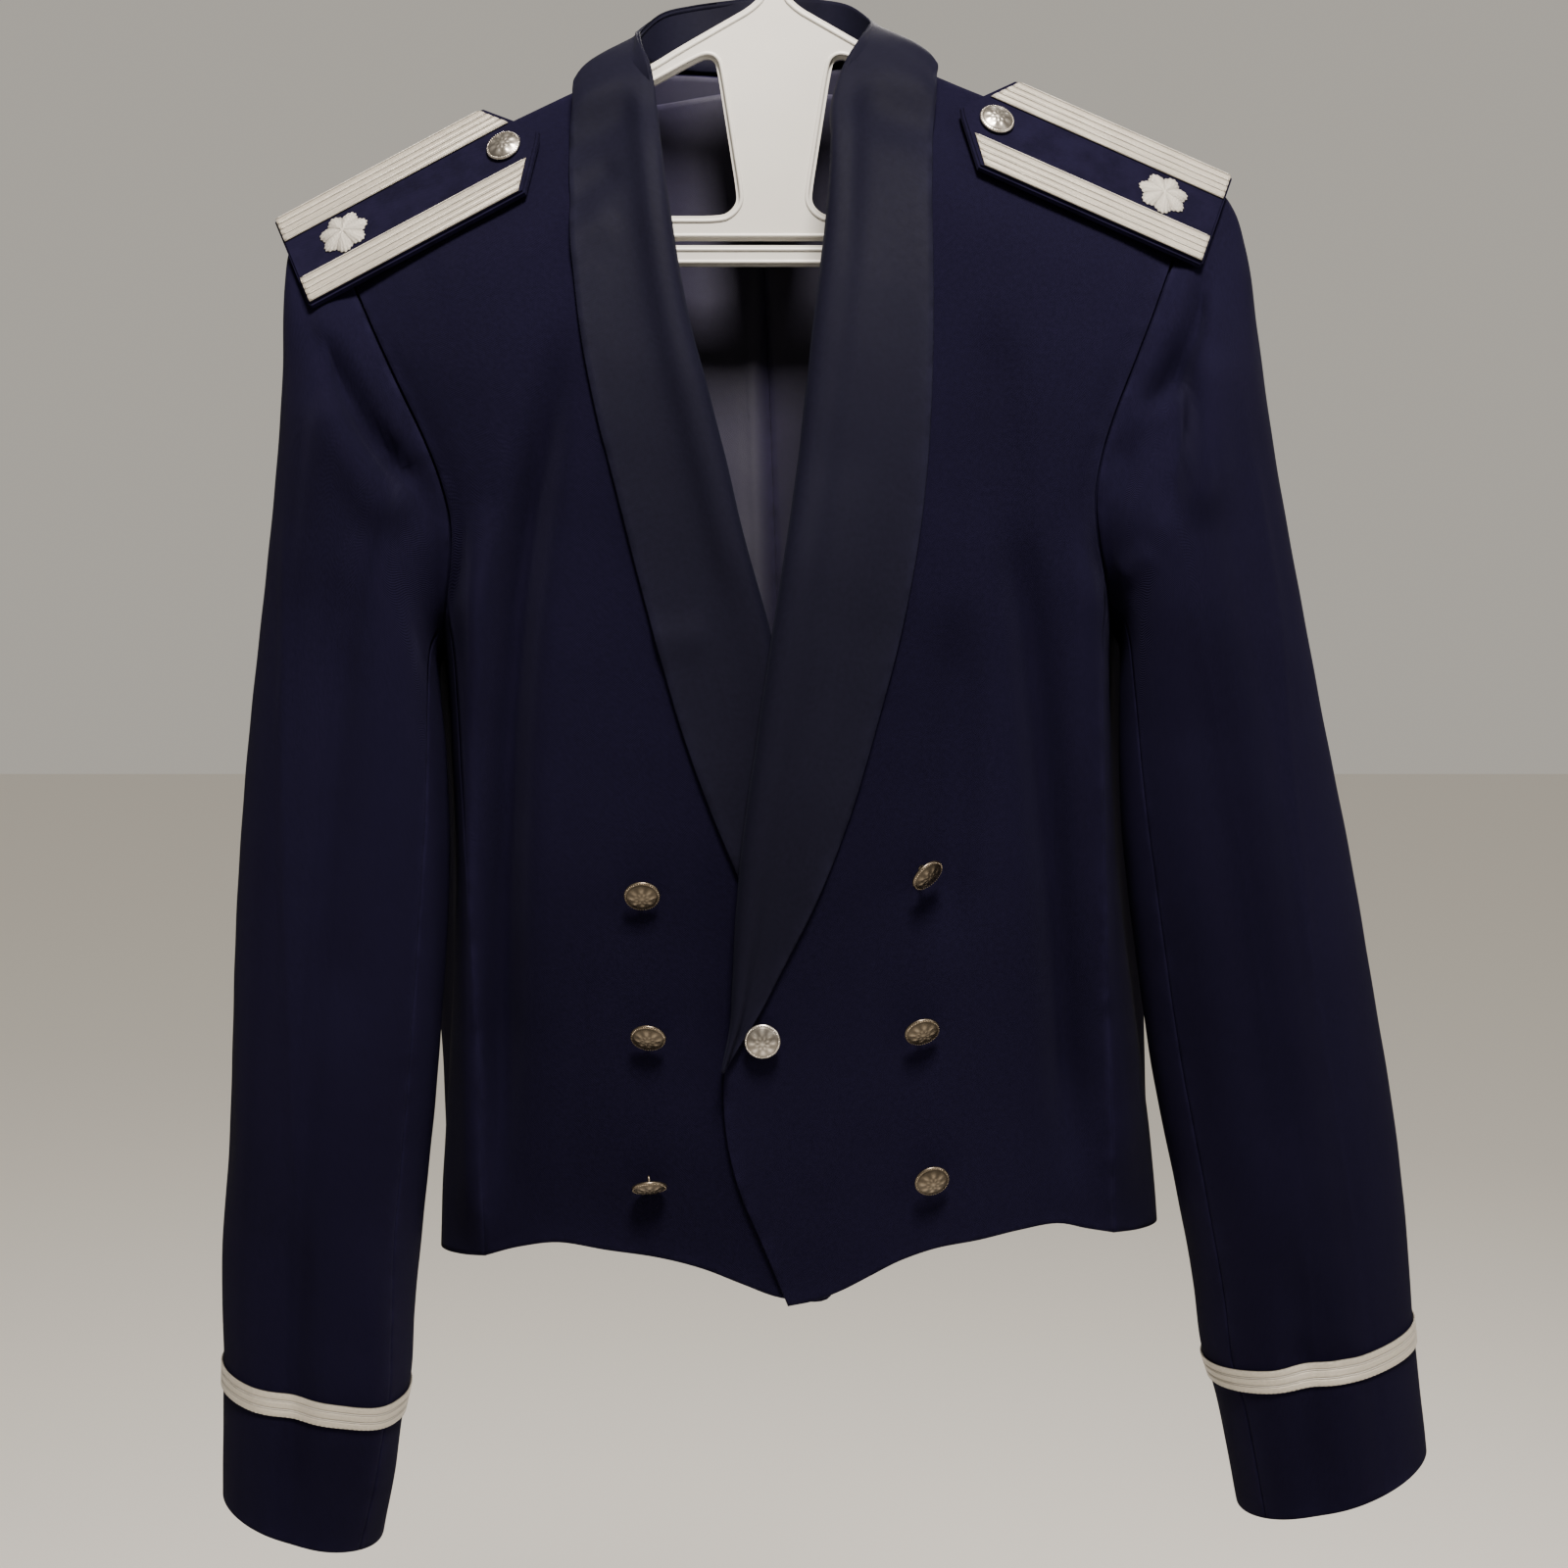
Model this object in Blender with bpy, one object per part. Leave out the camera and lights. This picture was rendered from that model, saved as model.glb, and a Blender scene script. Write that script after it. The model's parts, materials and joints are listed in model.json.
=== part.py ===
"""A dress uniform jacket on a plain plastic hanger.

The jacket is waist length, with a shawl collar, two-piece sleeves, silver braid on the cuffs,
shoulder boards and a pointed front. Metres, +Z up, front faces -Y, origin at the inside top
of the hanger's hook, where a rail holds it. Cloth pieces are closed thin walls on one body form.
"""

import math

import bmesh
import bpy
import numpy as np
from mathutils import Matrix

# How the jacket hangs on the hanger: it leans to one side about a point low on the hook.
LEAN = math.radians(2.1)
LEAN_PIVOT_Z = -0.12
SIDEWAYS_SHIFT = -0.0084

# Cloth and seams.
CLOTH = 0.0018
SLEEVE_CLOTH = 0.0016
LINING = 0.001
COLLAR_CLOTH = 0.0018
SEAM_GAP = 0.0003
LAYER_GAP = 0.0010
LEAF_GAP = 0.0015
LINING_GAP = 0.0024

# Shoulders: the line from the neck to the shoulder tip, seen from the front.
NECK_X = 0.072
NECK_Z = -0.107
SHOULDER_SLOPE = 0.4348
SHOULDER_TIP_X = 0.225
BACK_NECK_Z = -0.108
NECK_SET_BACK = 0.2

# Girth along one side of the body, for spacing the rows of a panel.
HALF_GIRTH = 0.36
FRONT_SEAM = 0.45
BACK_SEAM = 0.77

# Trim.
BRAID_THICK = 0.0011
BOARD_WIDTH = 0.067
BOARD_SIDE = 0.121
BOARD_LENGTH = 0.141
BOARD_THICK = 0.0045
BOARD_TILT = math.radians(39.6)
BOARD_CLEAR = 0.0026
BOARD_TURN = math.radians(2.5)
BOARD_OVER_RIDGE = 0.004
BOARD_TIP_X = 0.242
BOARD_SLIDE = 0.0045
BOARD_BRAID_WIDTH = 0.018
BUTTON_RADIUS = 0.009
BUTTON_SEGMENTS = 16
FRONT_SHANK = 0.0052
LINK_SHANK = 0.0042
LEAF_SIZE = 0.0135
LEAF_LOBES = 7

# Hanger.
HANGER_THICK = 0.008
HANGER_BEVEL = 0.0022
WIRE_RADIUS = 0.002
HOOK_RADIUS = 0.022
STEM_BOTTOM = -0.067


def table(columns, *rows):
    """A short table as {column name: its values down the rows}."""
    return {name: np.array([row[i] for row in rows]) for i, name in enumerate(columns.split())}


# The body's cross-section from centre front (0) round to centre back (1): "across" is a share
# of the half width, "depth" a share of the front depth where negative and of the back's where positive.
SECTION = table(
    "around across depth",
    (0.00, 0.000, -1.000),
    (0.12, 0.250, -0.995),
    (0.24, 0.480, -0.980),
    (0.34, 0.665, -0.935),
    (0.41, 0.765, -0.840),
    (0.46, 0.820, -0.680),
    (0.50, 0.845, -0.480),
    (0.54, 0.862, -0.250),
    (0.58, 0.885, -0.020),
    (0.63, 0.930, 0.250),
    (0.68, 0.975, 0.500),
    (0.73, 1.000, 0.700),
    (0.78, 0.965, 0.860),
    (0.84, 0.850, 0.950),
    (0.92, 0.450, 0.990),
    (1.00, 0.000, 1.000),
)

HALF_WIDTH = table(
    "z width",
    (-0.740, 0.197),
    (-0.620, 0.194),
    (-0.520, 0.196),
    (-0.420, 0.198),
    (-0.370, 0.203),
    (-0.330, 0.212),
    (-0.305, 0.225),
    (-0.265, 0.255),
    (-0.230, 0.290),
    (-0.200, 0.305),
    (-0.100, 0.310),
)

# How far the front and back stand from the shoulder line, by the drop below it.
DEPTH = table(
    "drop front back",
    (0.000, 0.0040, 0.0050),
    (0.010, 0.0125, 0.0095),
    (0.030, 0.0282, 0.0175),
    (0.060, 0.0508, 0.0280),
    (0.090, 0.0642, 0.0335),
    (0.130, 0.0765, 0.0390),
    (0.200, 0.0880, 0.0450),
    (0.300, 0.0930, 0.0490),
    (0.450, 0.0930, 0.0500),
    (0.600, 0.0890, 0.0470),
)

# Towards the hem the corner between front and side fills out, below where the sleeve lies close.
CORNER_FILL = 0.020
CORNER_PLACE = 0.54
CORNER_SPREAD = 0.075

# Soft folds that run down from the armhole to the hem, by their place round the body.
FOLDS = table("around width height", (0.535, 0.045, 0.0030), (0.375, 0.050, -0.0045))
FOLD_TOP_Z = -0.36
FOLD_FULL_Z = -0.62

FRONT_HEM = table(
    "x z",
    (-0.040, -0.712),
    (-0.007, -0.7326),
    (0.012, -0.7290),
    (0.030, -0.7215),
    (0.045, -0.7150),
    (0.059, -0.7090),
    (0.076, -0.7055),
    (0.093, -0.7030),
    (0.109, -0.6993),
    (0.129, -0.6977),
    (0.149, -0.7033),
    (0.166, -0.7105),
    (0.187, -0.7150),
)
BACK_HEM_Z = -0.7000

# The armhole, from its lowest point on the front and the back up to the shoulder tip.
SEAM_ROWS = 13
ARMHOLE_FRONT = table(
    "z x",
    (-0.372, 0.1645),
    (-0.350, 0.1602),
    (-0.330, 0.1590),
    (-0.305, 0.1645),
    (-0.2655, 0.1810),
    (-0.2266, 0.1985),
    (-0.200, 0.2110),
)
ARMHOLE_BACK = table(
    "z x",
    (-0.375, 0.1975),
    (-0.345, 0.1900),
    (-0.310, 0.1880),
    (-0.270, 0.1920),
    (-0.230, 0.2030),
    (-0.200, 0.2130),
)
ARMPIT = table(
    "around z",
    (FRONT_SEAM, -0.372),
    (0.51, -0.395),
    (0.59, -0.405),
    (0.68, -0.399),
    (BACK_SEAM, -0.375),
)
SIDE_HEM = table(
    "around z",
    (FRONT_SEAM, -0.7095),
    (0.54, -0.7165),
    (0.62, -0.7150),
    (BACK_SEAM, -0.7125),
)

# The fold line of the lapel and the lapel's outer edge, both measured outward from the middle.
# The wearer's left front lies over the right one.
ROLL_OVER = table(
    "z x",
    (-0.110, 0.0372),
    (-0.179, 0.0328),
    (-0.2275, 0.0261),
    (-0.307, 0.0137),
    (-0.368, 0.0019),
    (-0.434, -0.0101),
    (-0.5115, -0.0227),
    (-0.599, -0.0310),
)
ROLL_UNDER = table(
    "z x",
    (-0.1067, 0.0506),
    (-0.167, 0.0459),
    (-0.225, 0.0389),
    (-0.2867, 0.0259),
    (-0.353, 0.0118),
    (-0.3865, 0.0035),
    (-0.430, -0.0040),
    (-0.500, -0.0150),
)
LAPEL_OVER = table(
    "z x",
    (-0.118, 0.0890),
    (-0.1798, 0.0832),
    (-0.243, 0.0813),
    (-0.314, 0.0759),
    (-0.380, 0.0639),
    (-0.4465, 0.0447),
    (-0.503, 0.0235),
    (-0.554, -0.0025),
    (-0.599, -0.0275),
)
LAPEL_UNDER = table(
    "z x",
    (-0.122, 0.0930),
    (-0.1733, 0.0935),
    (-0.222, 0.0917),
    (-0.270, 0.0856),
    (-0.3085, 0.0775),
    (-0.3755, 0.0631),
    (-0.443, 0.0466),
    (-0.5065, 0.0249),
    (-0.530, 0.0150),
)
EDGE_OVER = table(
    "z x",
    (-0.7326, -0.0070),
    (-0.711, -0.0154),
    (-0.692, -0.0214),
    (-0.680, -0.0273),
    (-0.6465, -0.0358),
    (-0.604, -0.0340),
)
EDGE_UNDER_X = -0.022

# Heights of the fold line and of the outer edge at each lapel station, and the neck's own stations:
# the foot of the stand, the fold, and where the collar's edge lies on the shoulder or back.
STATIONS_OVER = table(
    "roll_z edge_z",
    (-0.132, -0.150),
    (-0.152, -0.166),
    (-0.173, -0.184),
    (-0.200, -0.208),
    (-0.232, -0.238),
    (-0.270, -0.274),
    (-0.310, -0.310),
    (-0.352, -0.348),
    (-0.395, -0.388),
    (-0.445, -0.434),
    (-0.492, -0.480),
    (-0.535, -0.523),
    (-0.565, -0.556),
    (-0.580, -0.575),
)
STATIONS_UNDER = table(
    "roll_z edge_z",
    (-0.132, -0.150),
    (-0.152, -0.166),
    (-0.173, -0.185),
    (-0.200, -0.212),
    (-0.232, -0.244),
    (-0.268, -0.281),
    (-0.308, -0.320),
    (-0.345, -0.360),
    (-0.378, -0.400),
    (-0.405, -0.440),
    (-0.425, -0.478),
    (-0.440, -0.512),
)
NECK = table(
    "stand_x stand_y stand_z roll_x roll_y roll_z edge_x edge_z edge_back swing",
    (0.0002, 0.0408, -0.1055, 0.0002, 0.0480, -0.0660, 0.0002, -0.1140, 1, 0.0),
    (0.0320, 0.0356, -0.1040, 0.0330, 0.0435, -0.0690, 0.0420, -0.1170, 1, 0.0),
    (0.0500, 0.0246, -0.1018, 0.0500, 0.0310, -0.0750, 0.0680, -0.1200, 1, 0.0),
    (0.0580, 0.0120, -0.1005, 0.0580, 0.0140, -0.0845, 0.0850, -0.1185, 1, 0.0),
    (0.0600, 0.0000, -0.0990, 0.0578, 0.0010, -0.0900, 0.0905, -0.1152, 0, 0.1),
    (0.0600, -0.0130, -0.1040, 0.0550, -0.0120, -0.0975, 0.0905, -0.1220, 0, 0.4),
    (0.0585, -0.0220, -0.1190, 0.0490, -0.0260, -0.1110, 0.0900, -0.1340, 0, 0.7),
)
NECK_CLEAR = 0.0064
COLLAR_LIFT = 0.0045
INNER_LEG = 0.011

# How far the over-lapping front stands off the one below it.
OVERLAP_LIFT = table(
    "z lift",
    (-0.740, 0.0036),
    (-0.650, 0.0036),
    (-0.600, 0.0062),
    (-0.560, 0.0075),
    (-0.500, 0.0108),
    (-0.385, 0.0108),
    (-0.270, 0.0000),
    (-0.100, 0.0000),
)
OVERLAP_FLAT_X = 0.015
OVERLAP_FADE = 0.045

# The sleeve: outer and inner line of each ring seen from the front, its half depth and middle
# from the side, and how much of the armhole's own shape it still has.
SLEEVE = table(
    "outer_x outer_z inner_x inner_z half_depth middle_y armhole swing",
    (0.2250, -0.1735, 0.1850, -0.4050, 0.0600, -0.005, 1.00, 0.0000),
    (0.2345, -0.1790, 0.1845, -0.4075, 0.0600, -0.009, 0.86, 0.0000),
    (0.2405, -0.1890, 0.1825, -0.4120, 0.0600, -0.016, 0.70, 0.0000),
    (0.2435, -0.2100, 0.1790, -0.4200, 0.0590, -0.025, 0.50, 0.0005),
    (0.2460, -0.2500, 0.1750, -0.4350, 0.0580, -0.034, 0.30, 0.0010),
    (0.2510, -0.3000, 0.1725, -0.4600, 0.0565, -0.041, 0.14, 0.0010),
    (0.2595, -0.3600, 0.1722, -0.4930, 0.0550, -0.045, 0.04, 0.0010),
    (0.2705, -0.4250, 0.1748, -0.5300, 0.0540, -0.047, 0.00, 0.0015),
    (0.2825, -0.5000, 0.1800, -0.5770, 0.0530, -0.048, 0.00, 0.0025),
    (0.2945, -0.5850, 0.1875, -0.6350, 0.0515, -0.048, 0.00, 0.0040),
    (0.3045, -0.6600, 0.1970, -0.6930, 0.0495, -0.047, 0.00, 0.0060),
    (0.3110, -0.7230, 0.2060, -0.7460, 0.0480, -0.046, 0.00, 0.0070),
    (0.3135, -0.7636, 0.2110, -0.7835, 0.0472, -0.045, 0.00, 0.0075),
    (0.3145, -0.7763, 0.2145, -0.7955, 0.0470, -0.045, 0.00, 0.0075),
    (0.3200, -0.8380, 0.2290, -0.8680, 0.0456, -0.044, 0.00, 0.0080),
)
# The braid lies between these two rings, counted from the cuff.
BRAID_RINGS = (-2, -3)
BODY_CLEAR = 0.0024
SLEEVE_FRONT_SEAM = 0.80
SLEEVE_BACK_SEAM = 0.36
# The crease that runs from under the shoulder board down to the front of the armhole.
CREASE = table("x z", (0.232, -0.232), (0.217, -0.257), (0.203, -0.281), (0.187, -0.303), (0.172, -0.318))
CREASE_DEPTH = 0.005
CREASE_WIDTH = 0.010

# Buttons on the fronts: how far each hangs forward and down on its shank, towards which side, and
# how far its foot stands from the cloth so that its rim just clears it.
BUTTONS = table(
    "side row x z droop toward stand",
    (-1, 1, 0.0712, -0.5136, 31, 0, 0.0016),
    (-1, 2, 0.0707, -0.5850, 36, -10, 0.0017),
    (-1, 3, 0.0747, -0.6607, 58, 4, 0.0040),
    (1, 1, 0.0660, -0.5080, 52, 45, 0.0034),
    (1, 2, 0.0635, -0.5870, 36, 20, 0.0019),
    (1, 3, 0.0665, -0.6655, 26, 25, 0.0014),
)
LINK_X = -0.0146
LINK_Z = -0.5905


def clear_scene():
    """Removes everything the scene starts with."""
    for obj in list(bpy.data.objects):
        bpy.data.objects.remove(obj, do_unlink=True)


def smooth(tab, key, column, at):
    """Reads a table at the given keys along a smooth curve that never overshoots its rows."""
    x = tab[key].astype(float)
    y = tab[column].astype(float)
    at = np.clip(np.asarray(at, float), x[0], x[-1])
    step = np.diff(x)
    slope = np.diff(y) / step
    tangent = np.zeros_like(y)
    tangent[0] = slope[0]
    tangent[-1] = slope[-1]
    same = slope[1:] * slope[:-1] > 0
    weight_a = 2 * step[1:] + step[:-1]
    weight_b = step[1:] + 2 * step[:-1]
    safe = np.where(same, slope[1:] * slope[:-1], 1.0)
    mean = (weight_a + weight_b) * safe / (weight_a * slope[1:] + weight_b * slope[:-1] + (~same))
    tangent[1:-1] = np.where(same, mean, 0.0)
    i = np.clip(np.searchsorted(x, at) - 1, 0, len(x) - 2)
    h = step[i]
    t = (at - x[i]) / h
    return (
        (1 + 2 * t) * (1 - t) ** 2 * y[i]
        + t * (1 - t) ** 2 * h * tangent[i]
        + t * t * (3 - 2 * t) * y[i + 1]
        + t * t * (t - 1) * h * tangent[i + 1]
    )


def ease(t):
    """0 below 0, 1 above 1 and a smooth step between."""
    t = np.clip(t, 0.0, 1.0)
    return t * t * (3 - 2 * t)


def unit(v):
    """Vectors of length one."""
    return v / np.maximum(np.linalg.norm(v, axis=-1, keepdims=True), 1e-12)


def ridge_z(x):
    """Height of the shoulder line at this distance from the middle."""
    return NECK_Z - SHOULDER_SLOPE * (np.abs(x) - NECK_X)


def corner_fill(around, z):
    """How much wider the body is at the corner between its front and side."""
    spread = np.exp(-(((around - CORNER_PLACE) / CORNER_SPREAD) ** 2))
    return CORNER_FILL * ease((-0.48 - z) / 0.24) * spread


def body_form(around, z):
    """The body's surface before folds, at places round it and heights."""
    across = smooth(SECTION, "around", "across", around)
    depth = smooth(SECTION, "around", "depth", around)
    x = across * smooth(HALF_WIDTH, "z", "width", z) + corner_fill(around, z)
    neck = np.clip(1 - (x / (NECK_X + 0.002)) ** 2, 0, 1) ** 1.4
    drop = np.clip(ridge_z(x) - z, 0, None)
    front = smooth(DEPTH, "drop", "front", drop)
    back = smooth(DEPTH, "drop", "back", drop + NECK_SET_BACK * neck)
    y = np.where(depth < 0, depth * front, depth * back)
    return np.stack([x, y, z + 0 * x], axis=-1)


def body_normal(around, z):
    """Outward normals of the body's surface."""
    e = 0.004
    f = 0.002
    along = body_form(np.clip(around + e, 0, 1), z) - body_form(np.clip(around - e, 0, 1), z)
    up = body_form(around, z + f) - body_form(around, z - f)
    return unit(np.cross(along, up))


def fold_height(around, z):
    """How far the soft folds move the cloth out or in."""
    grow = ease((FOLD_TOP_Z - z) / (FOLD_TOP_Z - FOLD_FULL_Z))
    total = 0.0
    for place, width, height in zip(FOLDS["around"], FOLDS["width"], FOLDS["height"]):
        total = total + height * grow * np.exp(-(((around - place) / width) ** 2))
    return total


def body(around, z, out=0.0):
    """Points of the body cloth's outside, moved out by this much, for the side of +X."""
    around = np.asarray(around, float)
    z = np.asarray(z, float)
    push = np.asarray(out + fold_height(around, z))
    return body_form(around, z) + body_normal(around, z) * push[..., None]


def around_of(x, z, back=False):
    """The place round the body, on its front or back, of a point this far from the middle."""
    low, high = (0.73, 1.0) if back else (0.0, 0.73)
    places = np.linspace(low, high, 400)
    share = smooth(SECTION, "around", "across", places)
    width = smooth(HALF_WIDTH, "z", "width", z)
    if back:
        return np.interp(np.asarray(x) / width, share[::-1], places[::-1])
    found = np.interp(np.asarray(x) / width, share, places)
    for _ in range(30):
        aim = np.interp((np.asarray(x) - corner_fill(found, z)) / width, share, places)
        found = 0.5 * (found + aim)
    return found


def on_front(x, z, out):
    """Points on the front at these x and z, also a little past the middle, moved out."""
    x = np.asarray(x, float)
    past = x < 0
    points = body(around_of(np.abs(x), z), z, out)
    points[..., 0] = np.where(past, -points[..., 0], points[..., 0])
    return points


def overlap_lift(x, z):
    """How far the over-lapping front stands off, by its distance past the middle."""
    return smooth(OVERLAP_LIFT, "z", "lift", z) * (1 - ease((x - OVERLAP_FLAT_X) / OVERLAP_FADE))


def resample(points, shares):
    """Points at these shares of the length along a line of (around, z) pairs."""
    points = np.asarray(points, float)
    real = points * np.array([HALF_GIRTH, 1.0])
    length = np.concatenate([[0], np.cumsum(np.linalg.norm(np.diff(real, axis=0), axis=1))])
    length /= length[-1]
    return np.stack([np.interp(shares, length, points[:, k]) for k in range(2)], axis=-1)


def patch(bottom, top, left, right, columns, rows):
    """A grid of pairs filling the space between four edges; left and right have a point a row."""
    b = resample(bottom, columns)[None]
    t = resample(top, columns)[None]
    lf = np.asarray(left)[:, None]
    rt = np.asarray(right)[:, None]
    c = np.asarray(columns)[None, :, None]
    r = np.asarray(rows)[:, None, None]
    corners = (1 - r) * ((1 - c) * b[:, :1] + c * b[:, -1:]) + r * ((1 - c) * t[:, :1] + c * t[:, -1:])
    return (1 - r) * b + r * t + (1 - c) * lf + c * rt - corners


def inset(points, gap, rows=True, columns=True):
    """Draws the outer rows and columns of a grid in by this much, along the cloth."""
    points = points.copy()
    if rows:
        points[0] += unit(points[1] - points[0]) * gap
        points[-1] += unit(points[-2] - points[-1]) * gap
    if columns:
        points[:, 0] += unit(points[:, 1] - points[:, 0]) * gap
        points[:, -1] += unit(points[:, -2] - points[:, -1]) * gap
    return points


def grid_normals(points, wrap=False):
    """Normals of a grid of points, read from its own rows and columns."""
    if wrap:
        across = np.roll(points, -1, axis=1) - np.roll(points, 1, axis=1)
    else:
        across = np.gradient(points, axis=1)
    along = np.gradient(points, axis=0)
    return unit(np.cross(across, along))


def material(name, colour, roughness, metallic=0.0):
    """A plain Principled material, made once."""
    found = bpy.data.materials.get(name)
    if found:
        return found
    made = bpy.data.materials.new(name)
    made.use_nodes = True
    made.diffuse_color = (*colour, 1)
    shader = made.node_tree.nodes["Principled BSDF"]
    shader.inputs["Base Color"].default_value = (*colour, 1)
    shader.inputs["Roughness"].default_value = roughness
    shader.inputs["Metallic"].default_value = metallic
    return made


def navy_wool():
    """The dark navy uniform cloth."""
    return material("navy_wool", (0.012, 0.011, 0.032), 0.85)


def navy_satin():
    """The collar's satin facing."""
    return material("navy_satin", (0.016, 0.018, 0.032), 0.45)


def violet_lining():
    """The lining seen in the neck."""
    return material("violet_lining", (0.022, 0.018, 0.040), 0.5)


def silver_braid():
    """Silver woven braid."""
    return material("silver_braid", (0.62, 0.58, 0.50), 0.4, 0.5)


def silver_metal():
    """Bright silver metal of the badges and shoulder buttons."""
    return material("silver_metal", (0.70, 0.68, 0.64), 0.25, 1.0)


def pewter_metal():
    """Darkened silver metal of the front buttons."""
    return material("pewter_metal", (0.26, 0.24, 0.22), 0.35, 1.0)


def white_plastic():
    """The hanger's plastic."""
    return material("white_plastic", (0.80, 0.78, 0.75), 0.4)


def steel_wire():
    """The hanger's hook."""
    return material("steel_wire", (0.60, 0.60, 0.60), 0.25, 1.0)


def add_object(name, mesh, parent, finish):
    """Puts a mesh in the scene under a parent, shaded smooth but for its sharp edges."""
    mesh.shade_smooth()
    mesh.set_sharp_from_angle(angle=math.radians(40))
    mesh.materials.append(finish)
    obj = bpy.data.objects.new(name, mesh)
    bpy.context.scene.collection.objects.link(obj)
    obj.parent = parent
    return obj


def make_wall(name, outer, normals, thickness, parent, finish, wrap=False):
    """A closed thin wall between a grid of outer points and the same points moved in."""
    inner = outer - normals * thickness
    rows, columns = outer.shape[:2]
    points = np.concatenate([outer.reshape(-1, 3), inner.reshape(-1, 3)])
    count = rows * columns

    def index(i, j, layer):
        return layer * count + i * columns + (j % columns)

    faces = []
    spans = columns if wrap else columns - 1
    for i in range(rows - 1):
        for j in range(spans):
            faces.append([index(i, j, 0), index(i, j + 1, 0), index(i + 1, j + 1, 0), index(i + 1, j, 0)])
            faces.append([index(i, j, 1), index(i + 1, j, 1), index(i + 1, j + 1, 1), index(i, j + 1, 1)])
    for j in range(spans):
        faces.append([index(0, j, 1), index(0, j + 1, 1), index(0, j + 1, 0), index(0, j, 0)])
        last = rows - 1
        faces.append([index(last, j, 0), index(last, j + 1, 0), index(last, j + 1, 1), index(last, j, 1)])
    if not wrap:
        last = columns - 1
        for i in range(rows - 1):
            faces.append([index(i, 0, 0), index(i + 1, 0, 0), index(i + 1, 0, 1), index(i, 0, 1)])
            faces.append([index(i, last, 1), index(i + 1, last, 1), index(i + 1, last, 0), index(i, last, 0)])
    mesh = bpy.data.meshes.new(name)
    mesh.from_pydata(points.tolist(), [], faces)
    turn_outward(mesh)
    return add_object(name, mesh, parent, finish)


def turn_outward(mesh):
    """Points a closed mesh's faces out and splits them into triangles the same way each run."""
    work = bmesh.new()
    work.from_mesh(mesh)
    bmesh.ops.recalc_face_normals(work, faces=work.faces)
    if work.calc_volume(signed=True) < 0:
        bmesh.ops.reverse_faces(work, faces=work.faces)
    work.to_mesh(mesh)
    work.free()


def mirrored(points, side):
    """Points of the +X side, or their mirror image for the other side."""
    return points * np.array([side, 1.0, 1.0])


def side_name(side):
    """The wearer's side: +X is the wearer's left."""
    return "left" if side > 0 else "right"


def roll_table(side):
    """The lapel's fold line on this side."""
    return ROLL_OVER if side > 0 else ROLL_UNDER


def falling(tab, column, z):
    """Reads a table whose rows run downward in z."""
    rising = {name: values[::-1] for name, values in tab.items()}
    return smooth(rising, "z", column, z)


def front_inner_edge(side):
    """The front panel's edge from hem to neck as (x, z), just outside the lapel's fold."""
    roll = roll_table(side)
    if side > 0:
        line = list(zip(EDGE_OVER["x"], EDGE_OVER["z"]))
        heights = np.linspace(-0.590, -0.20, 12)
        upper = [(0.047, -0.165), (0.056, -0.136)]
    else:
        line = [(EDGE_UNDER_X, z) for z in (-0.716, -0.66, -0.60, -0.55)]
        line.append((-0.019, -0.51))
        heights = np.linspace(-0.48, -0.20, 9)
        upper = [(0.0530, -0.165), (0.0590, -0.136)]
    line += [(float(falling(roll, "x", z)) + 0.005, z) for z in heights]
    line += upper + [(0.0655, -0.117), (NECK_X, NECK_Z - 0.0005)]
    return np.array(line)


def armhole_line(tab, back):
    """(around, z) pairs from the foot of the armhole's front or back to the shoulder tip."""
    x = np.append(tab["x"], SHOULDER_TIP_X)
    z = np.append(tab["z"], ridge_z(SHOULDER_TIP_X) - SEAM_GAP)
    x[0] = body_form(np.array(BACK_SEAM if back else FRONT_SEAM), z[0])[0]
    heights = np.interp(np.linspace(0, 1, 25), np.linspace(0, 1, len(z)), z)
    curve = {"z": z, "x": x}
    return np.stack([around_of(smooth(curve, "z", "x", heights), heights, back), heights], axis=-1)


def seam_and_armhole(hem_z, seam_place, tab, back, armhole_rows):
    """The edge beside the arm as (around, z): up the side seam, then round the armhole to the tip."""
    armhole = armhole_line(tab, back)
    seam_z = np.linspace(hem_z, armhole[0, 1], SEAM_ROWS)
    seam = np.stack([np.full(SEAM_ROWS, seam_place), seam_z], axis=-1)
    upper = resample(armhole, 1 - (1 - np.linspace(0, 1, armhole_rows)) ** 1.1)
    edge = np.concatenate([seam, upper[1:]])
    length = np.linalg.norm(np.diff(edge * np.array([HALF_GIRTH, 1.0]), axis=0), axis=1)
    rows = np.concatenate([[0], np.cumsum(length)])
    return edge, rows / rows[-1]


def front_grid(side):
    """(x, z) places of a front panel: columns run from the front edge to the side seam and armhole."""
    edge, rows = seam_and_armhole(SIDE_HEM["z"][0], FRONT_SEAM, ARMHOLE_FRONT, False, 11)
    right = np.stack([body_form(edge[:, 0], edge[:, 1])[:, 0], edge[:, 1]], axis=-1)
    left = resample(front_inner_edge(side), rows)
    hem_x = np.linspace(left[0, 0], right[0, 0], 24)
    hem = np.stack([hem_x, smooth(FRONT_HEM, "x", "z", hem_x)], axis=-1)
    hem[0] = left[0]
    hem[-1] = right[0]
    top_x = np.linspace(left[-1, 0], right[-1, 0], 12)
    top = np.stack([top_x, ridge_z(top_x) - SEAM_GAP], axis=-1)
    columns = np.array([0, 0.07, 0.16, 0.26, 0.37, 0.48, 0.59, 0.70, 0.80, 0.90, 1.0])
    return patch(hem, top, left, right, columns, rows)


def front_points(side, out=0.0):
    """The front panel's outer points, with the lift of the front that laps over."""
    grid = front_grid(side)
    x, z = grid[..., 0], grid[..., 1]
    lift = overlap_lift(x, z) if side > 0 else 0.0
    return on_front(x, z, out + lift)


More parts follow.
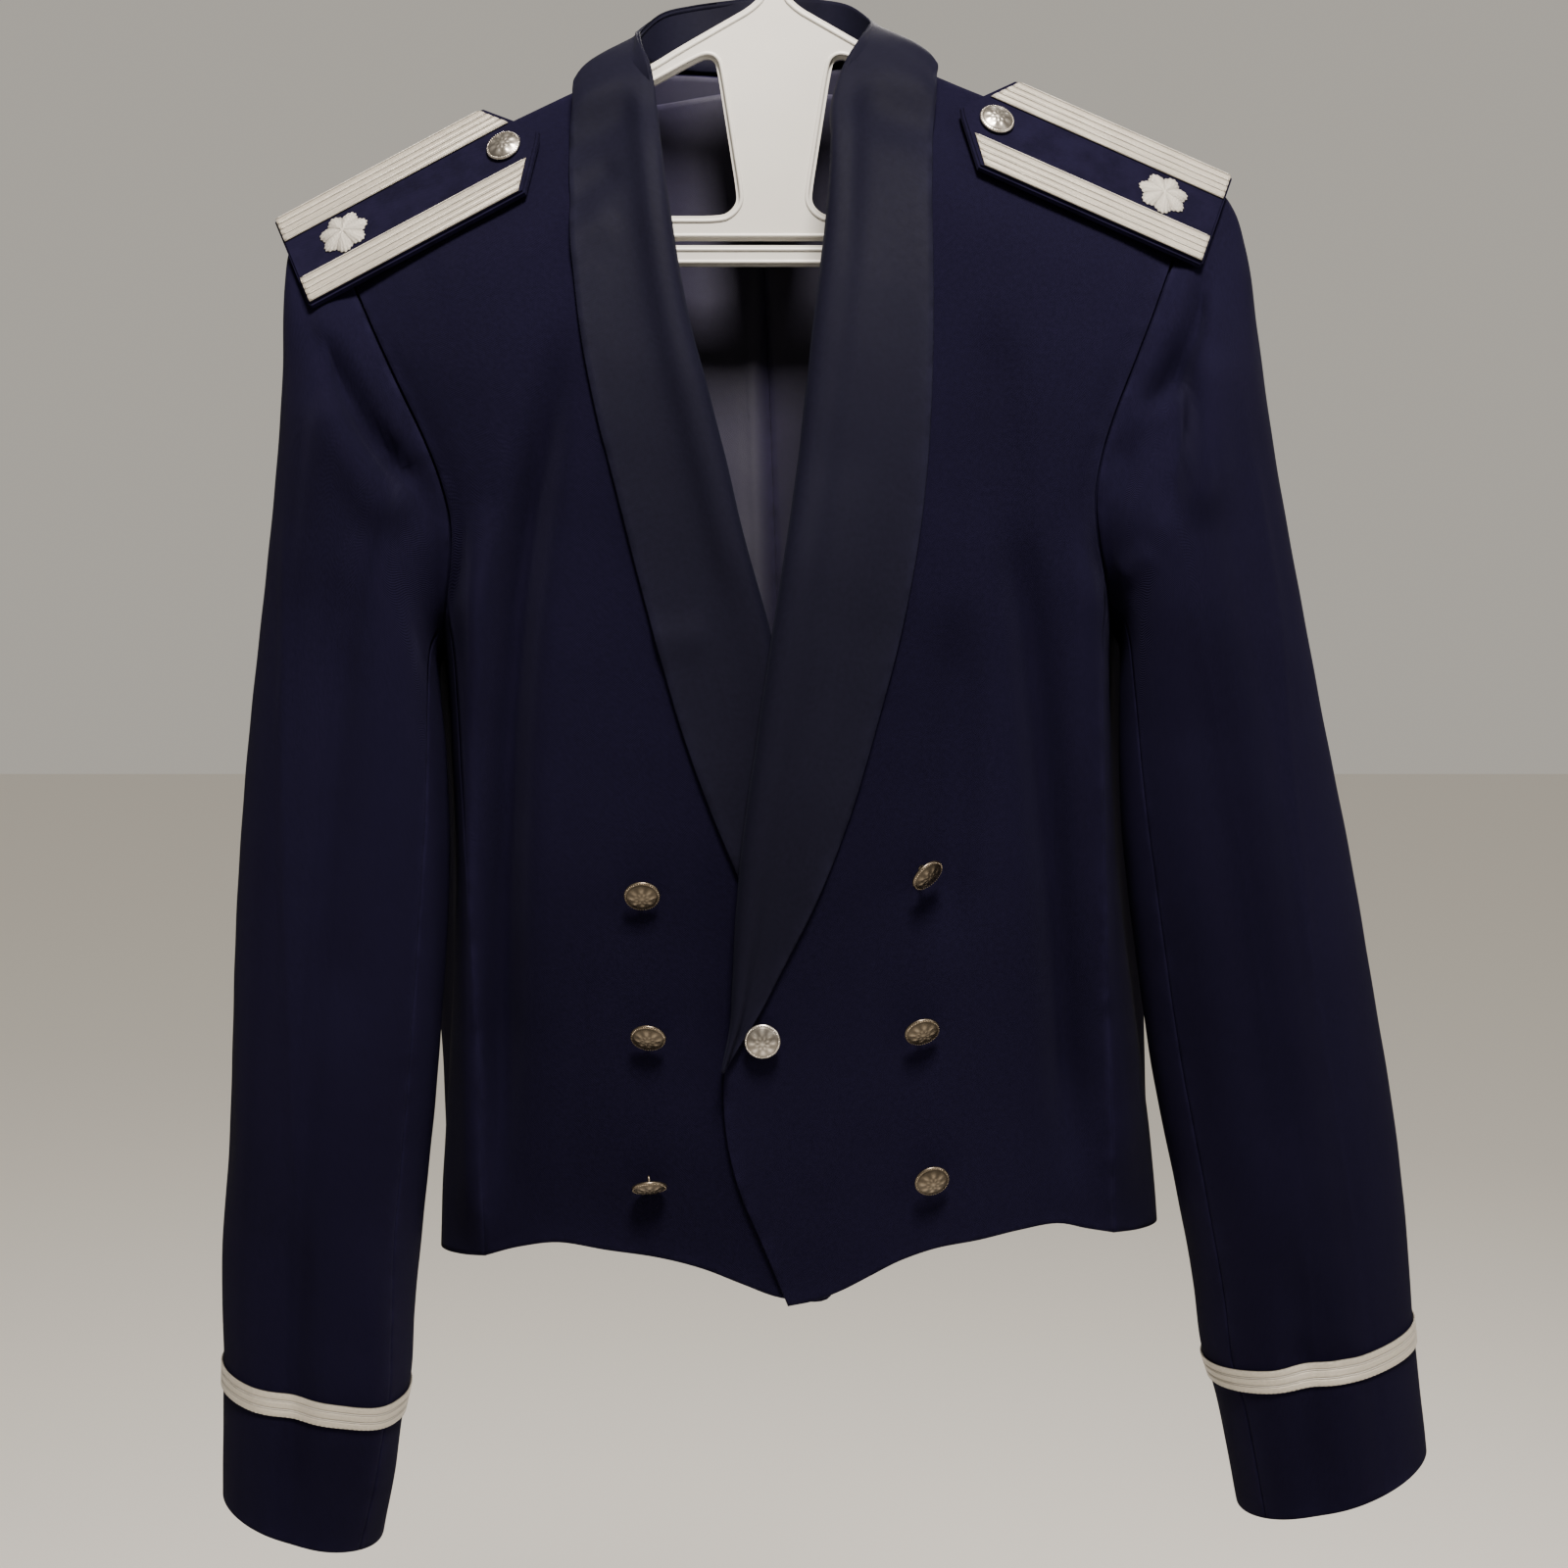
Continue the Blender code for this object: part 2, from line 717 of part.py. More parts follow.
def make_front(side, parent):
    """One cut front."""
    outer = front_points(side)
    normals = unit(front_points(side, 0.002) - outer)
    outer = inset(outer, SEAM_GAP / 2)
    name = f"front_{side_name(side)}"
    make_wall(name, mirrored(outer, side), mirrored(normals, side), CLOTH, parent, navy_wool())


def side_grid():
    """(around, z) places of the under-arm panel, with its rows at the heights of its neighbours' rows."""
    around = np.linspace(FRONT_SEAM, BACK_SEAM, 9)
    top = np.stack([around, smooth(ARMPIT, "around", "z", around)], axis=-1)
    bottom = np.stack([around, smooth(SIDE_HEM, "around", "z", around)], axis=-1)
    rows = np.linspace(0, 1, SEAM_ROWS)
    left = bottom[0] + (top[0] - bottom[0]) * rows[:, None]
    right = bottom[-1] + (top[-1] - bottom[-1]) * rows[:, None]
    return patch(bottom, top, left, right, np.linspace(0, 1, 9), rows)


def make_side(side, parent):
    """One under-arm panel."""
    grid = side_grid()
    outer = body(grid[..., 0], grid[..., 1])
    normals = body_normal(grid[..., 0], grid[..., 1])
    outer = inset(outer, SEAM_GAP)
    name = f"side_{side_name(side)}"
    make_wall(name, mirrored(outer, side), mirrored(normals, side), CLOTH, parent, navy_wool())


def back_grid(hem_rise=0.0, shoulder_drop=SEAM_GAP):
    """(around, z) places of a back half: columns run from the side seam and armhole to the middle."""
    side_hem = SIDE_HEM["z"][-1] + hem_rise
    left, rows = seam_and_armhole(side_hem, BACK_SEAM, ARMHOLE_BACK, True, 8)
    middle = 0.9995
    right = resample([(middle, BACK_HEM_Z + hem_rise), (middle, BACK_NECK_Z)], rows)
    share = np.linspace(0, 1, 12)
    bottom_around = BACK_SEAM + (middle - BACK_SEAM) * share
    bottom_z = side_hem + (BACK_HEM_Z + hem_rise - side_hem) * ease(share)
    shoulder_x = np.linspace(SHOULDER_TIP_X, NECK_X, 8)
    neck_x = np.array([0.066, 0.055, 0.040, 0.020, 0.0])
    neck_z = np.array([-0.1065, -0.1055, -0.1065, -0.1075, BACK_NECK_Z])
    top_x = np.concatenate([shoulder_x, neck_x])
    neck_z = neck_z - (shoulder_drop - SEAM_GAP) * (neck_x / NECK_X)
    top_z = np.concatenate([ridge_z(shoulder_x) - shoulder_drop, neck_z])
    top = np.stack([around_of(top_x, top_z, back=True), top_z], axis=-1)
    top[0] = left[-1]
    top[-1] = right[-1]
    columns = np.array([0, 0.14, 0.28, 0.42, 0.56, 0.66, 0.76, 0.88, 1.0])
    return patch(np.stack([bottom_around, bottom_z], axis=-1), top, left, right, columns, rows)


LINING_ROWS = [0, 4, 8, 12, 14, 15, 16, 17, 18, 19]


def make_back(side, parent):
    """One half of the back and the lining behind it."""
    grid = back_grid()
    outer = inset(body(grid[..., 0], grid[..., 1]), SEAM_GAP / 2)
    normals = body_normal(grid[..., 0], grid[..., 1])
    name = f"back_{side_name(side)}"
    make_wall(name, mirrored(outer, side), mirrored(normals, side), CLOTH, parent, navy_wool())
    grid = back_grid(hem_rise=0.012, shoulder_drop=0.014)[LINING_ROWS]
    outer = body(grid[..., 0], grid[..., 1], -(CLOTH + LINING_GAP))
    normals = body_normal(grid[..., 0], grid[..., 1])
    outer = inset(outer, 0.004)
    outer[:, -1, 0] = SEAM_GAP / 2
    make_wall(
        f"back_lining_{side_name(side)}",
        mirrored(outer, side),
        mirrored(normals, side),
        LINING,
        parent,
        violet_lining(),
    )


def collar_lines(side):
    """The collar's stand, fold and edge points at each station, from centre back to the lapel's foot."""
    over = side > 0
    roll, lapel = (ROLL_OVER, LAPEL_OVER) if over else (ROLL_UNDER, LAPEL_UNDER)
    stations = STATIONS_OVER if over else STATIONS_UNDER
    swing = NECK["swing"] * (-0.007 if over else 0.004)
    clear = LEAF_GAP + COLLAR_CLOTH
    low = -(CLOTH + LAYER_GAP + COLLAR_CLOTH)
    stand = np.stack([NECK["stand_x"] + swing, NECK["stand_y"], NECK["stand_z"]], axis=-1)
    fold = np.stack([NECK["roll_x"] + swing, NECK["roll_y"], NECK["roll_z"]], axis=-1)
    edge = []
    for x, z, back, move in zip(NECK["edge_x"], NECK["edge_z"], NECK["edge_back"], swing):
        place = around_of(x + 0.5 * move, z, back=bool(back))
        edge.append(body(place, z, clear + NECK_CLEAR))
    edge = np.array(edge)
    roll_x = falling(roll, "x", stations["roll_z"])
    edge_x = falling(lapel, "x", stations["edge_z"])
    lift = overlap_lift(roll_x, stations["roll_z"]) if over else 0.0
    near_neck = ease((stations["roll_z"] + 0.23) / 0.10)
    fold_out = lift + 0.003 * near_neck
    stand_low = on_front(roll_x + INNER_LEG, stations["roll_z"], lift + low)
    fold_low = on_front(roll_x, stations["roll_z"], fold_out)
    edge_lift = overlap_lift(edge_x, stations["edge_z"]) if over else 0.0
    edge_low = on_front(edge_x, stations["edge_z"], clear + edge_lift)
    pairs = ((stand, stand_low), (fold, fold_low), (edge, edge_low))
    return [np.concatenate(pair) for pair in pairs]


LEAF_SHARES = np.array([0.0, 0.05, 0.16, 0.36, 0.58, 0.80, 1.0])


def leaf_point(side, station, fold, edge, share):
    """A point of the collar's leaf between its fold and its edge."""
    neck_rows = len(NECK["roll_x"])
    over = side > 0
    if station < neck_rows:
        bulge = 0.006 * 4 * share * (1 - share)
        away = unit(np.array([edge[0], edge[1] * 1.5 + 0.002, 0.02]))
        return fold + (edge - fold) * share + away * bulge
    x = fold[0] + (edge[0] - fold[0]) * share
    z = fold[2] + (edge[2] - fold[2]) * share
    pressed = 0.0 if over else 0.75 * ease((-0.33 - z) / 0.06)
    roll = COLLAR_LIFT * (1 - pressed) * np.exp(-(((share - 0.16) / 0.16) ** 2))
    height = LEAF_GAP + COLLAR_CLOTH + roll
    if over:
        height += float(overlap_lift(x, z))
    return on_front(x, z, height)


def collar_section(side, station, stand, fold, edge):
    """The points of one cross-section: up the stand, over the fold and down the leaf."""
    leg = [stand + (fold - stand) * share for share in (0.0, 0.45, 0.85)]
    if station >= len(NECK["roll_x"]):
        roll_x, z = fold[0], fold[2]
        low = -(CLOTH + LAYER_GAP + COLLAR_CLOTH)
        for k, (out_x, share) in enumerate(((INNER_LEG, 1.0), (0.0052, 1.0), (0.0012, 0.66))):
            lift = float(overlap_lift(roll_x + out_x, z)) if side > 0 else 0.0
            leg[k] = on_front(roll_x + out_x, z, lift + low * share)
    leaf = [leaf_point(side, station, fold, edge, share) for share in LEAF_SHARES[1:]]
    return np.array(leg + [fold] + leaf)


def make_collar(side, parent):
    """Half of the shawl collar, from the middle of the neck to the foot of the lapel."""
    stand, fold, edge = collar_lines(side)
    grid = np.array([collar_section(side, i, *row) for i, row in enumerate(zip(stand, fold, edge))])
    normals = grid_normals(grid)
    if np.dot(normals[8, -2], [0, -1, 0]) < 0:
        normals = -normals
    grid[0, :, 0] = SEAM_GAP / 2
    normals[0, :, 0] = 0
    make_wall(
        f"collar_{side_name(side)}",
        mirrored(grid, side),
        mirrored(unit(normals), side),
        COLLAR_CLOTH,
        parent,
        navy_satin(),
    )


def armhole_ring():
    """The armhole's own points from the shoulder tip down the front, under the arm and up the back."""
    front = front_points(-1)[:, -1]
    front = front[SEAM_ROWS:][::-1]
    grid = side_grid()[-1]
    under = body(grid[:, 0], grid[:, 1])
    back = back_grid()
    back = body(back[SEAM_ROWS:, 0, 0], back[SEAM_ROWS:, 0, 1])
    return np.concatenate([front, under, back[:-1]])


def ring_angles(ring):
    """Angles round the sleeve for the armhole's points: 0 at the shoulder tip, half a turn at the armpit."""
    closed = np.concatenate([ring, ring[:1]])
    length = np.concatenate([[0], np.cumsum(np.linalg.norm(np.diff(closed, axis=0), axis=1))])
    low = int(np.argmin(ring[:, 2]))
    down = length[: low + 1] / length[low] * math.pi
    up = math.pi + (length[low + 1 : -1] - length[low]) / (length[-1] - length[low]) * math.pi
    return np.concatenate([down, up])


def sleeve_ellipse(row, angles, side):
    """One ring of the sleeve as a soft oval between its outer and inner line."""
    swing = side * SLEEVE["swing"][row]
    outer = np.array([SLEEVE["outer_x"][row] + swing, SLEEVE["middle_y"][row], SLEEVE["outer_z"][row]])
    inner = np.array([SLEEVE["inner_x"][row], SLEEVE["middle_y"][row], SLEEVE["inner_z"][row]])
    middle = 0.5 * (outer + inner)
    side = np.cos(angles)[:, None] * (outer - middle)
    front = np.sin(angles)[:, None] * np.array([0, -SLEEVE["half_depth"][row], 0])
    return middle + side + front


def board_axes(side):
    """The shoulder board's corner at the shoulder tip's back edge, and its three directions."""
    slope = math.atan(SHOULDER_SLOPE)
    along = np.array([-math.cos(slope), 0, math.sin(slope)])
    level = np.array([-math.sin(slope), 0, -math.cos(slope)])
    across = level * math.cos(BOARD_TILT) + np.array([0, -1, 0]) * math.sin(BOARD_TILT)
    normal = np.cross(along, across)
    turned = along * math.cos(BOARD_TURN) - across * math.sin(BOARD_TURN)
    across = across * math.cos(BOARD_TURN) + along * math.sin(BOARD_TURN)
    along = turned
    tip_x = BOARD_TIP_X - side * BOARD_SLIDE
    ridge = np.array([tip_x, -0.0052, float(ridge_z(tip_x))])
    corner = ridge + normal * BOARD_CLEAR - across * BOARD_OVER_RIDGE
    return corner, along, across, normal


def press_under_board(points, side):
    """Cloth that would stand through the shoulder board is pressed down to just below it."""
    corner, along, across, normal = board_axes(side)
    rel = points - corner
    height = rel @ normal + 0.0012
    inside = ease((rel @ along + 0.016) / 0.012) * (1 - ease((rel @ along - BOARD_LENGTH) / 0.01))
    inside = inside * ease((rel @ across + 0.02) / 0.012)
    inside = inside * (1 - ease((rel @ across - BOARD_WIDTH - 0.004) / 0.012))
    push = np.clip(height, 0, None) * inside
    return points - push[..., None] * normal


def crease_height(points):
    """How far the diagonal crease on the sleeve's front draws the cloth in."""
    line = np.stack([CREASE["x"], CREASE["z"]], axis=-1)
    nearest = np.full(points.shape[:-1], 1.0)
    for a, b in zip(line[:-1], line[1:]):
        step = b - a
        flat = points[..., [0, 2]] - a
        share = np.clip((flat @ step) / (step @ step), 0, 1)
        nearest = np.minimum(nearest, np.linalg.norm(flat - share[..., None] * step, axis=-1))
    front = ease((-points[..., 1] - 0.03) / 0.03)
    return CREASE_DEPTH * front * np.exp(-((nearest / CREASE_WIDTH) ** 2))


def keep_off_body(points):
    """Moves the sleeve's points outward where they would touch the side of the body."""
    places = np.linspace(0.40, 0.82, 60)
    moved = points.copy()
    for index in np.ndindex(points.shape[:-1]):
        x, y, z = points[index]
        side_line = body(places, np.full(60, z))
        nearest = np.interp(y, side_line[:, 1], side_line[:, 0])
        place = np.interp(y, side_line[:, 1], places)
        below = z < smooth(ARMPIT, "around", "z", place) + 0.014
        if below and side_line[0, 1] < y < side_line[-1, 1] and x < nearest + BODY_CLEAR:
            moved[index][0] = nearest + BODY_CLEAR
    return moved


def sleeve_normals(grid):
    """Normals of the sleeve's rings; at the armhole they lean no further in than its edge."""
    normals = grid_normals(grid, wrap=True)
    if normals[6, 0, 0] < 0:
        normals = -normals
    normals[0, :, 0] = np.minimum(normals[0, :, 0], -0.05)
    return unit(normals)


def sleeve_grid(side):
    """All rings of a sleeve as (rings, points round it), with the normals and the points' angles."""
    armhole = armhole_ring()
    angles = ring_angles(armhole)
    first = sleeve_ellipse(0, angles, side)
    rings = []
    for row, share in enumerate(SLEEVE["armhole"]):
        rings.append(sleeve_ellipse(row, angles, side) + share * (armhole - first))
    grid = np.array(rings)
    grid[0] = armhole + np.array([SEAM_GAP * 2.5, 0, 0])
    creased = grid - sleeve_normals(grid) * crease_height(grid)[..., None]
    grid[1:] = keep_off_body(press_under_board(creased[1:], side))
    return grid, sleeve_normals(grid), angles


def make_sleeve(side, parent):
    """The top and under sleeve, each a wall along the whole arm."""
    grid, normals, angles = sleeve_grid(side)
    turn = angles / math.pi
    front_seam = int(np.argmin(np.abs(turn - SLEEVE_FRONT_SEAM)))
    back_seam = int(np.argmin(np.abs(turn - (2 - SLEEVE_BACK_SEAM))))
    count = len(angles)
    top = [k % count for k in range(back_seam, count + front_seam + 1)]
    under = list(range(front_seam, back_seam + 1))
    for name, columns in (("sleeve_top", top), ("sleeve_under", under)):
        outer = inset(grid[:, columns], SEAM_GAP / 2, rows=False)
        make_wall(
            f"{name}_{side_name(side)}",
            mirrored(outer, side),
            mirrored(normals[:, columns], side),
            SLEEVE_CLOTH,
            parent,
            navy_wool(),
        )


def make_cuff_braid(side, parent):
    """The braid round the cuff, laid on the sleeve's own points."""
    grid, normals, _ = sleeve_grid(side)
    low, high = BRAID_RINGS
    middle = 0.5 * (grid[low] + grid[high])
    ring = np.array([grid[low], middle, grid[high]])
    out = np.array([normals[low]] * 3)
    ring = ring + out * (SEAM_GAP + BRAID_THICK)
    make_wall(
        f"cuff_braid_{side_name(side)}",
        mirrored(ring, side),
        mirrored(out, side),
        BRAID_THICK,
        parent,
        silver_braid(),
        wrap=True,
    )


def plate_object(name, outline, thickness, matrix, parent, finish, bevel=0.0):
    """A flat plate: an outline in its own plane, raised by its thickness, its top edge rounded."""
    work = bmesh.new()
    low = [work.verts.new((x, y, 0.0)) for x, y in outline]
    face = work.faces.new(low)
    raised = bmesh.ops.extrude_face_region(work, geom=[face])
    top = [v for v in raised["geom"] if isinstance(v, bmesh.types.BMVert)]
    bmesh.ops.translate(work, verts=top, vec=(0, 0, thickness))
    if bevel:
        rim = [e for e in work.edges if all(v in top for v in e.verts)]
        bmesh.ops.bevel(work, geom=rim, offset=bevel, segments=1, affect="EDGES")
    work.transform(matrix)
    mesh = bpy.data.meshes.new(name)
    work.to_mesh(mesh)
    work.free()
    turn_outward(mesh)
    return add_object(name, mesh, parent, finish)


def board_matrix(side, raise_by=0.0):
    """Places a plate's own x along the board, y across it and z away from the cloth."""
    corner, along, across, normal = board_axes(side)
    base = corner + normal * raise_by
    flip = np.array([side, 1.0, 1.0])
    frame = np.stack([along * flip, across * flip, normal * flip, base * flip], axis=-1)
    return Matrix([list(row) for row in frame] + [[0, 0, 0, 1]])


def board_edge(y, inset_by):
    """How far along the board its pointed neck end lies, at this distance across it."""
    half = BOARD_WIDTH / 2
    return BOARD_SIDE + (BOARD_LENGTH - BOARD_SIDE) * (1 - abs(y - half) / half) - inset_by


def make_board(side, parent):
    """A shoulder board with its two strips of braid, leaf badge and button."""
    name = side_name(side)
    half = BOARD_WIDTH / 2
    outline = [(0.0015, 0), (BOARD_SIDE, 0), (BOARD_LENGTH - 0.003, half - 0.006), (BOARD_LENGTH, half)]
    outline += [(BOARD_LENGTH - 0.003, half + 0.006), (BOARD_SIDE, BOARD_WIDTH), (0.0015, BOARD_WIDTH)]
    outline += [(0, BOARD_WIDTH - 0.0015), (0, 0.0015)]
    board = f"shoulder_board_{name}"
    plate_object(board, outline, BOARD_THICK, board_matrix(side), parent, navy_wool(), 0.001)
    for place, low in (("back", 0.0012), ("front", BOARD_WIDTH - 0.0012 - BOARD_BRAID_WIDTH)):
        high = low + BOARD_BRAID_WIDTH
        strip = [(0.0012, low), (board_edge(low, 0.003), low)]
        strip += [(board_edge(high, 0.003), high), (0.0012, high)]
        plate_object(
            f"board_braid_{place}_{name}",
            strip,
            BRAID_THICK,
            board_matrix(side, BOARD_THICK + SEAM_GAP),
            parent,
            silver_braid(),
            0.0003,
        )
    place = board_matrix(side, BOARD_THICK + SEAM_GAP) @ Matrix.Translation((0.0305, half, 0))
    make_leaf(f"leaf_badge_{name}", place, parent)
    place = board_matrix(side, BOARD_THICK + SEAM_GAP) @ Matrix.Translation((BOARD_SIDE + 0.001, half, 0))
    make_button(f"shoulder_button_{name}", place, 0.0, parent, silver_metal())


def make_leaf(name, matrix, parent):
    """A lobed metal leaf, low at its rim and raised towards its middle."""
    work = bmesh.new()
    count = LEAF_LOBES * 6
    rings = []
    for scale, height in ((1.0, 0.0), (1.0, 0.0009), (0.62, 0.0019)):
        ring = []
        for k in range(count):
            angle = 2 * math.pi * k / count
            lobe = 0.80 + 0.20 * math.cos(LEAF_LOBES * angle)
            radius = LEAF_SIZE * scale * (lobe if scale > 0.9 else 0.85)
            ring.append(work.verts.new((radius * math.cos(angle), radius * math.sin(angle), height)))
        rings.append(ring)
    middle = work.verts.new((0, 0, 0.0023))
    base = work.verts.new((0, 0, 0))
    for k in range(count):
        n = (k + 1) % count
        work.faces.new([rings[0][k], rings[0][n], rings[1][n], rings[1][k]])
        work.faces.new([rings[1][k], rings[1][n], rings[2][n], rings[2][k]])
        work.faces.new([rings[2][k], rings[2][n], middle])
        work.faces.new([rings[0][n], rings[0][k], base])
    work.transform(matrix)
    mesh = bpy.data.meshes.new(name)
    work.to_mesh(mesh)
    work.free()
    turn_outward(mesh)
    return add_object(name, mesh, parent, silver_metal())


def make_button(name, matrix, shank, parent, finish):
    """A domed metal button, turned about its own z, with a round shank below it if it has one."""
    r = BUTTON_RADIUS
    profile = [(0.0, 0.0), (0.0022, 0.0)]
    if shank:
        profile += [(0.0022, shank)]
    profile += [(r * 0.90, shank + 0.0002), (r, shank + 0.0010), (r, shank + 0.0016)]
    profile += [(r * 0.86, shank + 0.0026), (r * 0.5, shank + 0.0038), (0.0, shank + 0.0043)]
    work = bmesh.new()
    rings = []
    for radius, height in profile:
        if radius == 0:
            rings.append([work.verts.new((0, 0, height))])
            continue
        ring = []
        for k in range(BUTTON_SEGMENTS):
            angle = 2 * math.pi * k / BUTTON_SEGMENTS
            ring.append(work.verts.new((radius * math.cos(angle), radius * math.sin(angle), height)))
        rings.append(ring)
    for low, high in zip(rings[:-1], rings[1:]):
        for k in range(BUTTON_SEGMENTS):
            n = (k + 1) % BUTTON_SEGMENTS
            if len(low) == 1:
                work.faces.new([low[0], high[n], high[k]])
            elif len(high) == 1:
                work.faces.new([low[k], low[n], high[0]])
            else:
                work.faces.new([low[k], low[n], high[n], high[k]])
    work.transform(matrix)
    mesh = bpy.data.meshes.new(name)
    work.to_mesh(mesh)
    work.free()
    turn_outward(mesh)
    return add_object(name, mesh, parent, finish)


def button_matrix(point, droop, toward):
    """Places a button's foot at a point, its face turned down by the droop and to one side."""
    lean = math.radians(droop)
    turn = math.radians(toward)
    axis = np.array([math.sin(lean) * math.sin(turn), -math.cos(lean), -math.sin(lean) * math.cos(turn)])
    right = unit(np.cross(axis, [0, 0, 1.0]))
    up = np.cross(right, axis)
    frame = np.stack([right, up, axis, point], axis=-1)
    return Matrix([list(row) for row in frame] + [[0, 0, 0, 1]])


def make_front_buttons(parent):
    """Three buttons in a row on each front, and the link button near the front edge."""
    rows = zip(*BUTTONS.values())
    for side, row, x, z, droop, toward, stand in rows:
        lift = overlap_lift(x, z) if side > 0 else 0.0
        foot = on_front(x, z, stand + lift) * np.array([side, 1, 1])
        name = f"front_button_{side_name(side)}_{int(row)}"
        make_button(name, button_matrix(foot, droop, toward), FRONT_SHANK, parent, pewter_metal())
    foot = on_front(LINK_X, LINK_Z, overlap_lift(LINK_X, LINK_Z) + SEAM_GAP + 0.0003)
    make_button("link_button", button_matrix(foot, 6, 0), LINK_SHANK, parent, silver_metal())


def half_outline():
    """The right half of the hanger's frame in x and z, from its top boss to its upper rail."""
    points = [(0.0060, STEM_BOTTOM - SEAM_GAP), (0.0080, -0.0765)]
    points += [(0.050, -0.0998), (0.062, -0.1072), (0.120, -0.1350), (0.170, -0.1590), (0.183, -0.1658)]
    points += [(0.190, -0.1722), (0.188, -0.1775), (0.180, -0.1762), (0.165, -0.1695)]
    points += [(0.120, -0.1468), (0.062, -0.1185), (0.0395, -0.1065)]
    points += [(0.0340, -0.1045), (0.0305, -0.1060), (0.0290, -0.1100)]
    points += [(0.0192, -0.1720), (0.0195, -0.1765), (0.0225, -0.1805), (0.0275, -0.1830)]
    points += [(0.158, -0.1830), (0.163, -0.1850), (0.165, -0.1895), (0.163, -0.1940), (0.158, -0.1955)]
    return points


def make_hanger():
    """The hanger: arms, neck plate and upper rail in one moulding, a lower rail, and a wire hook."""
    right = half_outline()
    outline = right + [(-x, z) for x, z in reversed(right)]
    stand_up = Matrix.Rotation(math.radians(90), 4, "X") @ Matrix.Translation((0, 0, -HANGER_THICK / 2))
    frame = plate_object("hanger_frame", outline, HANGER_THICK, stand_up, None, white_plastic())
    round_edges(frame)
    rail = [(0.148, -0.1958), (0.158, -0.1958), (0.163, -0.1985), (0.165, -0.2020), (0.163, -0.2065)]
    rail += [(0.157, -0.2084)]
    notch = [(0.146, -0.1978)]
    outline = [(-x, z) for x, z in reversed(notch + rail)]
    outline = outline + notch + rail
    bar = plate_object("trouser_bar", outline, HANGER_THICK, stand_up, None, white_plastic())
    round_edges(bar, 0.0012)
    make_hook()


def round_edges(obj, width=HANGER_BEVEL):
    """Rounds the moulding's long edges."""
    bevel = obj.modifiers.new("rounded", "BEVEL")
    bevel.width = width
    bevel.segments = 2
    bevel.limit_method = "ANGLE"
    bevel.angle_limit = math.radians(60)


def make_hook():
    """The wire hook: a straight stem, a bend to one side and a round crook over the rail."""
    centre_z = WIRE_RADIUS - HOOK_RADIUS
    points = [(0.0, STEM_BOTTOM), (0.0, STEM_BOTTOM + 0.010)]
    points += [(0.002, STEM_BOTTOM + 0.0165), (0.0065, STEM_BOTTOM + 0.0220)]
    for degrees in range(-54, 199, 14):
        angle = math.radians(degrees)
        points.append((HOOK_RADIUS * math.cos(angle), centre_z + HOOK_RADIUS * math.sin(angle)))
    curve = bpy.data.curves.new("hanger_hook", "CURVE")
    curve.dimensions = "3D"
    curve.bevel_depth = WIRE_RADIUS
    curve.bevel_resolution = 2
    curve.use_fill_caps = True
    spline = curve.splines.new("POLY")
    spline.points.add(len(points) - 1)
    for target, (x, z) in zip(spline.points, points):
        target.co = (x, 0.0, z, 1.0)
    curve.materials.append(steel_wire())
    hook = bpy.data.objects.new("hanger_hook", curve)
    bpy.context.scene.collection.objects.link(hook)


def make_lean_parents():
    """The empties that hang the jacket: one leans it, the next moves it sideways to its own frame."""
    lean = bpy.data.objects.new("jacket_lean", None)
    bpy.context.scene.collection.objects.link(lean)
    lean.location = (0, 0, LEAN_PIVOT_Z)
    lean.rotation_euler = (0, -LEAN, 0)
    jacket = bpy.data.objects.new("jacket", None)
    bpy.context.scene.collection.objects.link(jacket)
    jacket.parent = lean
    jacket.location = (SIDEWAYS_SHIFT, 0, -LEAN_PIVOT_Z)
    return jacket


def main():
    """Builds the hanger and the jacket."""
    clear_scene()
    make_hanger()
    jacket = make_lean_parents()
    for side in (1, -1):
        make_front(side, jacket)
        make_side(side, jacket)
        make_back(side, jacket)
        make_collar(side, jacket)
        make_sleeve(side, jacket)
        make_cuff_braid(side, jacket)
        make_board(side, jacket)
    make_front_buttons(jacket)


main()
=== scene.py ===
"""A dress uniform jacket on a plain plastic hanger, dressed for its portrait.

The cloth lies on the same form as the solids it stands for. Garment measures are for the
wearer's left side (+X), mirrored for the right, and the whole garment is then hung a little askew.
Metres, +Z up, the front faces -Y.
"""

from __future__ import annotations

import json
import logging
import math
from dataclasses import dataclass, field
from enum import Enum

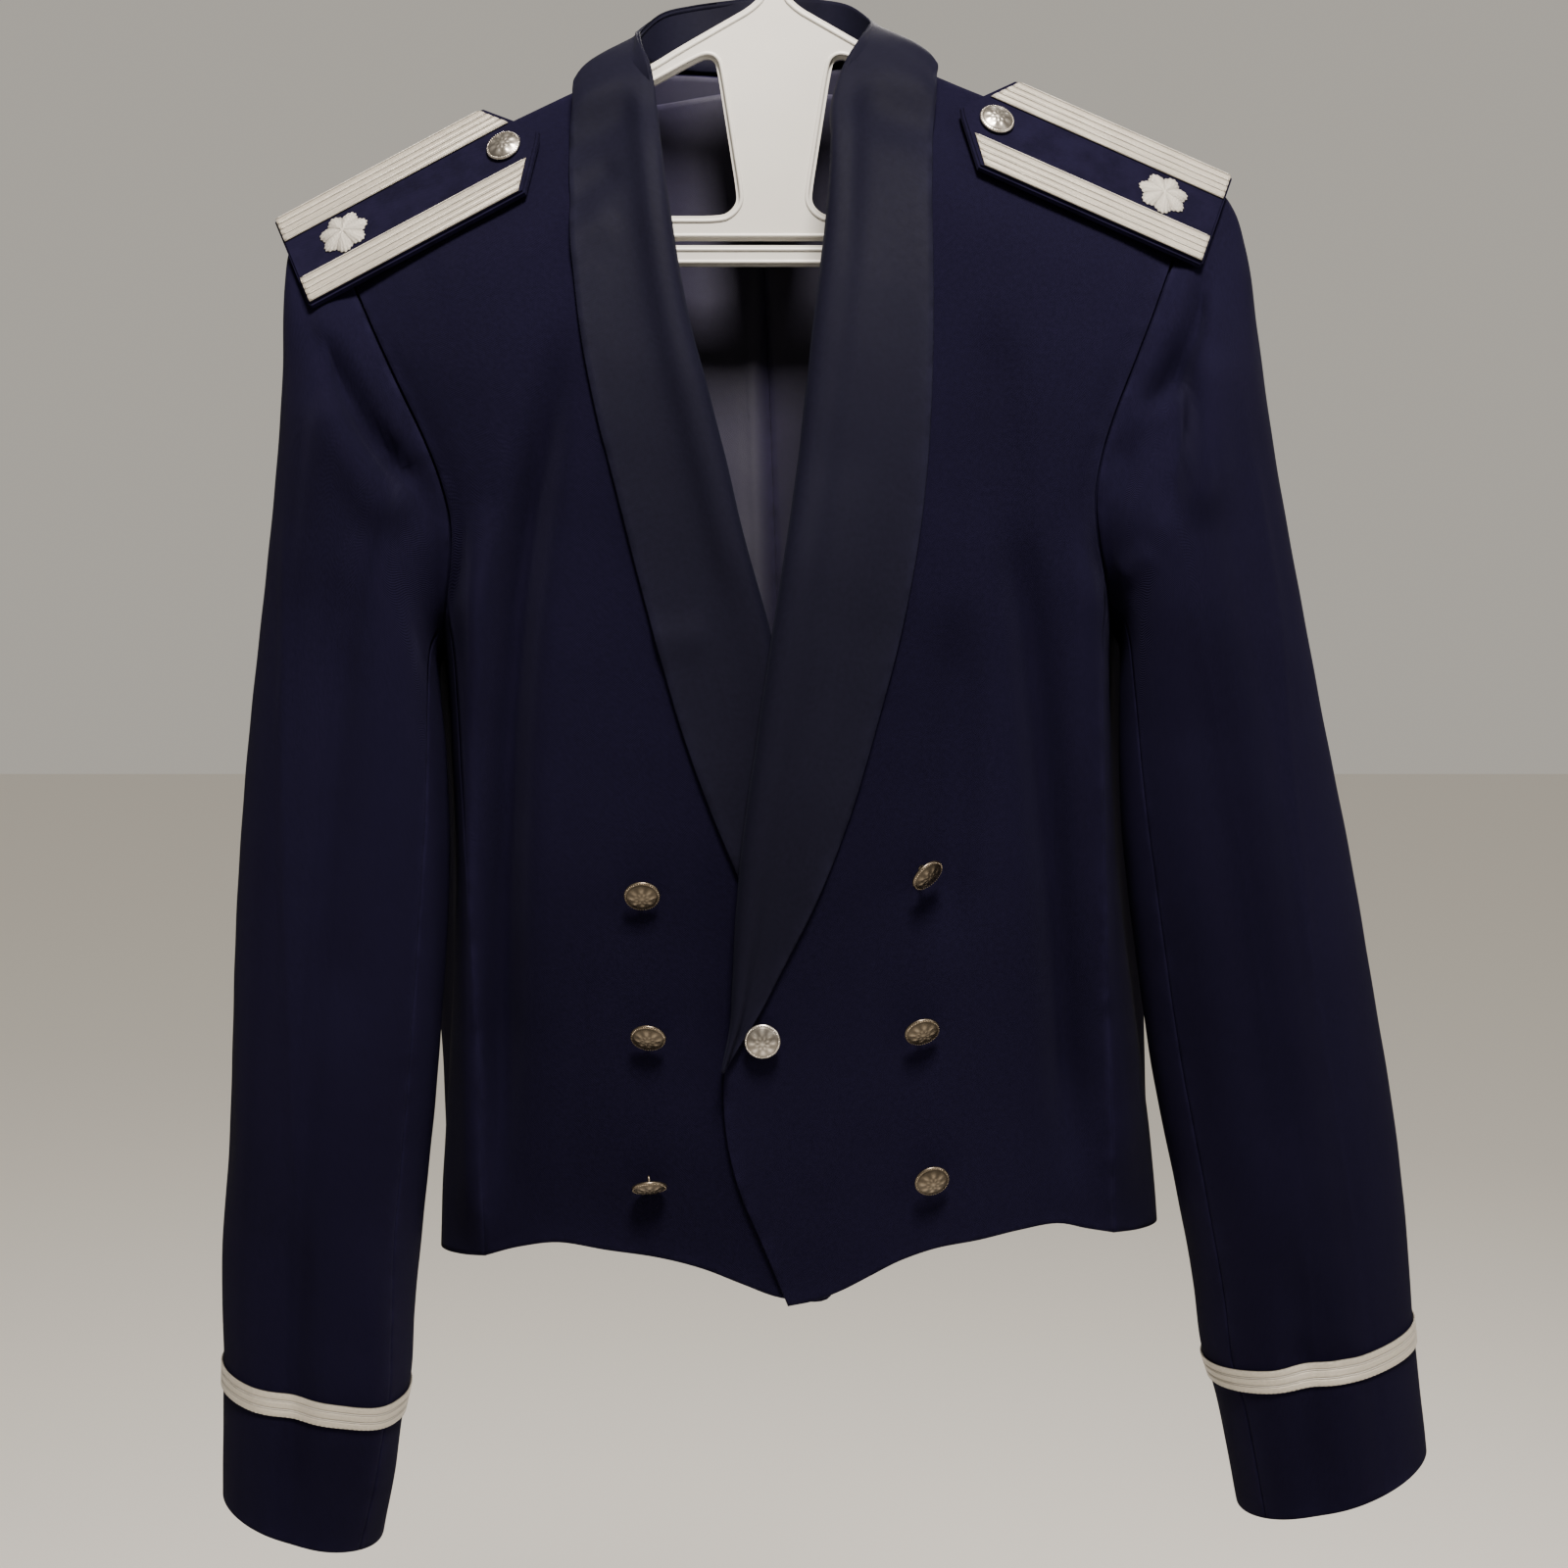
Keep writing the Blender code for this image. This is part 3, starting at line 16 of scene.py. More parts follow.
import bmesh
import bpy
import numpy as np
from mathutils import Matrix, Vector

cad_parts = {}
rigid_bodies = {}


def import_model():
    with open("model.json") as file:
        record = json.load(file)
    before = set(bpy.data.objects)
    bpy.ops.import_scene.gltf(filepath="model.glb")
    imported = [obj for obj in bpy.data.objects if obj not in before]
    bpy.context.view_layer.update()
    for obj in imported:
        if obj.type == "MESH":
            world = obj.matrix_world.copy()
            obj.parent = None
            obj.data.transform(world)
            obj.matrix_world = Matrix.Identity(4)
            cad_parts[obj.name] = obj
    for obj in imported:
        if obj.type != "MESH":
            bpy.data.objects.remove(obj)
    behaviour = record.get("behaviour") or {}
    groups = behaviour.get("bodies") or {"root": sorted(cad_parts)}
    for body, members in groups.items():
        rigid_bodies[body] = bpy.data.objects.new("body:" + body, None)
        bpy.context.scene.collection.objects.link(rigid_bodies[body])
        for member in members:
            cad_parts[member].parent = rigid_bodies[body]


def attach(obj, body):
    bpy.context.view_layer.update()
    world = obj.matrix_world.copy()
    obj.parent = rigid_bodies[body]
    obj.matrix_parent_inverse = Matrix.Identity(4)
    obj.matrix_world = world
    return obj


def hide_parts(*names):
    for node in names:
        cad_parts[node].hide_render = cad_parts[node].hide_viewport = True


for thing in list(bpy.data.objects):
    bpy.data.objects.remove(thing)

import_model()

LOG = logging.getLogger("jacket")
Grid = np.ndarray
Table = dict[str, np.ndarray]
Colour = tuple[float, float, float]
Sockets = bpy.types.bpy_prop_collection


def table(columns: str, *rows: tuple[float, ...]) -> Table:
    """A short table of measures.

    Args:
        columns: the columns' names, with spaces between
        rows: one tuple of values a row
    Returns:
        each column's values down the rows, by name
    """
    return {name: np.array([row[i] for row in rows]) for i, name in enumerate(columns.split())}


# How the jacket hangs on the hanger: it leans to one side about a point low on the hook.
LEAN = math.radians(2.1)
LEAN_PIVOT_Z = -0.12
SIDEWAYS_SHIFT = -0.0084

# Cloth and seams.
CLOTH = 0.0018
SLEEVE_CLOTH = 0.0016
LINING = 0.001
COLLAR_CLOTH = 0.0018
SEAM_GAP = 0.0003
LAYER_GAP = 0.0010
LEAF_GAP = 0.0015
LINING_GAP = 0.0024

# Shoulders: the line from the neck to the shoulder tip, seen from the front.
NECK_X = 0.072
NECK_Z = -0.107
SHOULDER_SLOPE = 0.4348
SHOULDER_TIP_X = 0.225
BACK_NECK_Z = -0.108
NECK_SET_BACK = 0.2

# Girth along one side of the body, for spacing the rows of a panel.
HALF_GIRTH = 0.36
FRONT_SEAM = 0.45
BACK_SEAM = 0.77

# Trim.
BRAID_THICK = 0.0011
BOARD_WIDTH = 0.067
BOARD_SIDE = 0.121
BOARD_LENGTH = 0.141
BOARD_THICK = 0.0045
BOARD_TILT = math.radians(39.6)
BOARD_CLEAR = 0.0026
BOARD_TURN = math.radians(2.5)
BOARD_OVER_RIDGE = 0.004
BOARD_TIP_X = 0.242
BOARD_SLIDE = 0.0045
BOARD_BRAID_WIDTH = 0.018
BUTTON_RADIUS = 0.009
FRONT_SHANK = 0.0052
LINK_SHANK = 0.0042
LEAF_SIZE = 0.0135
LEAF_LOBES = 7

# Hanger.
HANGER_THICK = 0.008
HANGER_BEVEL = 0.0022
WIRE_RADIUS = 0.002
HOOK_RADIUS = 0.022
STEM_BOTTOM = -0.067


# The body's cross-section from centre front (0) round to centre back (1): "across" is a share
# of the half width, "depth" a share of the front depth where negative and of the back's where positive.
SECTION = table(
    "around across depth",
    (0.0, 0.0, -1.0), (0.12, 0.25, -0.995), (0.24, 0.48, -0.98), (0.34, 0.665, -0.935), (0.41, 0.765, -0.84),
    (0.46, 0.82, -0.68), (0.5, 0.845, -0.48), (0.54, 0.862, -0.25), (0.58, 0.885, -0.02), (0.63, 0.93, 0.25),
    (0.68, 0.975, 0.5), (0.73, 1.0, 0.7), (0.78, 0.965, 0.86), (0.84, 0.85, 0.95), (0.92, 0.45, 0.99),
    (1.0, 0.0, 1.0),
)

HALF_WIDTH = table(
    "z width",
    (-0.74, 0.197), (-0.62, 0.194), (-0.52, 0.196), (-0.42, 0.198), (-0.37, 0.203), (-0.33, 0.212),
    (-0.305, 0.225), (-0.265, 0.255), (-0.23, 0.29), (-0.2, 0.305), (-0.1, 0.31),
)

# How far the front and back stand from the shoulder line, by the drop below it.
DEPTH = table(
    "drop front back",
    (0.0, 0.004, 0.005), (0.01, 0.0125, 0.0095), (0.03, 0.0282, 0.0175), (0.06, 0.0508, 0.028),
    (0.09, 0.0642, 0.0335), (0.13, 0.0765, 0.039), (0.2, 0.088, 0.045), (0.3, 0.093, 0.049),
    (0.45, 0.093, 0.05), (0.6, 0.089, 0.047),
)

# Towards the hem the corner between front and side fills out, below where the sleeve lies close.
CORNER_FILL = 0.020
CORNER_PLACE = 0.54
CORNER_SPREAD = 0.075

# Soft folds that run down from the armhole to the hem, by their place round the body.
FOLDS = table("around width height", (0.535, 0.045, 0.0030), (0.375, 0.050, -0.0045))
FOLD_TOP_Z = -0.36
FOLD_FULL_Z = -0.62

FRONT_HEM = table(
    "x z",
    (-0.04, -0.712), (-0.007, -0.7326), (0.012, -0.729), (0.03, -0.7215), (0.045, -0.715), (0.059, -0.709),
    (0.076, -0.7055), (0.093, -0.703), (0.109, -0.6993), (0.129, -0.6977), (0.149, -0.7033), (0.166, -0.7105),
    (0.187, -0.715),
)
BACK_HEM_Z = -0.7000

# The armhole, from its lowest point on the front and the back up to the shoulder tip.
SEAM_ROWS = 13
ARMHOLE_FRONT = table(
    "z x",
    (-0.372, 0.1645), (-0.35, 0.1602), (-0.33, 0.159), (-0.305, 0.1645), (-0.2655, 0.181), (-0.2266, 0.1985),
    (-0.2, 0.211),
)
ARMHOLE_BACK = table(
    "z x",
    (-0.375, 0.1975), (-0.345, 0.19), (-0.31, 0.188), (-0.27, 0.192), (-0.23, 0.203), (-0.2, 0.213),
)
ARMPIT = table(
    "around z",
    (FRONT_SEAM, -0.372), (0.51, -0.395), (0.59, -0.405), (0.68, -0.399), (BACK_SEAM, -0.375),
)
SIDE_HEM = table(
    "around z",
    (FRONT_SEAM, -0.7095), (0.54, -0.7165), (0.62, -0.715), (BACK_SEAM, -0.7125),
)

# The fold line of the lapel and the lapel's outer edge, both measured outward from the middle.
# The wearer's left front lies over the right one.
ROLL_OVER = table(
    "z x",
    (-0.11, 0.0372), (-0.179, 0.0328), (-0.2275, 0.0261), (-0.307, 0.0137), (-0.368, 0.0019), (-0.434, -0.0101),
    (-0.5115, -0.0227), (-0.599, -0.031),
)
ROLL_UNDER = table(
    "z x",
    (-0.1067, 0.0506), (-0.167, 0.0459), (-0.225, 0.0389), (-0.2867, 0.0259), (-0.353, 0.0118),
    (-0.3865, 0.0035), (-0.43, -0.004), (-0.5, -0.015),
)
LAPEL_OVER = table(
    "z x",
    (-0.118, 0.089), (-0.1798, 0.0832), (-0.243, 0.0813), (-0.314, 0.0759), (-0.38, 0.0639), (-0.4465, 0.0447),
    (-0.503, 0.0235), (-0.554, -0.0025), (-0.599, -0.0275),
)
LAPEL_UNDER = table(
    "z x",
    (-0.122, 0.093), (-0.1733, 0.0935), (-0.222, 0.0917), (-0.27, 0.0856), (-0.3085, 0.0775), (-0.3755, 0.0631),
    (-0.443, 0.0466), (-0.5065, 0.0249), (-0.53, 0.015),
)
EDGE_OVER = table(
    "z x",
    (-0.7326, -0.007), (-0.711, -0.0154), (-0.692, -0.0214), (-0.68, -0.0273), (-0.6465, -0.0358),
    (-0.604, -0.034),
)
EDGE_UNDER_X = -0.022

# Heights of the fold line and of the outer edge at each lapel station, and the neck's own stations:
# the foot of the stand, the fold, and where the collar's edge lies on the shoulder or back.
STATIONS_OVER = table(
    "roll_z edge_z",
    (-0.132, -0.15), (-0.152, -0.166), (-0.173, -0.184), (-0.2, -0.208), (-0.232, -0.238), (-0.27, -0.274),
    (-0.31, -0.31), (-0.352, -0.348), (-0.395, -0.388), (-0.445, -0.434), (-0.492, -0.48), (-0.535, -0.523),
    (-0.565, -0.556), (-0.58, -0.575),
)
STATIONS_UNDER = table(
    "roll_z edge_z",
    (-0.132, -0.15), (-0.152, -0.166), (-0.173, -0.185), (-0.2, -0.212), (-0.232, -0.244), (-0.268, -0.281),
    (-0.308, -0.32), (-0.345, -0.36), (-0.378, -0.4), (-0.405, -0.44), (-0.425, -0.478), (-0.44, -0.512),
)
NECK = table(
    "stand_x stand_y stand_z roll_x roll_y roll_z edge_x edge_z edge_back swing",
    (0.0002, 0.0408, -0.1055, 0.0002, 0.048, -0.066, 0.0002, -0.114, 1, 0.0),
    (0.032, 0.0356, -0.104, 0.033, 0.0435, -0.069, 0.042, -0.117, 1, 0.0),
    (0.05, 0.0246, -0.1018, 0.05, 0.031, -0.075, 0.068, -0.12, 1, 0.0),
    (0.058, 0.012, -0.1005, 0.058, 0.014, -0.0845, 0.085, -0.1185, 1, 0.0),
    (0.06, 0.0, -0.099, 0.0578, 0.001, -0.09, 0.0905, -0.1152, 0, 0.1),
    (0.06, -0.013, -0.104, 0.055, -0.012, -0.0975, 0.0905, -0.122, 0, 0.4),
    (0.0585, -0.022, -0.119, 0.049, -0.026, -0.111, 0.09, -0.134, 0, 0.7),
)
NECK_CLEAR = 0.0064
COLLAR_LIFT = 0.0045
INNER_LEG = 0.011

# How far the over-lapping front stands off the one below it.
OVERLAP_LIFT = table(
    "z lift",
    (-0.74, 0.0036), (-0.65, 0.0036), (-0.6, 0.0062), (-0.56, 0.0075), (-0.5, 0.0108), (-0.385, 0.0108),
    (-0.27, 0.0), (-0.1, 0.0),
)
OVERLAP_FLAT_X = 0.015
OVERLAP_FADE = 0.045

# The sleeve: outer and inner line of each ring seen from the front, its half depth and middle
# from the side, and how much of the armhole's own shape it still has.
SLEEVE = table(
    "outer_x outer_z inner_x inner_z half_depth middle_y armhole swing",
    (0.225, -0.1735, 0.185, -0.405, 0.06, -0.005, 1.0, 0.0),
    (0.2345, -0.179, 0.1845, -0.4075, 0.06, -0.009, 0.86, 0.0),
    (0.2405, -0.189, 0.1825, -0.412, 0.06, -0.016, 0.7, 0.0),
    (0.2435, -0.21, 0.179, -0.42, 0.059, -0.025, 0.5, 0.0005),
    (0.246, -0.25, 0.175, -0.435, 0.058, -0.034, 0.3, 0.001),
    (0.251, -0.3, 0.1725, -0.46, 0.0565, -0.041, 0.14, 0.001),
    (0.2595, -0.36, 0.1722, -0.493, 0.055, -0.045, 0.04, 0.001),
    (0.2705, -0.425, 0.1748, -0.53, 0.054, -0.047, 0.0, 0.0015),
    (0.2825, -0.5, 0.18, -0.577, 0.053, -0.048, 0.0, 0.0025),
    (0.2945, -0.585, 0.1875, -0.635, 0.0515, -0.048, 0.0, 0.004),
    (0.3045, -0.66, 0.197, -0.693, 0.0495, -0.047, 0.0, 0.006),
    (0.311, -0.723, 0.206, -0.746, 0.048, -0.046, 0.0, 0.007),
    (0.3135, -0.7636, 0.211, -0.7835, 0.0472, -0.045, 0.0, 0.0075),
    (0.3145, -0.7763, 0.2145, -0.7955, 0.047, -0.045, 0.0, 0.0075),
    (0.32, -0.838, 0.229, -0.868, 0.0456, -0.044, 0.0, 0.008),
)
# The braid lies between these two rings, counted from the cuff.
BRAID_RINGS = (-2, -3)
BODY_CLEAR = 0.0024
SLEEVE_FRONT_SEAM = 0.80
SLEEVE_BACK_SEAM = 0.36
# The crease that runs from under the shoulder board down to the front of the armhole.
CREASE = table("x z", (0.232, -0.232), (0.217, -0.257), (0.203, -0.281), (0.187, -0.303), (0.172, -0.318))
CREASE_DEPTH = 0.005
CREASE_WIDTH = 0.010

# Buttons on the fronts: how far each hangs forward and down on its shank, towards which side, and
# how far its foot stands from the cloth so that its rim just clears it.
BUTTONS = table(
    "side row x z droop toward stand",
    (-1, 1, 0.0712, -0.5136, 31, 0, 0.0016), (-1, 2, 0.0707, -0.585, 36, -10, 0.0017),
    (-1, 3, 0.0747, -0.6607, 58, 4, 0.004), (1, 1, 0.066, -0.508, 52, 45, 0.0034),
    (1, 2, 0.0635, -0.587, 36, 20, 0.0019), (1, 3, 0.0665, -0.6655, 26, 25, 0.0014),
)
LINK_X = -0.0146
LINK_Z = -0.5905
LINING_ROWS = [0, 4, 8, 12, 14, 15, 16, 17, 18, 19]


class Side(Enum):
    """The wearer's side. The wearer's left front laps over the right one."""

    LEFT = 1
    RIGHT = -1

    @property
    def label(self) -> str:
        """The side as it stands in the names of pieces."""
        return self.name.lower()

    @property
    def over(self) -> bool:
        """Whether this side's front laps over the other."""
        return self is Side.LEFT

    def mirror(self, points: Grid) -> Grid:
        """Points of the +X side moved to this side."""
        return points * np.array([self.value, 1.0, 1.0])


class Facing(Enum):
    """Which way the cloth faces where a crease lies."""

    FRONT = -1
    BACK = 1
    ALL = 0


def hermite(t: Grid, low: Grid, high: Grid, leaving: Grid, arriving: Grid) -> Grid:
    """A cubic from low to high, by its slopes at both ends, as t runs from 0 to 1."""
    start, end = (1 + 2 * t) * (1 - t) ** 2, t * t * (3 - 2 * t)
    return start * low + t * (1 - t) ** 2 * leaving + end * high + t * t * (t - 1) * arriving


def smooth(tab: Table, key: str, column: str, at: Grid | float) -> Grid:
    """Reads a table along a smooth curve that never overshoots its rows.

    Args:
        tab: the table
        key: the column that is looked up, rising down the rows
        column: the column that is read
        at: the key's values to read at
    Returns:
        the column's values there
    """
    x = tab[key].astype(float)
    y = tab[column].astype(float)
    at = np.clip(np.asarray(at, float), x[0], x[-1])
    step = np.diff(x)
    slope = np.diff(y) / step
    same = slope[1:] * slope[:-1] > 0
    before = 2 * step[1:] + step[:-1]
    after = step[1:] + 2 * step[:-1]
    safe = np.where(same, slope[1:] * slope[:-1], 1.0)
    mean = (before + after) * safe / (before * slope[1:] + after * slope[:-1] + (~same))
    tangent = np.concatenate([slope[:1], np.where(same, mean, 0.0), slope[-1:]])
    i = np.clip(np.searchsorted(x, at) - 1, 0, len(x) - 2)
    h = step[i]
    return hermite((at - x[i]) / h, y[i], y[i + 1], h * tangent[i], h * tangent[i + 1])


def falling(tab: Table, column: str, z: Grid | float) -> Grid:
    """Reads a table whose rows run downward in z."""
    return smooth({name: values[::-1] for name, values in tab.items()}, "z", column, z)


def ease(t: Grid | float) -> Grid:
    """0 below 0, 1 above 1 and a smooth step between."""
    t = np.clip(t, 0.0, 1.0)
    return t * t * (3 - 2 * t)


def unit(v: Grid) -> Grid:
    """Vectors of length one."""
    return v / np.maximum(np.linalg.norm(v, axis=-1, keepdims=True), 1e-12)


def resample(points: Grid, shares: Grid) -> Grid:
    """Points at shares of the length along a line of (around, z) pairs.

    Args:
        points: the line's pairs
        shares: shares of its length, 0 to 1
    Returns:
        the pairs there
    """
    points = np.asarray(points, float)
    real = points * np.array([HALF_GIRTH, 1.0])
    length = np.concatenate([[0], np.cumsum(np.linalg.norm(np.diff(real, axis=0), axis=1))])
    length /= length[-1]
    return np.stack([np.interp(shares, length, points[:, k]) for k in range(2)], axis=-1)


def patch(bottom: Grid, top: Grid, left: Grid, right: Grid, columns: Grid, rows: Grid) -> Grid:
    """A grid of pairs that fills the space between four edges.

    Args:
        bottom: the lower edge's pairs
        top: the upper edge's pairs
        left: the left edge's pairs, one a row
        right: the right edge's pairs, one a row
        columns: the columns' shares, 0 to 1
        rows: the rows' shares, 0 to 1
    Returns:
        the grid as (rows, columns, 2)
    """
    b = resample(bottom, columns)[None]
    t = resample(top, columns)[None]
    lf = np.asarray(left)[:, None]
    rt = np.asarray(right)[:, None]
    c = np.asarray(columns)[None, :, None]
    r = np.asarray(rows)[:, None, None]
    corners = (1 - r) * ((1 - c) * b[:, :1] + c * b[:, -1:]) + r * ((1 - c) * t[:, :1] + c * t[:, -1:])
    return (1 - r) * b + r * t + (1 - c) * lf + c * rt - corners


def inset(points: Grid, gap: float, rows: bool = True, columns: bool = True) -> Grid:
    """Draws the outer rows and columns of a grid in along the cloth.

    Args:
        points: the grid
        gap: how far, in metres
        rows: whether the first and last row move
        columns: whether the first and last column move
    Returns:
        the new grid
    """
    points = points.copy()
    if rows:
        points[0] += unit(points[1] - points[0]) * gap
        points[-1] += unit(points[-2] - points[-1]) * gap
    if columns:
        points[:, 0] += unit(points[:, 1] - points[:, 0]) * gap
        points[:, -1] += unit(points[:, -2] - points[:, -1]) * gap
    return points


def grid_normals(points: Grid, closed: bool = False, toward: Grid | None = None) -> Grid:
    """Normals of a grid of points, read from its own rows and columns.

    Args:
        points: the grid
        closed: whether the last column joins the first
        toward: a direction for each point that its normal keeps to, if given
    Returns:
        a unit normal for each point
    """
    if closed:
        across = np.roll(points, -1, axis=1) - np.roll(points, 1, axis=1)
    else:
        across = np.gradient(points, axis=1)
    normals = unit(np.cross(across, np.gradient(points, axis=0)))
    if toward is not None and np.sum(normals * toward) < 0:
        normals = -normals
    return normals


def refine(grid: Grid, axis: int, step: float, closed: bool = False) -> tuple[Grid, list[int]]:
    """Adds smooth rows or columns between those of a grid.

    Args:
        grid: the points as (rows, columns, 3)
        axis: 0 to add rows, 1 to add columns
        step: the widest gap left between neighbours, in metres
        closed: whether the last one joins the first
    Returns:
        the finer grid, and the places in it of the rows or columns that were given
    """
    lines = np.moveaxis(grid, axis, 0)
    count = len(lines)
    first = 0
    if closed:
        lines = np.concatenate([lines[-2:], lines, lines[:3]])
        first = 2
    gaps = np.linalg.norm(np.diff(lines, axis=0), axis=-1).mean(axis=1)
    at = np.concatenate([[0.0], np.cumsum(gaps)])
    slopes = np.gradient(lines, at, axis=0)
    found, marks = [], []
    for k in range(first, first + (count if closed else count - 1)):
        pieces = max(1, math.ceil(gaps[k] / step))
        marks.append(len(found))
        leaving, arriving = gaps[k] * slopes[k], gaps[k] * slopes[k + 1]
        found += [hermite(t, lines[k], lines[k + 1], leaving, arriving) for t in np.arange(pieces) / pieces]
    if not closed:
        marks.append(len(found))
        found.append(lines[-1])
    return np.moveaxis(np.array(found), 0, axis), marks


def lengths_along(points: Grid, axis: int) -> Grid:
    """Length from the first row or column to each point of a grid.

    Args:
        points: the grid
        axis: 0 to measure up the columns, 1 along the rows
    Returns:
        the lengths in metres, one a point
    """
    steps = np.linalg.norm(np.diff(points, axis=axis), axis=-1)
    start = np.zeros_like(np.take(steps, [0], axis=axis))
    return np.concatenate([start, np.cumsum(steps, axis=axis)], axis=axis)


def beside(line: Grid, places: Grid) -> tuple[Grid, Grid, float]:
    """How places lie to a bent line, seen from the front.

    Args:
        line: (x, z) corners of the line
        places: (x, z) places
    Returns:
        their distances from it, how far along it each lies, and its whole length
    """
    nearest = np.full(places.shape[:-1], np.inf)
    along = np.zeros(places.shape[:-1])
    length = 0.0
    for corner, step in zip(line, np.diff(line, axis=0)):
        run = np.linalg.norm(step)
        share = np.clip(((places - corner) @ step) / (run * run), 0, 1)
        away = np.linalg.norm(places - corner - share[..., None] * step, axis=-1)
        along = np.where(away < nearest, length + share * run, along)
        nearest = np.minimum(away, nearest)
        length += run
    return nearest, along, length


def unevenness(points: Grid) -> Grid:
    """The faint unevenness of hung cloth, in metres: the same for layers that lie on each other.

    Args:
        points: the cloth's points, already on their own side
    Returns:
        how far each moves out
    """
    x, y, z = points[..., 0], points[..., 1], points[..., 2]
    slow = np.sin(21 * x + 9 * z + 4 * y + 0.7) * np.sin(13 * z - 17 * x + 1.9)
    mid = np.sin(64 * x - 11 * z + 2.3) * np.sin(27 * z + 31 * x + 0.4)
    fine = np.sin(118 * x + 71 * z + 1.1) * np.sin(93 * z - 57 * x + 30 * y)
    return 0.0010 * slow + 0.00038 * mid + 0.00012 * fine


@dataclass(frozen=True)
class Crease:
    """A soft trough or ridge in the cloth along a line seen from the front.

    A straight one moves the cloth towards the front or back and not along its normal.
    """

    line: tuple[tuple[float, float], ...]
    height: float
    width: float
    facing: Facing = Facing.FRONT
    taper: float = 0.25
    straight: bool = False

    def height_at(self, points: Grid, normals: Grid) -> Grid:
        """How far the crease moves each point out.

        Args:
            points: the cloth's points on the +X side
            normals: their outward normals
        Returns:
            the heights in metres
        """
        places = np.stack([np.abs(points[..., 0]), points[..., 2]], axis=-1)
        nearest, along, length = beside(np.array(self.line, float), places)
        ends = ease(along / (self.taper * length)) * ease((length - along) / (self.taper * length))
        faces = 1.0
        if self.facing is not Facing.ALL:
            faces = ease((normals[..., 1] * self.facing.value + 0.15) / 0.5)
        return self.height * ends * faces * np.exp(-((nearest / self.width) ** 2))


def creased(points: Grid, normals: Grid, creases: tuple[Crease, ...], side: Side) -> Grid:
    """Cloth with its creases and its faint unevenness.

    Args:
        points: the cloth's points on the +X side
        normals: their outward normals
        creases: the creases that this side has
        side: the side the cloth is for
    Returns:
        the moved points
    """
    moved = points + normals * unevenness(side.mirror(points))[..., None]
    for crease in creases:
        way = np.array([0.0, crease.facing.value, 0.0]) if crease.straight else normals
        moved = moved + way * crease.height_at(points, normals)[..., None]
    return moved


# Creases of the wearer's right side, as its (distance from the middle, height) along each.
RIGHT_CREASES = (
    Crease(
        (
            (0.2237, -0.2293), (0.2103, -0.2573), (0.1988, -0.2794), (0.1834, -0.3017), (0.166, -0.3161),
        ),
        -0.011, 0.006,
    ),
    Crease(((0.2215, -0.262), (0.21, -0.292), (0.193, -0.316), (0.174, -0.334)), 0.0075, 0.011),
    Crease(((0.1982, -0.2276), (0.1849, -0.2546), (0.1735, -0.2821), (0.1681, -0.3154)), -0.0035, 0.0034),
    Crease(
        (
            (0.2397, -0.3135), (0.244, -0.416), (0.25, -0.597), (0.252, -0.678),
        ),
        0.0015, 0.0034, Facing.FRONT, 0.12,
    ),
    Crease(((0.2104, -0.341), (0.2175, -0.4556), (0.229, -0.6032)), -0.0064, 0.016),
    Crease(
        (
            (0.099, -0.225), (0.1063, -0.2696), (0.1167, -0.3165), (0.1273, -0.3735), (0.135, -0.4362),
            (0.1417, -0.5099), (0.149, -0.6101), (0.154, -0.6964),
        ),
        -0.02, 0.0095, Facing.FRONT, 0.25, True,
    ),
    Crease(
        (
            (0.1379, -0.3158), (0.1477, -0.3731), (0.154, -0.4361), (0.159, -0.5101), (0.1655, -0.6108),
            (0.1704, -0.7226),
        ),
        0.013, 0.01, Facing.FRONT, 0.15, True,
    ),
    Crease(((0.1014, -0.5406), (0.1082, -0.6108), (0.1194, -0.687)), -0.0009, 0.0028),
    Crease(((0.255, -0.66), (0.262, -0.76), (0.268, -0.88)), -0.0067, 0.013, Facing.FRONT, 0.3),
    Crease(((0.218, -0.68), (0.2235, -0.765), (0.231, -0.88)), 0.0064, 0.011, Facing.FRONT, 0.3),
    Crease(((0.286, -0.42), (0.296, -0.56), (0.301, -0.7)), -0.0045, 0.01),
    Crease(((0.1975, -0.2566), (0.1851, -0.2547)), 0.0013, 0.0034),
    Crease(((0.1926, -0.2682), (0.1785, -0.2654)), 0.0015, 0.0034),
    Crease(((0.188, -0.2872), (0.1717, -0.2813)), 0.0018, 0.0036),
    Crease(((0.1834, -0.3005), (0.1682, -0.2947)), 0.0016, 0.0034),
    Crease(((0.18, -0.3118), (0.1655, -0.3077)), 0.0018, 0.0036),
)
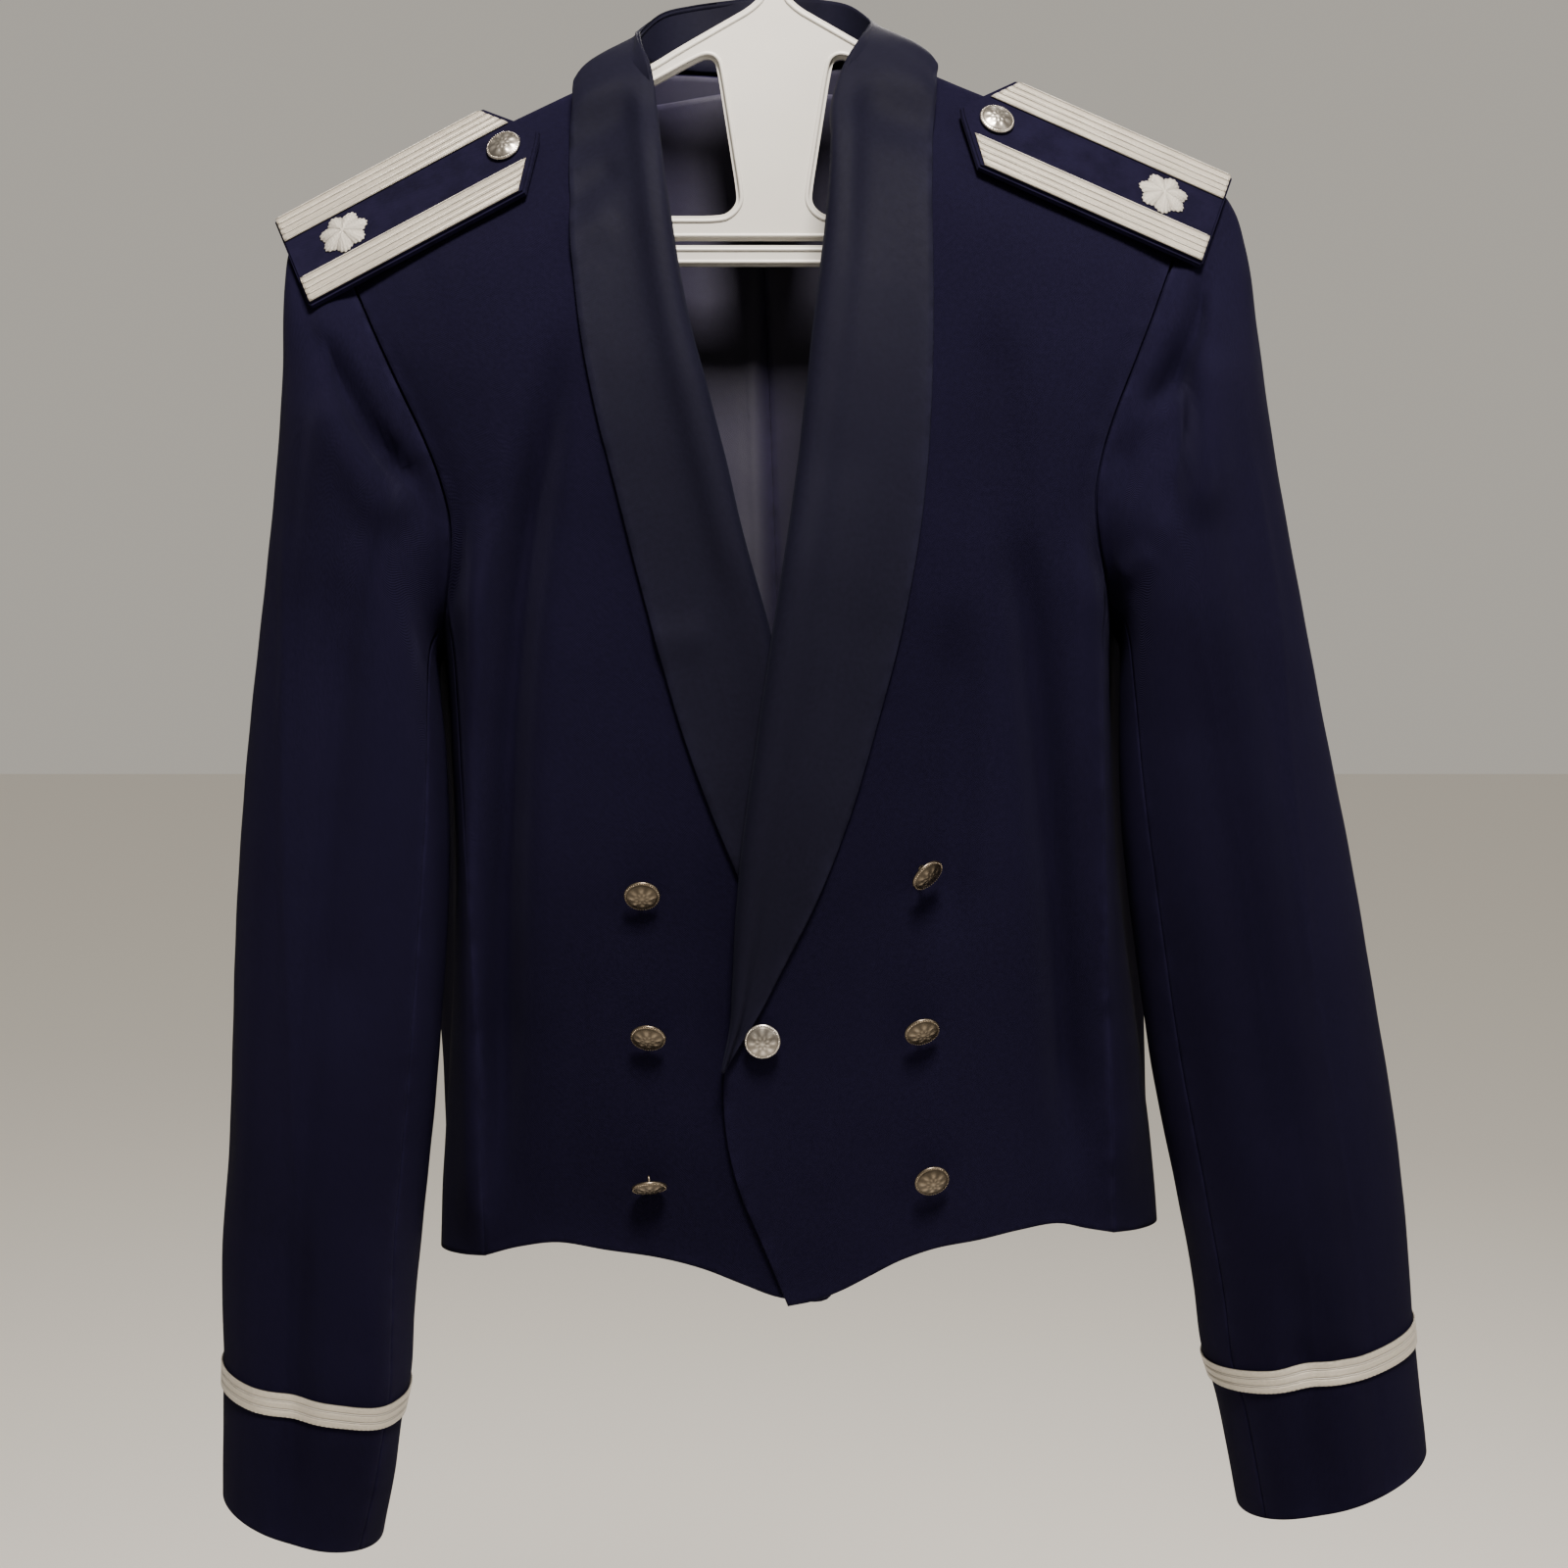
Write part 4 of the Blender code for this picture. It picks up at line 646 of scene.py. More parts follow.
LEFT_CREASES = (
    Crease(((0.223, -0.215), (0.211, -0.248), (0.197, -0.272), (0.179, -0.293)), -0.011, 0.0062),
    Crease(((0.1118, -0.2304), (0.1137, -0.2778), (0.1174, -0.325), (0.1208, -0.4022)), -0.005, 0.011),
    Crease(((0.2032, -0.2475), (0.1972, -0.2982), (0.1913, -0.349)), -0.008, 0.008),
    Crease(((0.22, -0.255), (0.213, -0.3), (0.206, -0.35)), 0.006, 0.01),
    Crease(((0.16, -0.304), (0.1671, -0.3056), (0.176, -0.309)), -0.0038, 0.006),
    Crease(
        (
            (0.2347, -0.307), (0.246, -0.389), (0.2518, -0.4815), (0.2605, -0.5795),
        ),
        0.0015, 0.0034, Facing.FRONT, 0.12,
    ),
    Crease(((0.2012, -0.375), (0.2119, -0.4713), (0.2276, -0.57), (0.2435, -0.6964)), -0.0064, 0.016),
    Crease(
        (
            (0.156, -0.33), (0.16, -0.4741), (0.166, -0.595), (0.171, -0.7081),
        ),
        0.013, 0.0125, Facing.FRONT, 0.15, True,
    ),
    Crease(((0.09, -0.3702), (0.085, -0.4676), (0.078, -0.5663)), -0.0075, 0.012),
    Crease(
        (
            (0.12, -0.33), (0.129, -0.45), (0.136, -0.58), (0.14, -0.69),
        ),
        -0.016, 0.01, Facing.FRONT, 0.22, True,
    ),
    Crease(((0.1049, -0.5682), (0.1111, -0.6188), (0.1168, -0.6905)), -0.0009, 0.0028),
    Crease(((0.24, -0.77), (0.262, -0.775), (0.285, -0.77)), -0.002, 0.01),
    Crease(((0.25, -0.7), (0.258, -0.79), (0.262, -0.88)), -0.0048, 0.012, Facing.FRONT, 0.3),
    Crease(((0.1549, -0.298), (0.1655, -0.301), (0.176, -0.3059)), 0.0018, 0.004),
    Crease(((0.1567, -0.312), (0.1738, -0.32)), 0.0016, 0.0042),
    Crease(((0.176, -0.2467), (0.1879, -0.2519)), 0.0012, 0.0036),
    Crease(((0.1857, -0.3562), (0.1696, -0.3714)), 0.0022, 0.006),
)
# Folds of the unseen side, alike on both sides.
BACK_CREASES = (
    Crease(((0.04, -0.36), (0.046, -0.5), (0.05, -0.66)), -0.0042, 0.018, Facing.BACK),
    Crease(((0.098, -0.3), (0.108, -0.46), (0.116, -0.66)), 0.0051, 0.02, Facing.BACK),
    Crease(((0.15, -0.33), (0.158, -0.48), (0.164, -0.66)), -0.0054, 0.017, Facing.BACK),
    Crease(((0.206, -0.38), (0.222, -0.52), (0.24, -0.66)), -0.0058, 0.016, Facing.BACK),
    Crease(((0.24, -0.33), (0.252, -0.46), (0.262, -0.58)), 0.0035, 0.012, Facing.BACK),
    Crease(((0.262, -0.7), (0.27, -0.78), (0.274, -0.86)), -0.0048, 0.013, Facing.BACK, 0.3),
)
CREASES = {Side.LEFT: LEFT_CREASES + BACK_CREASES, Side.RIGHT: RIGHT_CREASES + BACK_CREASES}
# The pleat down the middle of the lining: a fold on the right half beside the seam's hollow.
PLEAT = {
    Side.LEFT: (Crease(((0.0, -0.12), (0.0, -0.70)), 0.0009, 0.0030, Facing.ALL, 0.02),),
    Side.RIGHT: (
        Crease(((0.0, -0.12), (0.0, -0.7)), 0.0009, 0.0022, Facing.ALL, 0.02),
        Crease(((0.007, -0.12), (0.01, -0.7)), -0.0024, 0.0045, Facing.ALL, 0.02),
    ),
}
# Soft creases across the collar's leaves.
COLLAR_CREASES = {
    Side.LEFT: (
        Crease(((0.058, -0.17), (0.052, -0.28), (0.04, -0.4)), 0.0016, 0.013),
        Crease(((0.084, -0.2), (0.08, -0.3), (0.066, -0.41)), -0.0012, 0.01),
    ),
    Side.RIGHT: (
        Crease(((0.1, -0.182), (0.084, -0.168), (0.068, -0.158)), -0.0022, 0.008),
        Crease(((0.104, -0.206), (0.086, -0.192), (0.07, -0.184)), 0.0018, 0.009),
        Crease(((0.098, -0.285), (0.09, -0.3), (0.078, -0.306)), -0.0014, 0.007),
        Crease(((0.07, -0.395), (0.052, -0.392), (0.03, -0.39)), 0.0016, 0.009),
    ),
}
# How far the halves' edges lie from the middle, and a panel's edge from the seam that joins it to
# the next: below 0 because they are lapped and sewn.
MIDDLE_SEAM = -0.00006
SEWN = -0.00006


def meet_middle(fine: Grid, normals: Grid) -> tuple[Grid, Grid]:
    """Brings a half's last column to the middle seam, square to it.

    Args:
        fine: the half's points, changed in place
        normals: their normals, changed in place
    Returns:
        the points, and their normals of length one
    """
    fine[:, -1, 0] = MIDDLE_SEAM
    normals[:, -1, 0] = 0
    return fine, unit(normals)


def between_marks(at: Grid, marks: Grid, points: Grid) -> Grid:
    """The points of a line read between the marks that its points stand at."""
    return np.stack([np.interp(at, marks, points[:, k]) for k in range(3)], axis=-1)


@dataclass(frozen=True)
class Hanging:
    """How the garment hangs on the hanger: it leans about a point low on the hook."""

    lean: float = LEAN
    pivot_z: float = LEAN_PIVOT_Z
    shift: float = SIDEWAYS_SHIFT

    def place(self, points: Grid) -> Grid:
        """Moves garment points to where they hang.

        Args:
            points: points in the garment's own frame
        Returns:
            the points in the frame of the whole part
        """
        x = points[..., 0] + self.shift
        z = points[..., 2] - self.pivot_z
        turned_x = x * math.cos(self.lean) - z * math.sin(self.lean)
        turned_z = x * math.sin(self.lean) + z * math.cos(self.lean) + self.pivot_z
        return np.stack([turned_x, points[..., 1], turned_z], axis=-1)


@dataclass(frozen=True)
class BodyForm:
    """The form that the body's cloth lies on, for the side of +X."""

    neck_x: float = NECK_X
    neck_z: float = NECK_Z
    slope: float = SHOULDER_SLOPE
    neck_set_back: float = NECK_SET_BACK
    fill: float = CORNER_FILL
    fill_place: float = CORNER_PLACE
    fill_spread: float = CORNER_SPREAD

    def ridge_z(self, x: Grid | float) -> Grid:
        """Height of the shoulder line at this distance from the middle."""
        return self.neck_z - self.slope * (np.abs(x) - self.neck_x)

    def corner(self, around: Grid, z: Grid) -> Grid:
        """How much wider the body is at the corner between its front and side."""
        return self.fill * ease((-0.48 - z) / 0.24) * np.exp(-(((around - self.fill_place) / self.fill_spread) ** 2))

    def bare(self, around: Grid, z: Grid) -> Grid:
        """The body's surface before its folds.

        Args:
            around: places round the body, 0 at the centre front and 1 at the centre back
            z: heights
        Returns:
            the points
        """
        across = smooth(SECTION, "around", "across", around)
        depth = smooth(SECTION, "around", "depth", around)
        x = across * smooth(HALF_WIDTH, "z", "width", z) + self.corner(around, z)
        neck = np.clip(1 - (x / (self.neck_x + 0.002)) ** 2, 0, 1) ** 1.4
        drop = np.clip(self.ridge_z(x) - z, 0, None)
        front = smooth(DEPTH, "drop", "front", drop)
        back = smooth(DEPTH, "drop", "back", drop + self.neck_set_back * neck)
        return np.stack([x, np.where(depth < 0, depth * front, depth * back), z + 0 * x], axis=-1)

    def normal(self, around: Grid, z: Grid) -> Grid:
        """Outward normals of the body's surface.

        Args:
            around: places round the body
            z: heights
        Returns:
            a unit normal for each
        """
        along = self.bare(np.clip(around + 0.004, 0, 1), z) - self.bare(np.clip(around - 0.004, 0, 1), z)
        return unit(np.cross(along, self.bare(around, z + 0.002) - self.bare(around, z - 0.002)))

    def fold(self, around: Grid, z: Grid) -> Grid:
        """How far the long soft folds move the cloth out or in.

        Args:
            around: places round the body
            z: heights
        Returns:
            the heights of the folds, in metres
        """
        grow = ease((FOLD_TOP_Z - z) / (FOLD_TOP_Z - FOLD_FULL_Z))
        rows = zip(FOLDS["around"], FOLDS["width"], FOLDS["height"])
        return sum(height * grow * np.exp(-(((around - place) / width) ** 2)) for place, width, height in rows)

    def surface(self, around: Grid, z: Grid, out: Grid | float = 0.0) -> Grid:
        """Points of the body cloth's outside.

        Args:
            around: places round the body
            z: heights
            out: how far each is moved out from the cloth
        Returns:
            the points
        """
        around, z = np.asarray(around, float), np.asarray(z, float)
        push = np.asarray(out + self.fold(around, z))
        return self.bare(around, z) + self.normal(around, z) * push[..., None]

    def around_of(self, x: Grid | float, z: Grid | float, back: bool = False) -> Grid:
        """The place round the body of points this far from the middle.

        Args:
            x: distances from the middle
            z: heights
            back: whether they are on the back
        Returns:
            the places round the body
        """
        places = np.linspace(0.73, 1.0, 400) if back else np.linspace(0.0, 0.73, 400)
        share = smooth(SECTION, "around", "across", places)
        width = smooth(HALF_WIDTH, "z", "width", z)
        if back:
            return np.interp(np.asarray(x) / width, share[::-1], places[::-1])
        found = np.interp(np.asarray(x) / width, share, places)
        for _ in range(30):
            aim = np.interp((np.asarray(x) - self.corner(found, z)) / width, share, places)
            found = 0.5 * (found + aim)
        return found

    def on_front(self, x: Grid | float, z: Grid | float, out: Grid | float) -> Grid:
        """Points on the front, also a little past the middle.

        Args:
            x: distances from the middle, below 0 past it
            z: heights
            out: how far each is moved out from the cloth
        Returns:
            the points
        """
        x = np.asarray(x, float)
        points = self.surface(self.around_of(np.abs(x), z), z, out)
        points[..., 0] = np.where(x < 0, -points[..., 0], points[..., 0])
        return points

    def overlap_lift(self, x: Grid | float, z: Grid | float) -> Grid:
        """How far the over-lapping front stands off the one below it.

        Args:
            x: distances from the middle
            z: heights
        Returns:
            the lift in metres
        """
        return smooth(OVERLAP_LIFT, "z", "lift", z) * (1 - ease((x - OVERLAP_FLAT_X) / OVERLAP_FADE))

    def armhole_line(self, tab: Table, back: bool) -> Grid:
        """The armhole's front or back from its foot to the shoulder tip.

        Args:
            tab: the armhole's distances from the middle by height
            back: whether it is the back's
        Returns:
            (around, z) pairs
        """
        x = np.append(tab["x"], SHOULDER_TIP_X)
        z = np.append(tab["z"], self.ridge_z(SHOULDER_TIP_X) - SEAM_GAP)
        x[0] = self.bare(np.array(BACK_SEAM if back else FRONT_SEAM), z[0])[0]
        heights = np.interp(np.linspace(0, 1, 25), np.linspace(0, 1, len(z)), z)
        line = smooth({"z": z, "x": x}, "z", "x", heights)
        return np.stack([self.around_of(line, heights, back), heights], axis=-1)

    def beside_arm(self, hem_z: float, place: float, tab: Table, back: bool, rows: int) -> tuple[Grid, Grid]:
        """The edge up the side seam and round the armhole to the shoulder tip.

        Args:
            hem_z: the height of the seam's foot
            place: the seam's place round the body
            tab: the armhole's table
            back: whether it is the back's edge
            rows: how many points the armhole gets
        Returns:
            the edge's (around, z) pairs, and the share of its length at each
        """
        armhole = self.armhole_line(tab, back)
        seam_z = np.linspace(hem_z, armhole[0, 1], SEAM_ROWS)
        seam = np.stack([np.full(SEAM_ROWS, place), seam_z], axis=-1)
        upper = resample(armhole, 1 - (1 - np.linspace(0, 1, rows)) ** 1.1)
        edge = np.concatenate([seam, upper[1:]])
        length = np.linalg.norm(np.diff(edge * np.array([HALF_GIRTH, 1.0]), axis=0), axis=1)
        shares = np.concatenate([[0], np.cumsum(length)])
        return edge, shares / shares[-1]

    def front_edge(self, side: Side) -> Grid:
        """The front panel's free edge from hem to neck, just outside the lapel's fold.

        Args:
            side: whose front
        Returns:
            (x, z) pairs
        """
        if side.over:
            line = list(zip(EDGE_OVER["x"], EDGE_OVER["z"]))
            heights = np.linspace(-0.590, -0.20, 12)
            upper = [(0.047, -0.165), (0.056, -0.136)]
        else:
            line = [(EDGE_UNDER_X, z) for z in (-0.716, -0.66, -0.60, -0.55)] + [(-0.019, -0.51)]
            heights = np.linspace(-0.48, -0.20, 9)
            upper = [(0.0530, -0.165), (0.0590, -0.136)]
        roll = ROLL_OVER if side.over else ROLL_UNDER
        line += [(float(falling(roll, "x", z)) + 0.005, z) for z in heights]
        return np.array(line + upper + [(0.0655, -0.117), (NECK_X, NECK_Z - 0.0005)])

    def front_points(self, side: Side, out: float = 0.0) -> Grid:
        """The front panel's outer points from its free edge to the side seam and armhole.

        Args:
            side: whose front
            out: how far they are moved out from the cloth
        Returns:
            the grid, hem row first
        """
        edge, rows = self.beside_arm(SIDE_HEM["z"][0], FRONT_SEAM, ARMHOLE_FRONT, False, 11)
        right = np.stack([self.bare(edge[:, 0], edge[:, 1])[:, 0], edge[:, 1]], axis=-1)
        left = resample(self.front_edge(side), rows)
        hem_x = np.linspace(left[0, 0], right[0, 0], 24)
        hem = np.stack([hem_x, smooth(FRONT_HEM, "x", "z", hem_x)], axis=-1)
        hem[0], hem[-1] = left[0], right[0]
        top_x = np.linspace(left[-1, 0], right[-1, 0], 12)
        top = np.stack([top_x, self.ridge_z(top_x) - SEAM_GAP], axis=-1)
        columns = np.array([0, 0.07, 0.16, 0.26, 0.37, 0.48, 0.59, 0.70, 0.80, 0.90, 1.0])
        grid = patch(hem, top, left, right, columns, rows)
        x, z = grid[..., 0], grid[..., 1]
        return self.on_front(x, z, out + (self.overlap_lift(x, z) if side.over else 0.0))

    def side_places(self) -> Grid:
        """(around, z) places of the under-arm panel, hem row first.

        Returns:
            the grid
        """
        around = np.linspace(FRONT_SEAM, BACK_SEAM, 9)
        top = np.stack([around, smooth(ARMPIT, "around", "z", around)], axis=-1)
        bottom = np.stack([around, smooth(SIDE_HEM, "around", "z", around)], axis=-1)
        rows = np.linspace(0, 1, SEAM_ROWS)
        left = bottom[0] + (top[0] - bottom[0]) * rows[:, None]
        right = bottom[-1] + (top[-1] - bottom[-1]) * rows[:, None]
        return patch(bottom, top, left, right, np.linspace(0, 1, 9), rows)

    def back_places(self, hem_rise: float = 0.0, shoulder_drop: float = SEAM_GAP) -> Grid:
        """(around, z) places of a back half, from the side seam and armhole to the middle.

        Args:
            hem_rise: how far its hem is raised
            shoulder_drop: how far its top lies below the shoulder line
        Returns:
            the grid, hem row first
        """
        side_hem = SIDE_HEM["z"][-1] + hem_rise
        left, rows = self.beside_arm(side_hem, BACK_SEAM, ARMHOLE_BACK, True, 8)
        middle = 0.9995
        right = resample(np.array([(middle, BACK_HEM_Z + hem_rise), (middle, BACK_NECK_Z)]), rows)
        share = np.linspace(0, 1, 12)
        bottom_z = side_hem + (BACK_HEM_Z + hem_rise - side_hem) * ease(share)
        bottom = np.stack([BACK_SEAM + (middle - BACK_SEAM) * share, bottom_z], axis=-1)
        shoulder_x = np.linspace(SHOULDER_TIP_X, NECK_X, 8)
        neck_x = np.array([0.066, 0.055, 0.040, 0.020, 0.0])
        neck_z = np.array([-0.1065, -0.1055, -0.1065, -0.1075, BACK_NECK_Z])
        neck_z = neck_z - (shoulder_drop - SEAM_GAP) * (neck_x / NECK_X)
        top_x = np.concatenate([shoulder_x, neck_x])
        top_z = np.concatenate([self.ridge_z(shoulder_x) - shoulder_drop, neck_z])
        top = np.stack([self.around_of(top_x, top_z, back=True), top_z], axis=-1)
        top[0], top[-1] = left[-1], right[-1]
        columns = np.array([0, 0.14, 0.28, 0.42, 0.56, 0.66, 0.76, 0.88, 1.0])
        return patch(bottom, top, left, right, columns, rows)

    def armhole_ring(self) -> Grid:
        """The armhole's points from the shoulder tip down the front, under the arm and up the back.

        Returns:
            the points in order
        """
        front = self.front_points(Side.RIGHT)[SEAM_ROWS:, -1][::-1]
        low = self.side_places()[-1]
        back = self.back_places()[SEAM_ROWS:, 0]
        return np.concatenate([front, self.surface(low[:, 0], low[:, 1]), self.surface(back[:, 0], back[:, 1])[:-1]])


class Graph:
    """Places the nodes of one node tree and joins them."""

    def __init__(self, tree: bpy.types.NodeTree) -> None:
        """Starts on a tree, cleared."""
        self.tree = tree
        tree.nodes.clear()

    def node(self, kind: str, feeds: dict | None = None, **settings: object) -> bpy.types.Node:
        """Adds a node.

        Args:
            kind: the node's type
            feeds: what goes into its sockets, by name or number
            settings: its own settings
        Returns:
            the node
        """
        made = self.tree.nodes.new(kind)
        for name, value in settings.items():
            setattr(made, name, value)
        self.feed(made, feeds or {})
        return made

    def feed(self, node: bpy.types.Node, feeds: dict) -> None:
        """Joins a node's sockets to others, or sets their values.

        Args:
            node: the node that is fed
            feeds: an output socket or a plain value for each of its inputs, by name or number
        """
        for name, value in feeds.items():
            if isinstance(value, bpy.types.NodeSocket):
                self.tree.links.new(value, node.inputs[name])
            else:
                node.inputs[name].default_value = value

    def math(self, operation: str, *values: object, clamp: bool = False) -> bpy.types.NodeSocket:
        """The result of a Math node on these values."""
        return self.node("ShaderNodeMath", dict(enumerate(values)), operation=operation, use_clamp=clamp).outputs[0]

    def waves(self, at: object, count: object) -> bpy.types.NodeSocket:
        """A sine with this many waves a metre."""
        return self.math("SINE", self.math("MULTIPLY", self.math("MULTIPLY", at, count), 2 * math.pi))

    def mix(self, share: object, low: object, high: object) -> bpy.types.NodeSocket:
        """Two colours mixed, with this share of the second."""
        return self.node("ShaderNodeMix", {0: share, 6: low, 7: high}, data_type="RGBA").outputs[2]

    def noise(self, place: object, scale: object, detail: float) -> bpy.types.NodeSocket:
        """Noise at the places."""
        return self.node("ShaderNodeTexNoise", {"Vector": place, "Scale": scale, "Detail": detail}).outputs[0]

    def between(self, value: object, low: float, high: float) -> bpy.types.NodeSocket:
        """How far a value lies from low to high, as a share."""
        return self.node("ShaderNodeMapRange", {0: value, 1: low, 2: high}).outputs[0]

    def attribute(self, name: str) -> bpy.types.NodeSocket:
        """The mesh's own value of this name."""
        return self.node("ShaderNodeAttribute", attribute_name=name).outputs["Fac"]

    def bump(self, strength: float, distance: float, height: object) -> bpy.types.NodeSocket:
        """The normals of a surface with this height."""
        return self.node("ShaderNodeBump", {"Strength": strength, "Distance": distance, "Height": height}).outputs[0]

    def group(self, tree: bpy.types.NodeTree, **feeds: object) -> Sockets:
        """The outputs of a node group, fed by name with _ for each space."""
        named = {name.replace("_", " "): value for name, value in feeds.items()}
        return self.node("ShaderNodeGroup", named, node_tree=tree).outputs


FLOAT = "NodeSocketFloat"
VECTOR = "NodeSocketVector"
GEOMETRY = "NodeSocketGeometry"


def new_group(
    kind: str, name: str, inputs: dict[str, str | float], outputs: dict[str, str]
) -> tuple[Graph, Sockets, bpy.types.Node]:
    """Starts a node group.

    Args:
        kind: its tree's type
        name: its name
        inputs: each input's socket type, or a plain number's default, by name
        outputs: each output's socket type, by name
    Returns:
        the graph, what its input node gives, and its output node
    """
    tree = bpy.data.node_groups.new(name, kind)
    for title, value in inputs.items():
        if isinstance(value, str):
            tree.interface.new_socket(title, in_out="INPUT", socket_type=value)
        else:
            tree.interface.new_socket(title, in_out="INPUT", socket_type=FLOAT).default_value = value
    for title, value in outputs.items():
        tree.interface.new_socket(title, in_out="OUTPUT", socket_type=value)
    graph = Graph(tree)
    return graph, graph.node("NodeGroupInput").outputs, graph.node("NodeGroupOutput")


class Effects:
    """The shader groups that the finishes share, each built once."""

    def __init__(self) -> None:
        """Builds all of them."""
        self.twill = self._twill()
        self.mottle = self._mottle()
        self.braid = self._braid()
        self.worn = self._worn()

    @staticmethod
    def _start(name: str, inputs: dict[str, float], *outputs: str) -> tuple[Graph, Sockets, bpy.types.Node]:
        """A shader group that reads places and numbers and gives numbers."""
        return new_group("ShaderNodeTree", name, {"Place": VECTOR, **inputs}, dict.fromkeys(outputs, FLOAT))

    def _twill(self) -> bpy.types.NodeTree:
        """Slanting ribs of a weave crossed by its yarns, on cloth places in metres.

        Returns:
            the group's tree
        """
        inputs = {"Ribs per metre": 1400.0, "Slant": 1.6, "Crossing": 0.35}
        graph, start, end = self._start("twill_weave", inputs, "Height", "Shade")
        place = graph.node("ShaderNodeSeparateXYZ", {0: start["Place"]}).outputs
        across = graph.math("MULTIPLY", place[0], start["Ribs per metre"])
        along = graph.math("MULTIPLY", place[1], start["Ribs per metre"])
        rib = graph.waves(graph.math("MULTIPLY_ADD", along, start["Slant"], across), 1.0)
        yarn = graph.waves(graph.math("SUBTRACT", along, across), 0.5)
        crossed = graph.math("MULTIPLY_ADD", yarn, start["Crossing"], rib)
        slub = graph.noise(start["Place"], 420.0, 2.0)
        height = graph.math("MULTIPLY_ADD", slub, 0.9, graph.math("MULTIPLY", crossed, 0.5))
        graph.feed(end, {"Height": height, "Shade": graph.math("MULTIPLY_ADD", crossed, 0.30, slub, clamp=True)})
        return graph.tree

    def _mottle(self) -> bpy.types.NodeTree:
        """Slow and quick change over a surface, between 0 and 1.

        Returns:
            the group's tree
        """
        graph, start, end = self._start("soft_mottle", {"Scale": 9.0, "Fine scale": 160.0}, "Slow", "Fine")
        slow = graph.noise(start["Place"], start["Scale"], 3.0)
        fine = graph.noise(start["Place"], start["Fine scale"], 4.0)
        graph.feed(end, {"Slow": graph.between(slow, 0.3, 0.7), "Fine": fine})
        return graph.tree

    def _braid(self) -> bpy.types.NodeTree:
        """Herringbone threads along a braid, with places in metres across and along it.

        Returns:
            the group's tree
        """
        inputs = {"Threads per metre": 1100.0, "Band width": 0.0022}
        graph, start, end = self._start("braid_threads", inputs, "Height", "Shade")
        place = graph.node("ShaderNodeSeparateXYZ", {0: start["Place"]}).outputs
        band = graph.math("PINGPONG", place[0], start["Band width"])
        thread = graph.waves(graph.math("MULTIPLY_ADD", band, 0.8, place[1]), start["Threads per metre"])
        crowd = graph.waves(place[0], start["Threads per metre"])
        grit = graph.noise(start["Place"], 700.0, 2.0)
        height = graph.math("MULTIPLY_ADD", crowd, 0.25, graph.math("MULTIPLY_ADD", thread, 0.5, grit))
        graph.feed(end, {"Height": height, "Shade": graph.math("MULTIPLY_ADD", thread, 0.25, grit, clamp=True)})
        return graph.tree

    def _worn(self) -> bpy.types.NodeTree:
        """Wear that follows a mask along edges, broken up so that it comes and goes.

        Returns:
            the group's tree
        """
        graph, start, end = self._start("edge_wear", {"Mask": 0.0, "Amount": 0.5}, "Wear")
        broken = graph.between(graph.noise(start["Place"], 90.0, 3.0), 0.35, 0.65)
        masked = graph.math("MULTIPLY", start["Mask"], broken)
        graph.feed(end, {"Wear": graph.math("MULTIPLY", masked, start["Amount"], clamp=True)})
        return graph.tree


@dataclass(frozen=True)
class Finish:
    """What every finish has: a name and a colour, in linear red, green and blue."""

    name: str
    colour: Colour

    def shade(self, factor: float) -> tuple[float, float, float, float]:
        """The colour made lighter or darker, with full alpha."""
        return (*[min(1.0, part * factor) for part in self.colour], 1.0)

    def start(self) -> tuple[bpy.types.Material, Graph, bpy.types.Node, Sockets]:
        """Starts the material.

        Returns:
            the material, its graph, the Principled node and the places that its patterns read
        """
        made = bpy.data.materials.new(self.name)
        made.use_nodes = True
        made.diffuse_color = (*self.colour, 1.0)
        graph = Graph(made.node_tree)
        shader = graph.node("ShaderNodeBsdfPrincipled")
        graph.node("ShaderNodeOutputMaterial", {0: shader.outputs[0]})
        return made, graph, shader, graph.node("ShaderNodeTexCoord").outputs


@dataclass(frozen=True)
class WovenCloth(Finish):
    """A woven cloth: wool twill, satin or lining, by its values."""

    roughness: float
    ribs: float
    slant: float
    crossing: float
    relief: float
    sheen: float
    sheen_colour: Colour
    specular: float = 0.4
    contrast: float = 0.45

    def material(self, effects: Effects) -> bpy.types.Material:
        """The cloth's material.

        Args:
            effects: the shared shader groups
        Returns:
            the material
        """
        made, graph, shader, places = self.start()
        weave = graph.group(
            effects.twill, Place=places["UV"], Ribs_per_metre=self.ribs, Slant=self.slant, Crossing=self.crossing
        )
        mottle = graph.group(effects.mottle, Place=places["Object"], Scale=7.0, Fine_scale=210.0)
        edge = graph.attribute("edge")
        worn = graph.group(effects.worn, Mask=edge, Place=places["Object"], Amount=0.55)["Wear"]
        share = graph.math("MULTIPLY_ADD", mottle["Slow"], 0.35, graph.math("MULTIPLY", weave["Shade"], 0.65))
        base = graph.mix(share, self.shade(1 - self.contrast), self.shade(1 + self.contrast))
        rough = graph.math("MULTIPLY_ADD", mottle["Fine"], 0.12, self.roughness - 0.06)
        nap = graph.math("MULTIPLY_ADD", mottle["Fine"], 0.8, weave["Height"])
        feeds = {
            "Base Color": graph.mix(graph.math("MULTIPLY", worn, 0.5), base, self.shade(3.2)),
            "Roughness": graph.math("SUBTRACT", rough, graph.math("MULTIPLY", worn, 0.12)),
            "Normal": graph.bump(self.relief, 0.0004, nap),
            "Sheen Weight": self.sheen,
            "Sheen Roughness": 0.45,
            "Sheen Tint": (*self.sheen_colour, 1.0),
            "Specular IOR Level": self.specular,
        }
        graph.feed(shader, feeds)
        return made


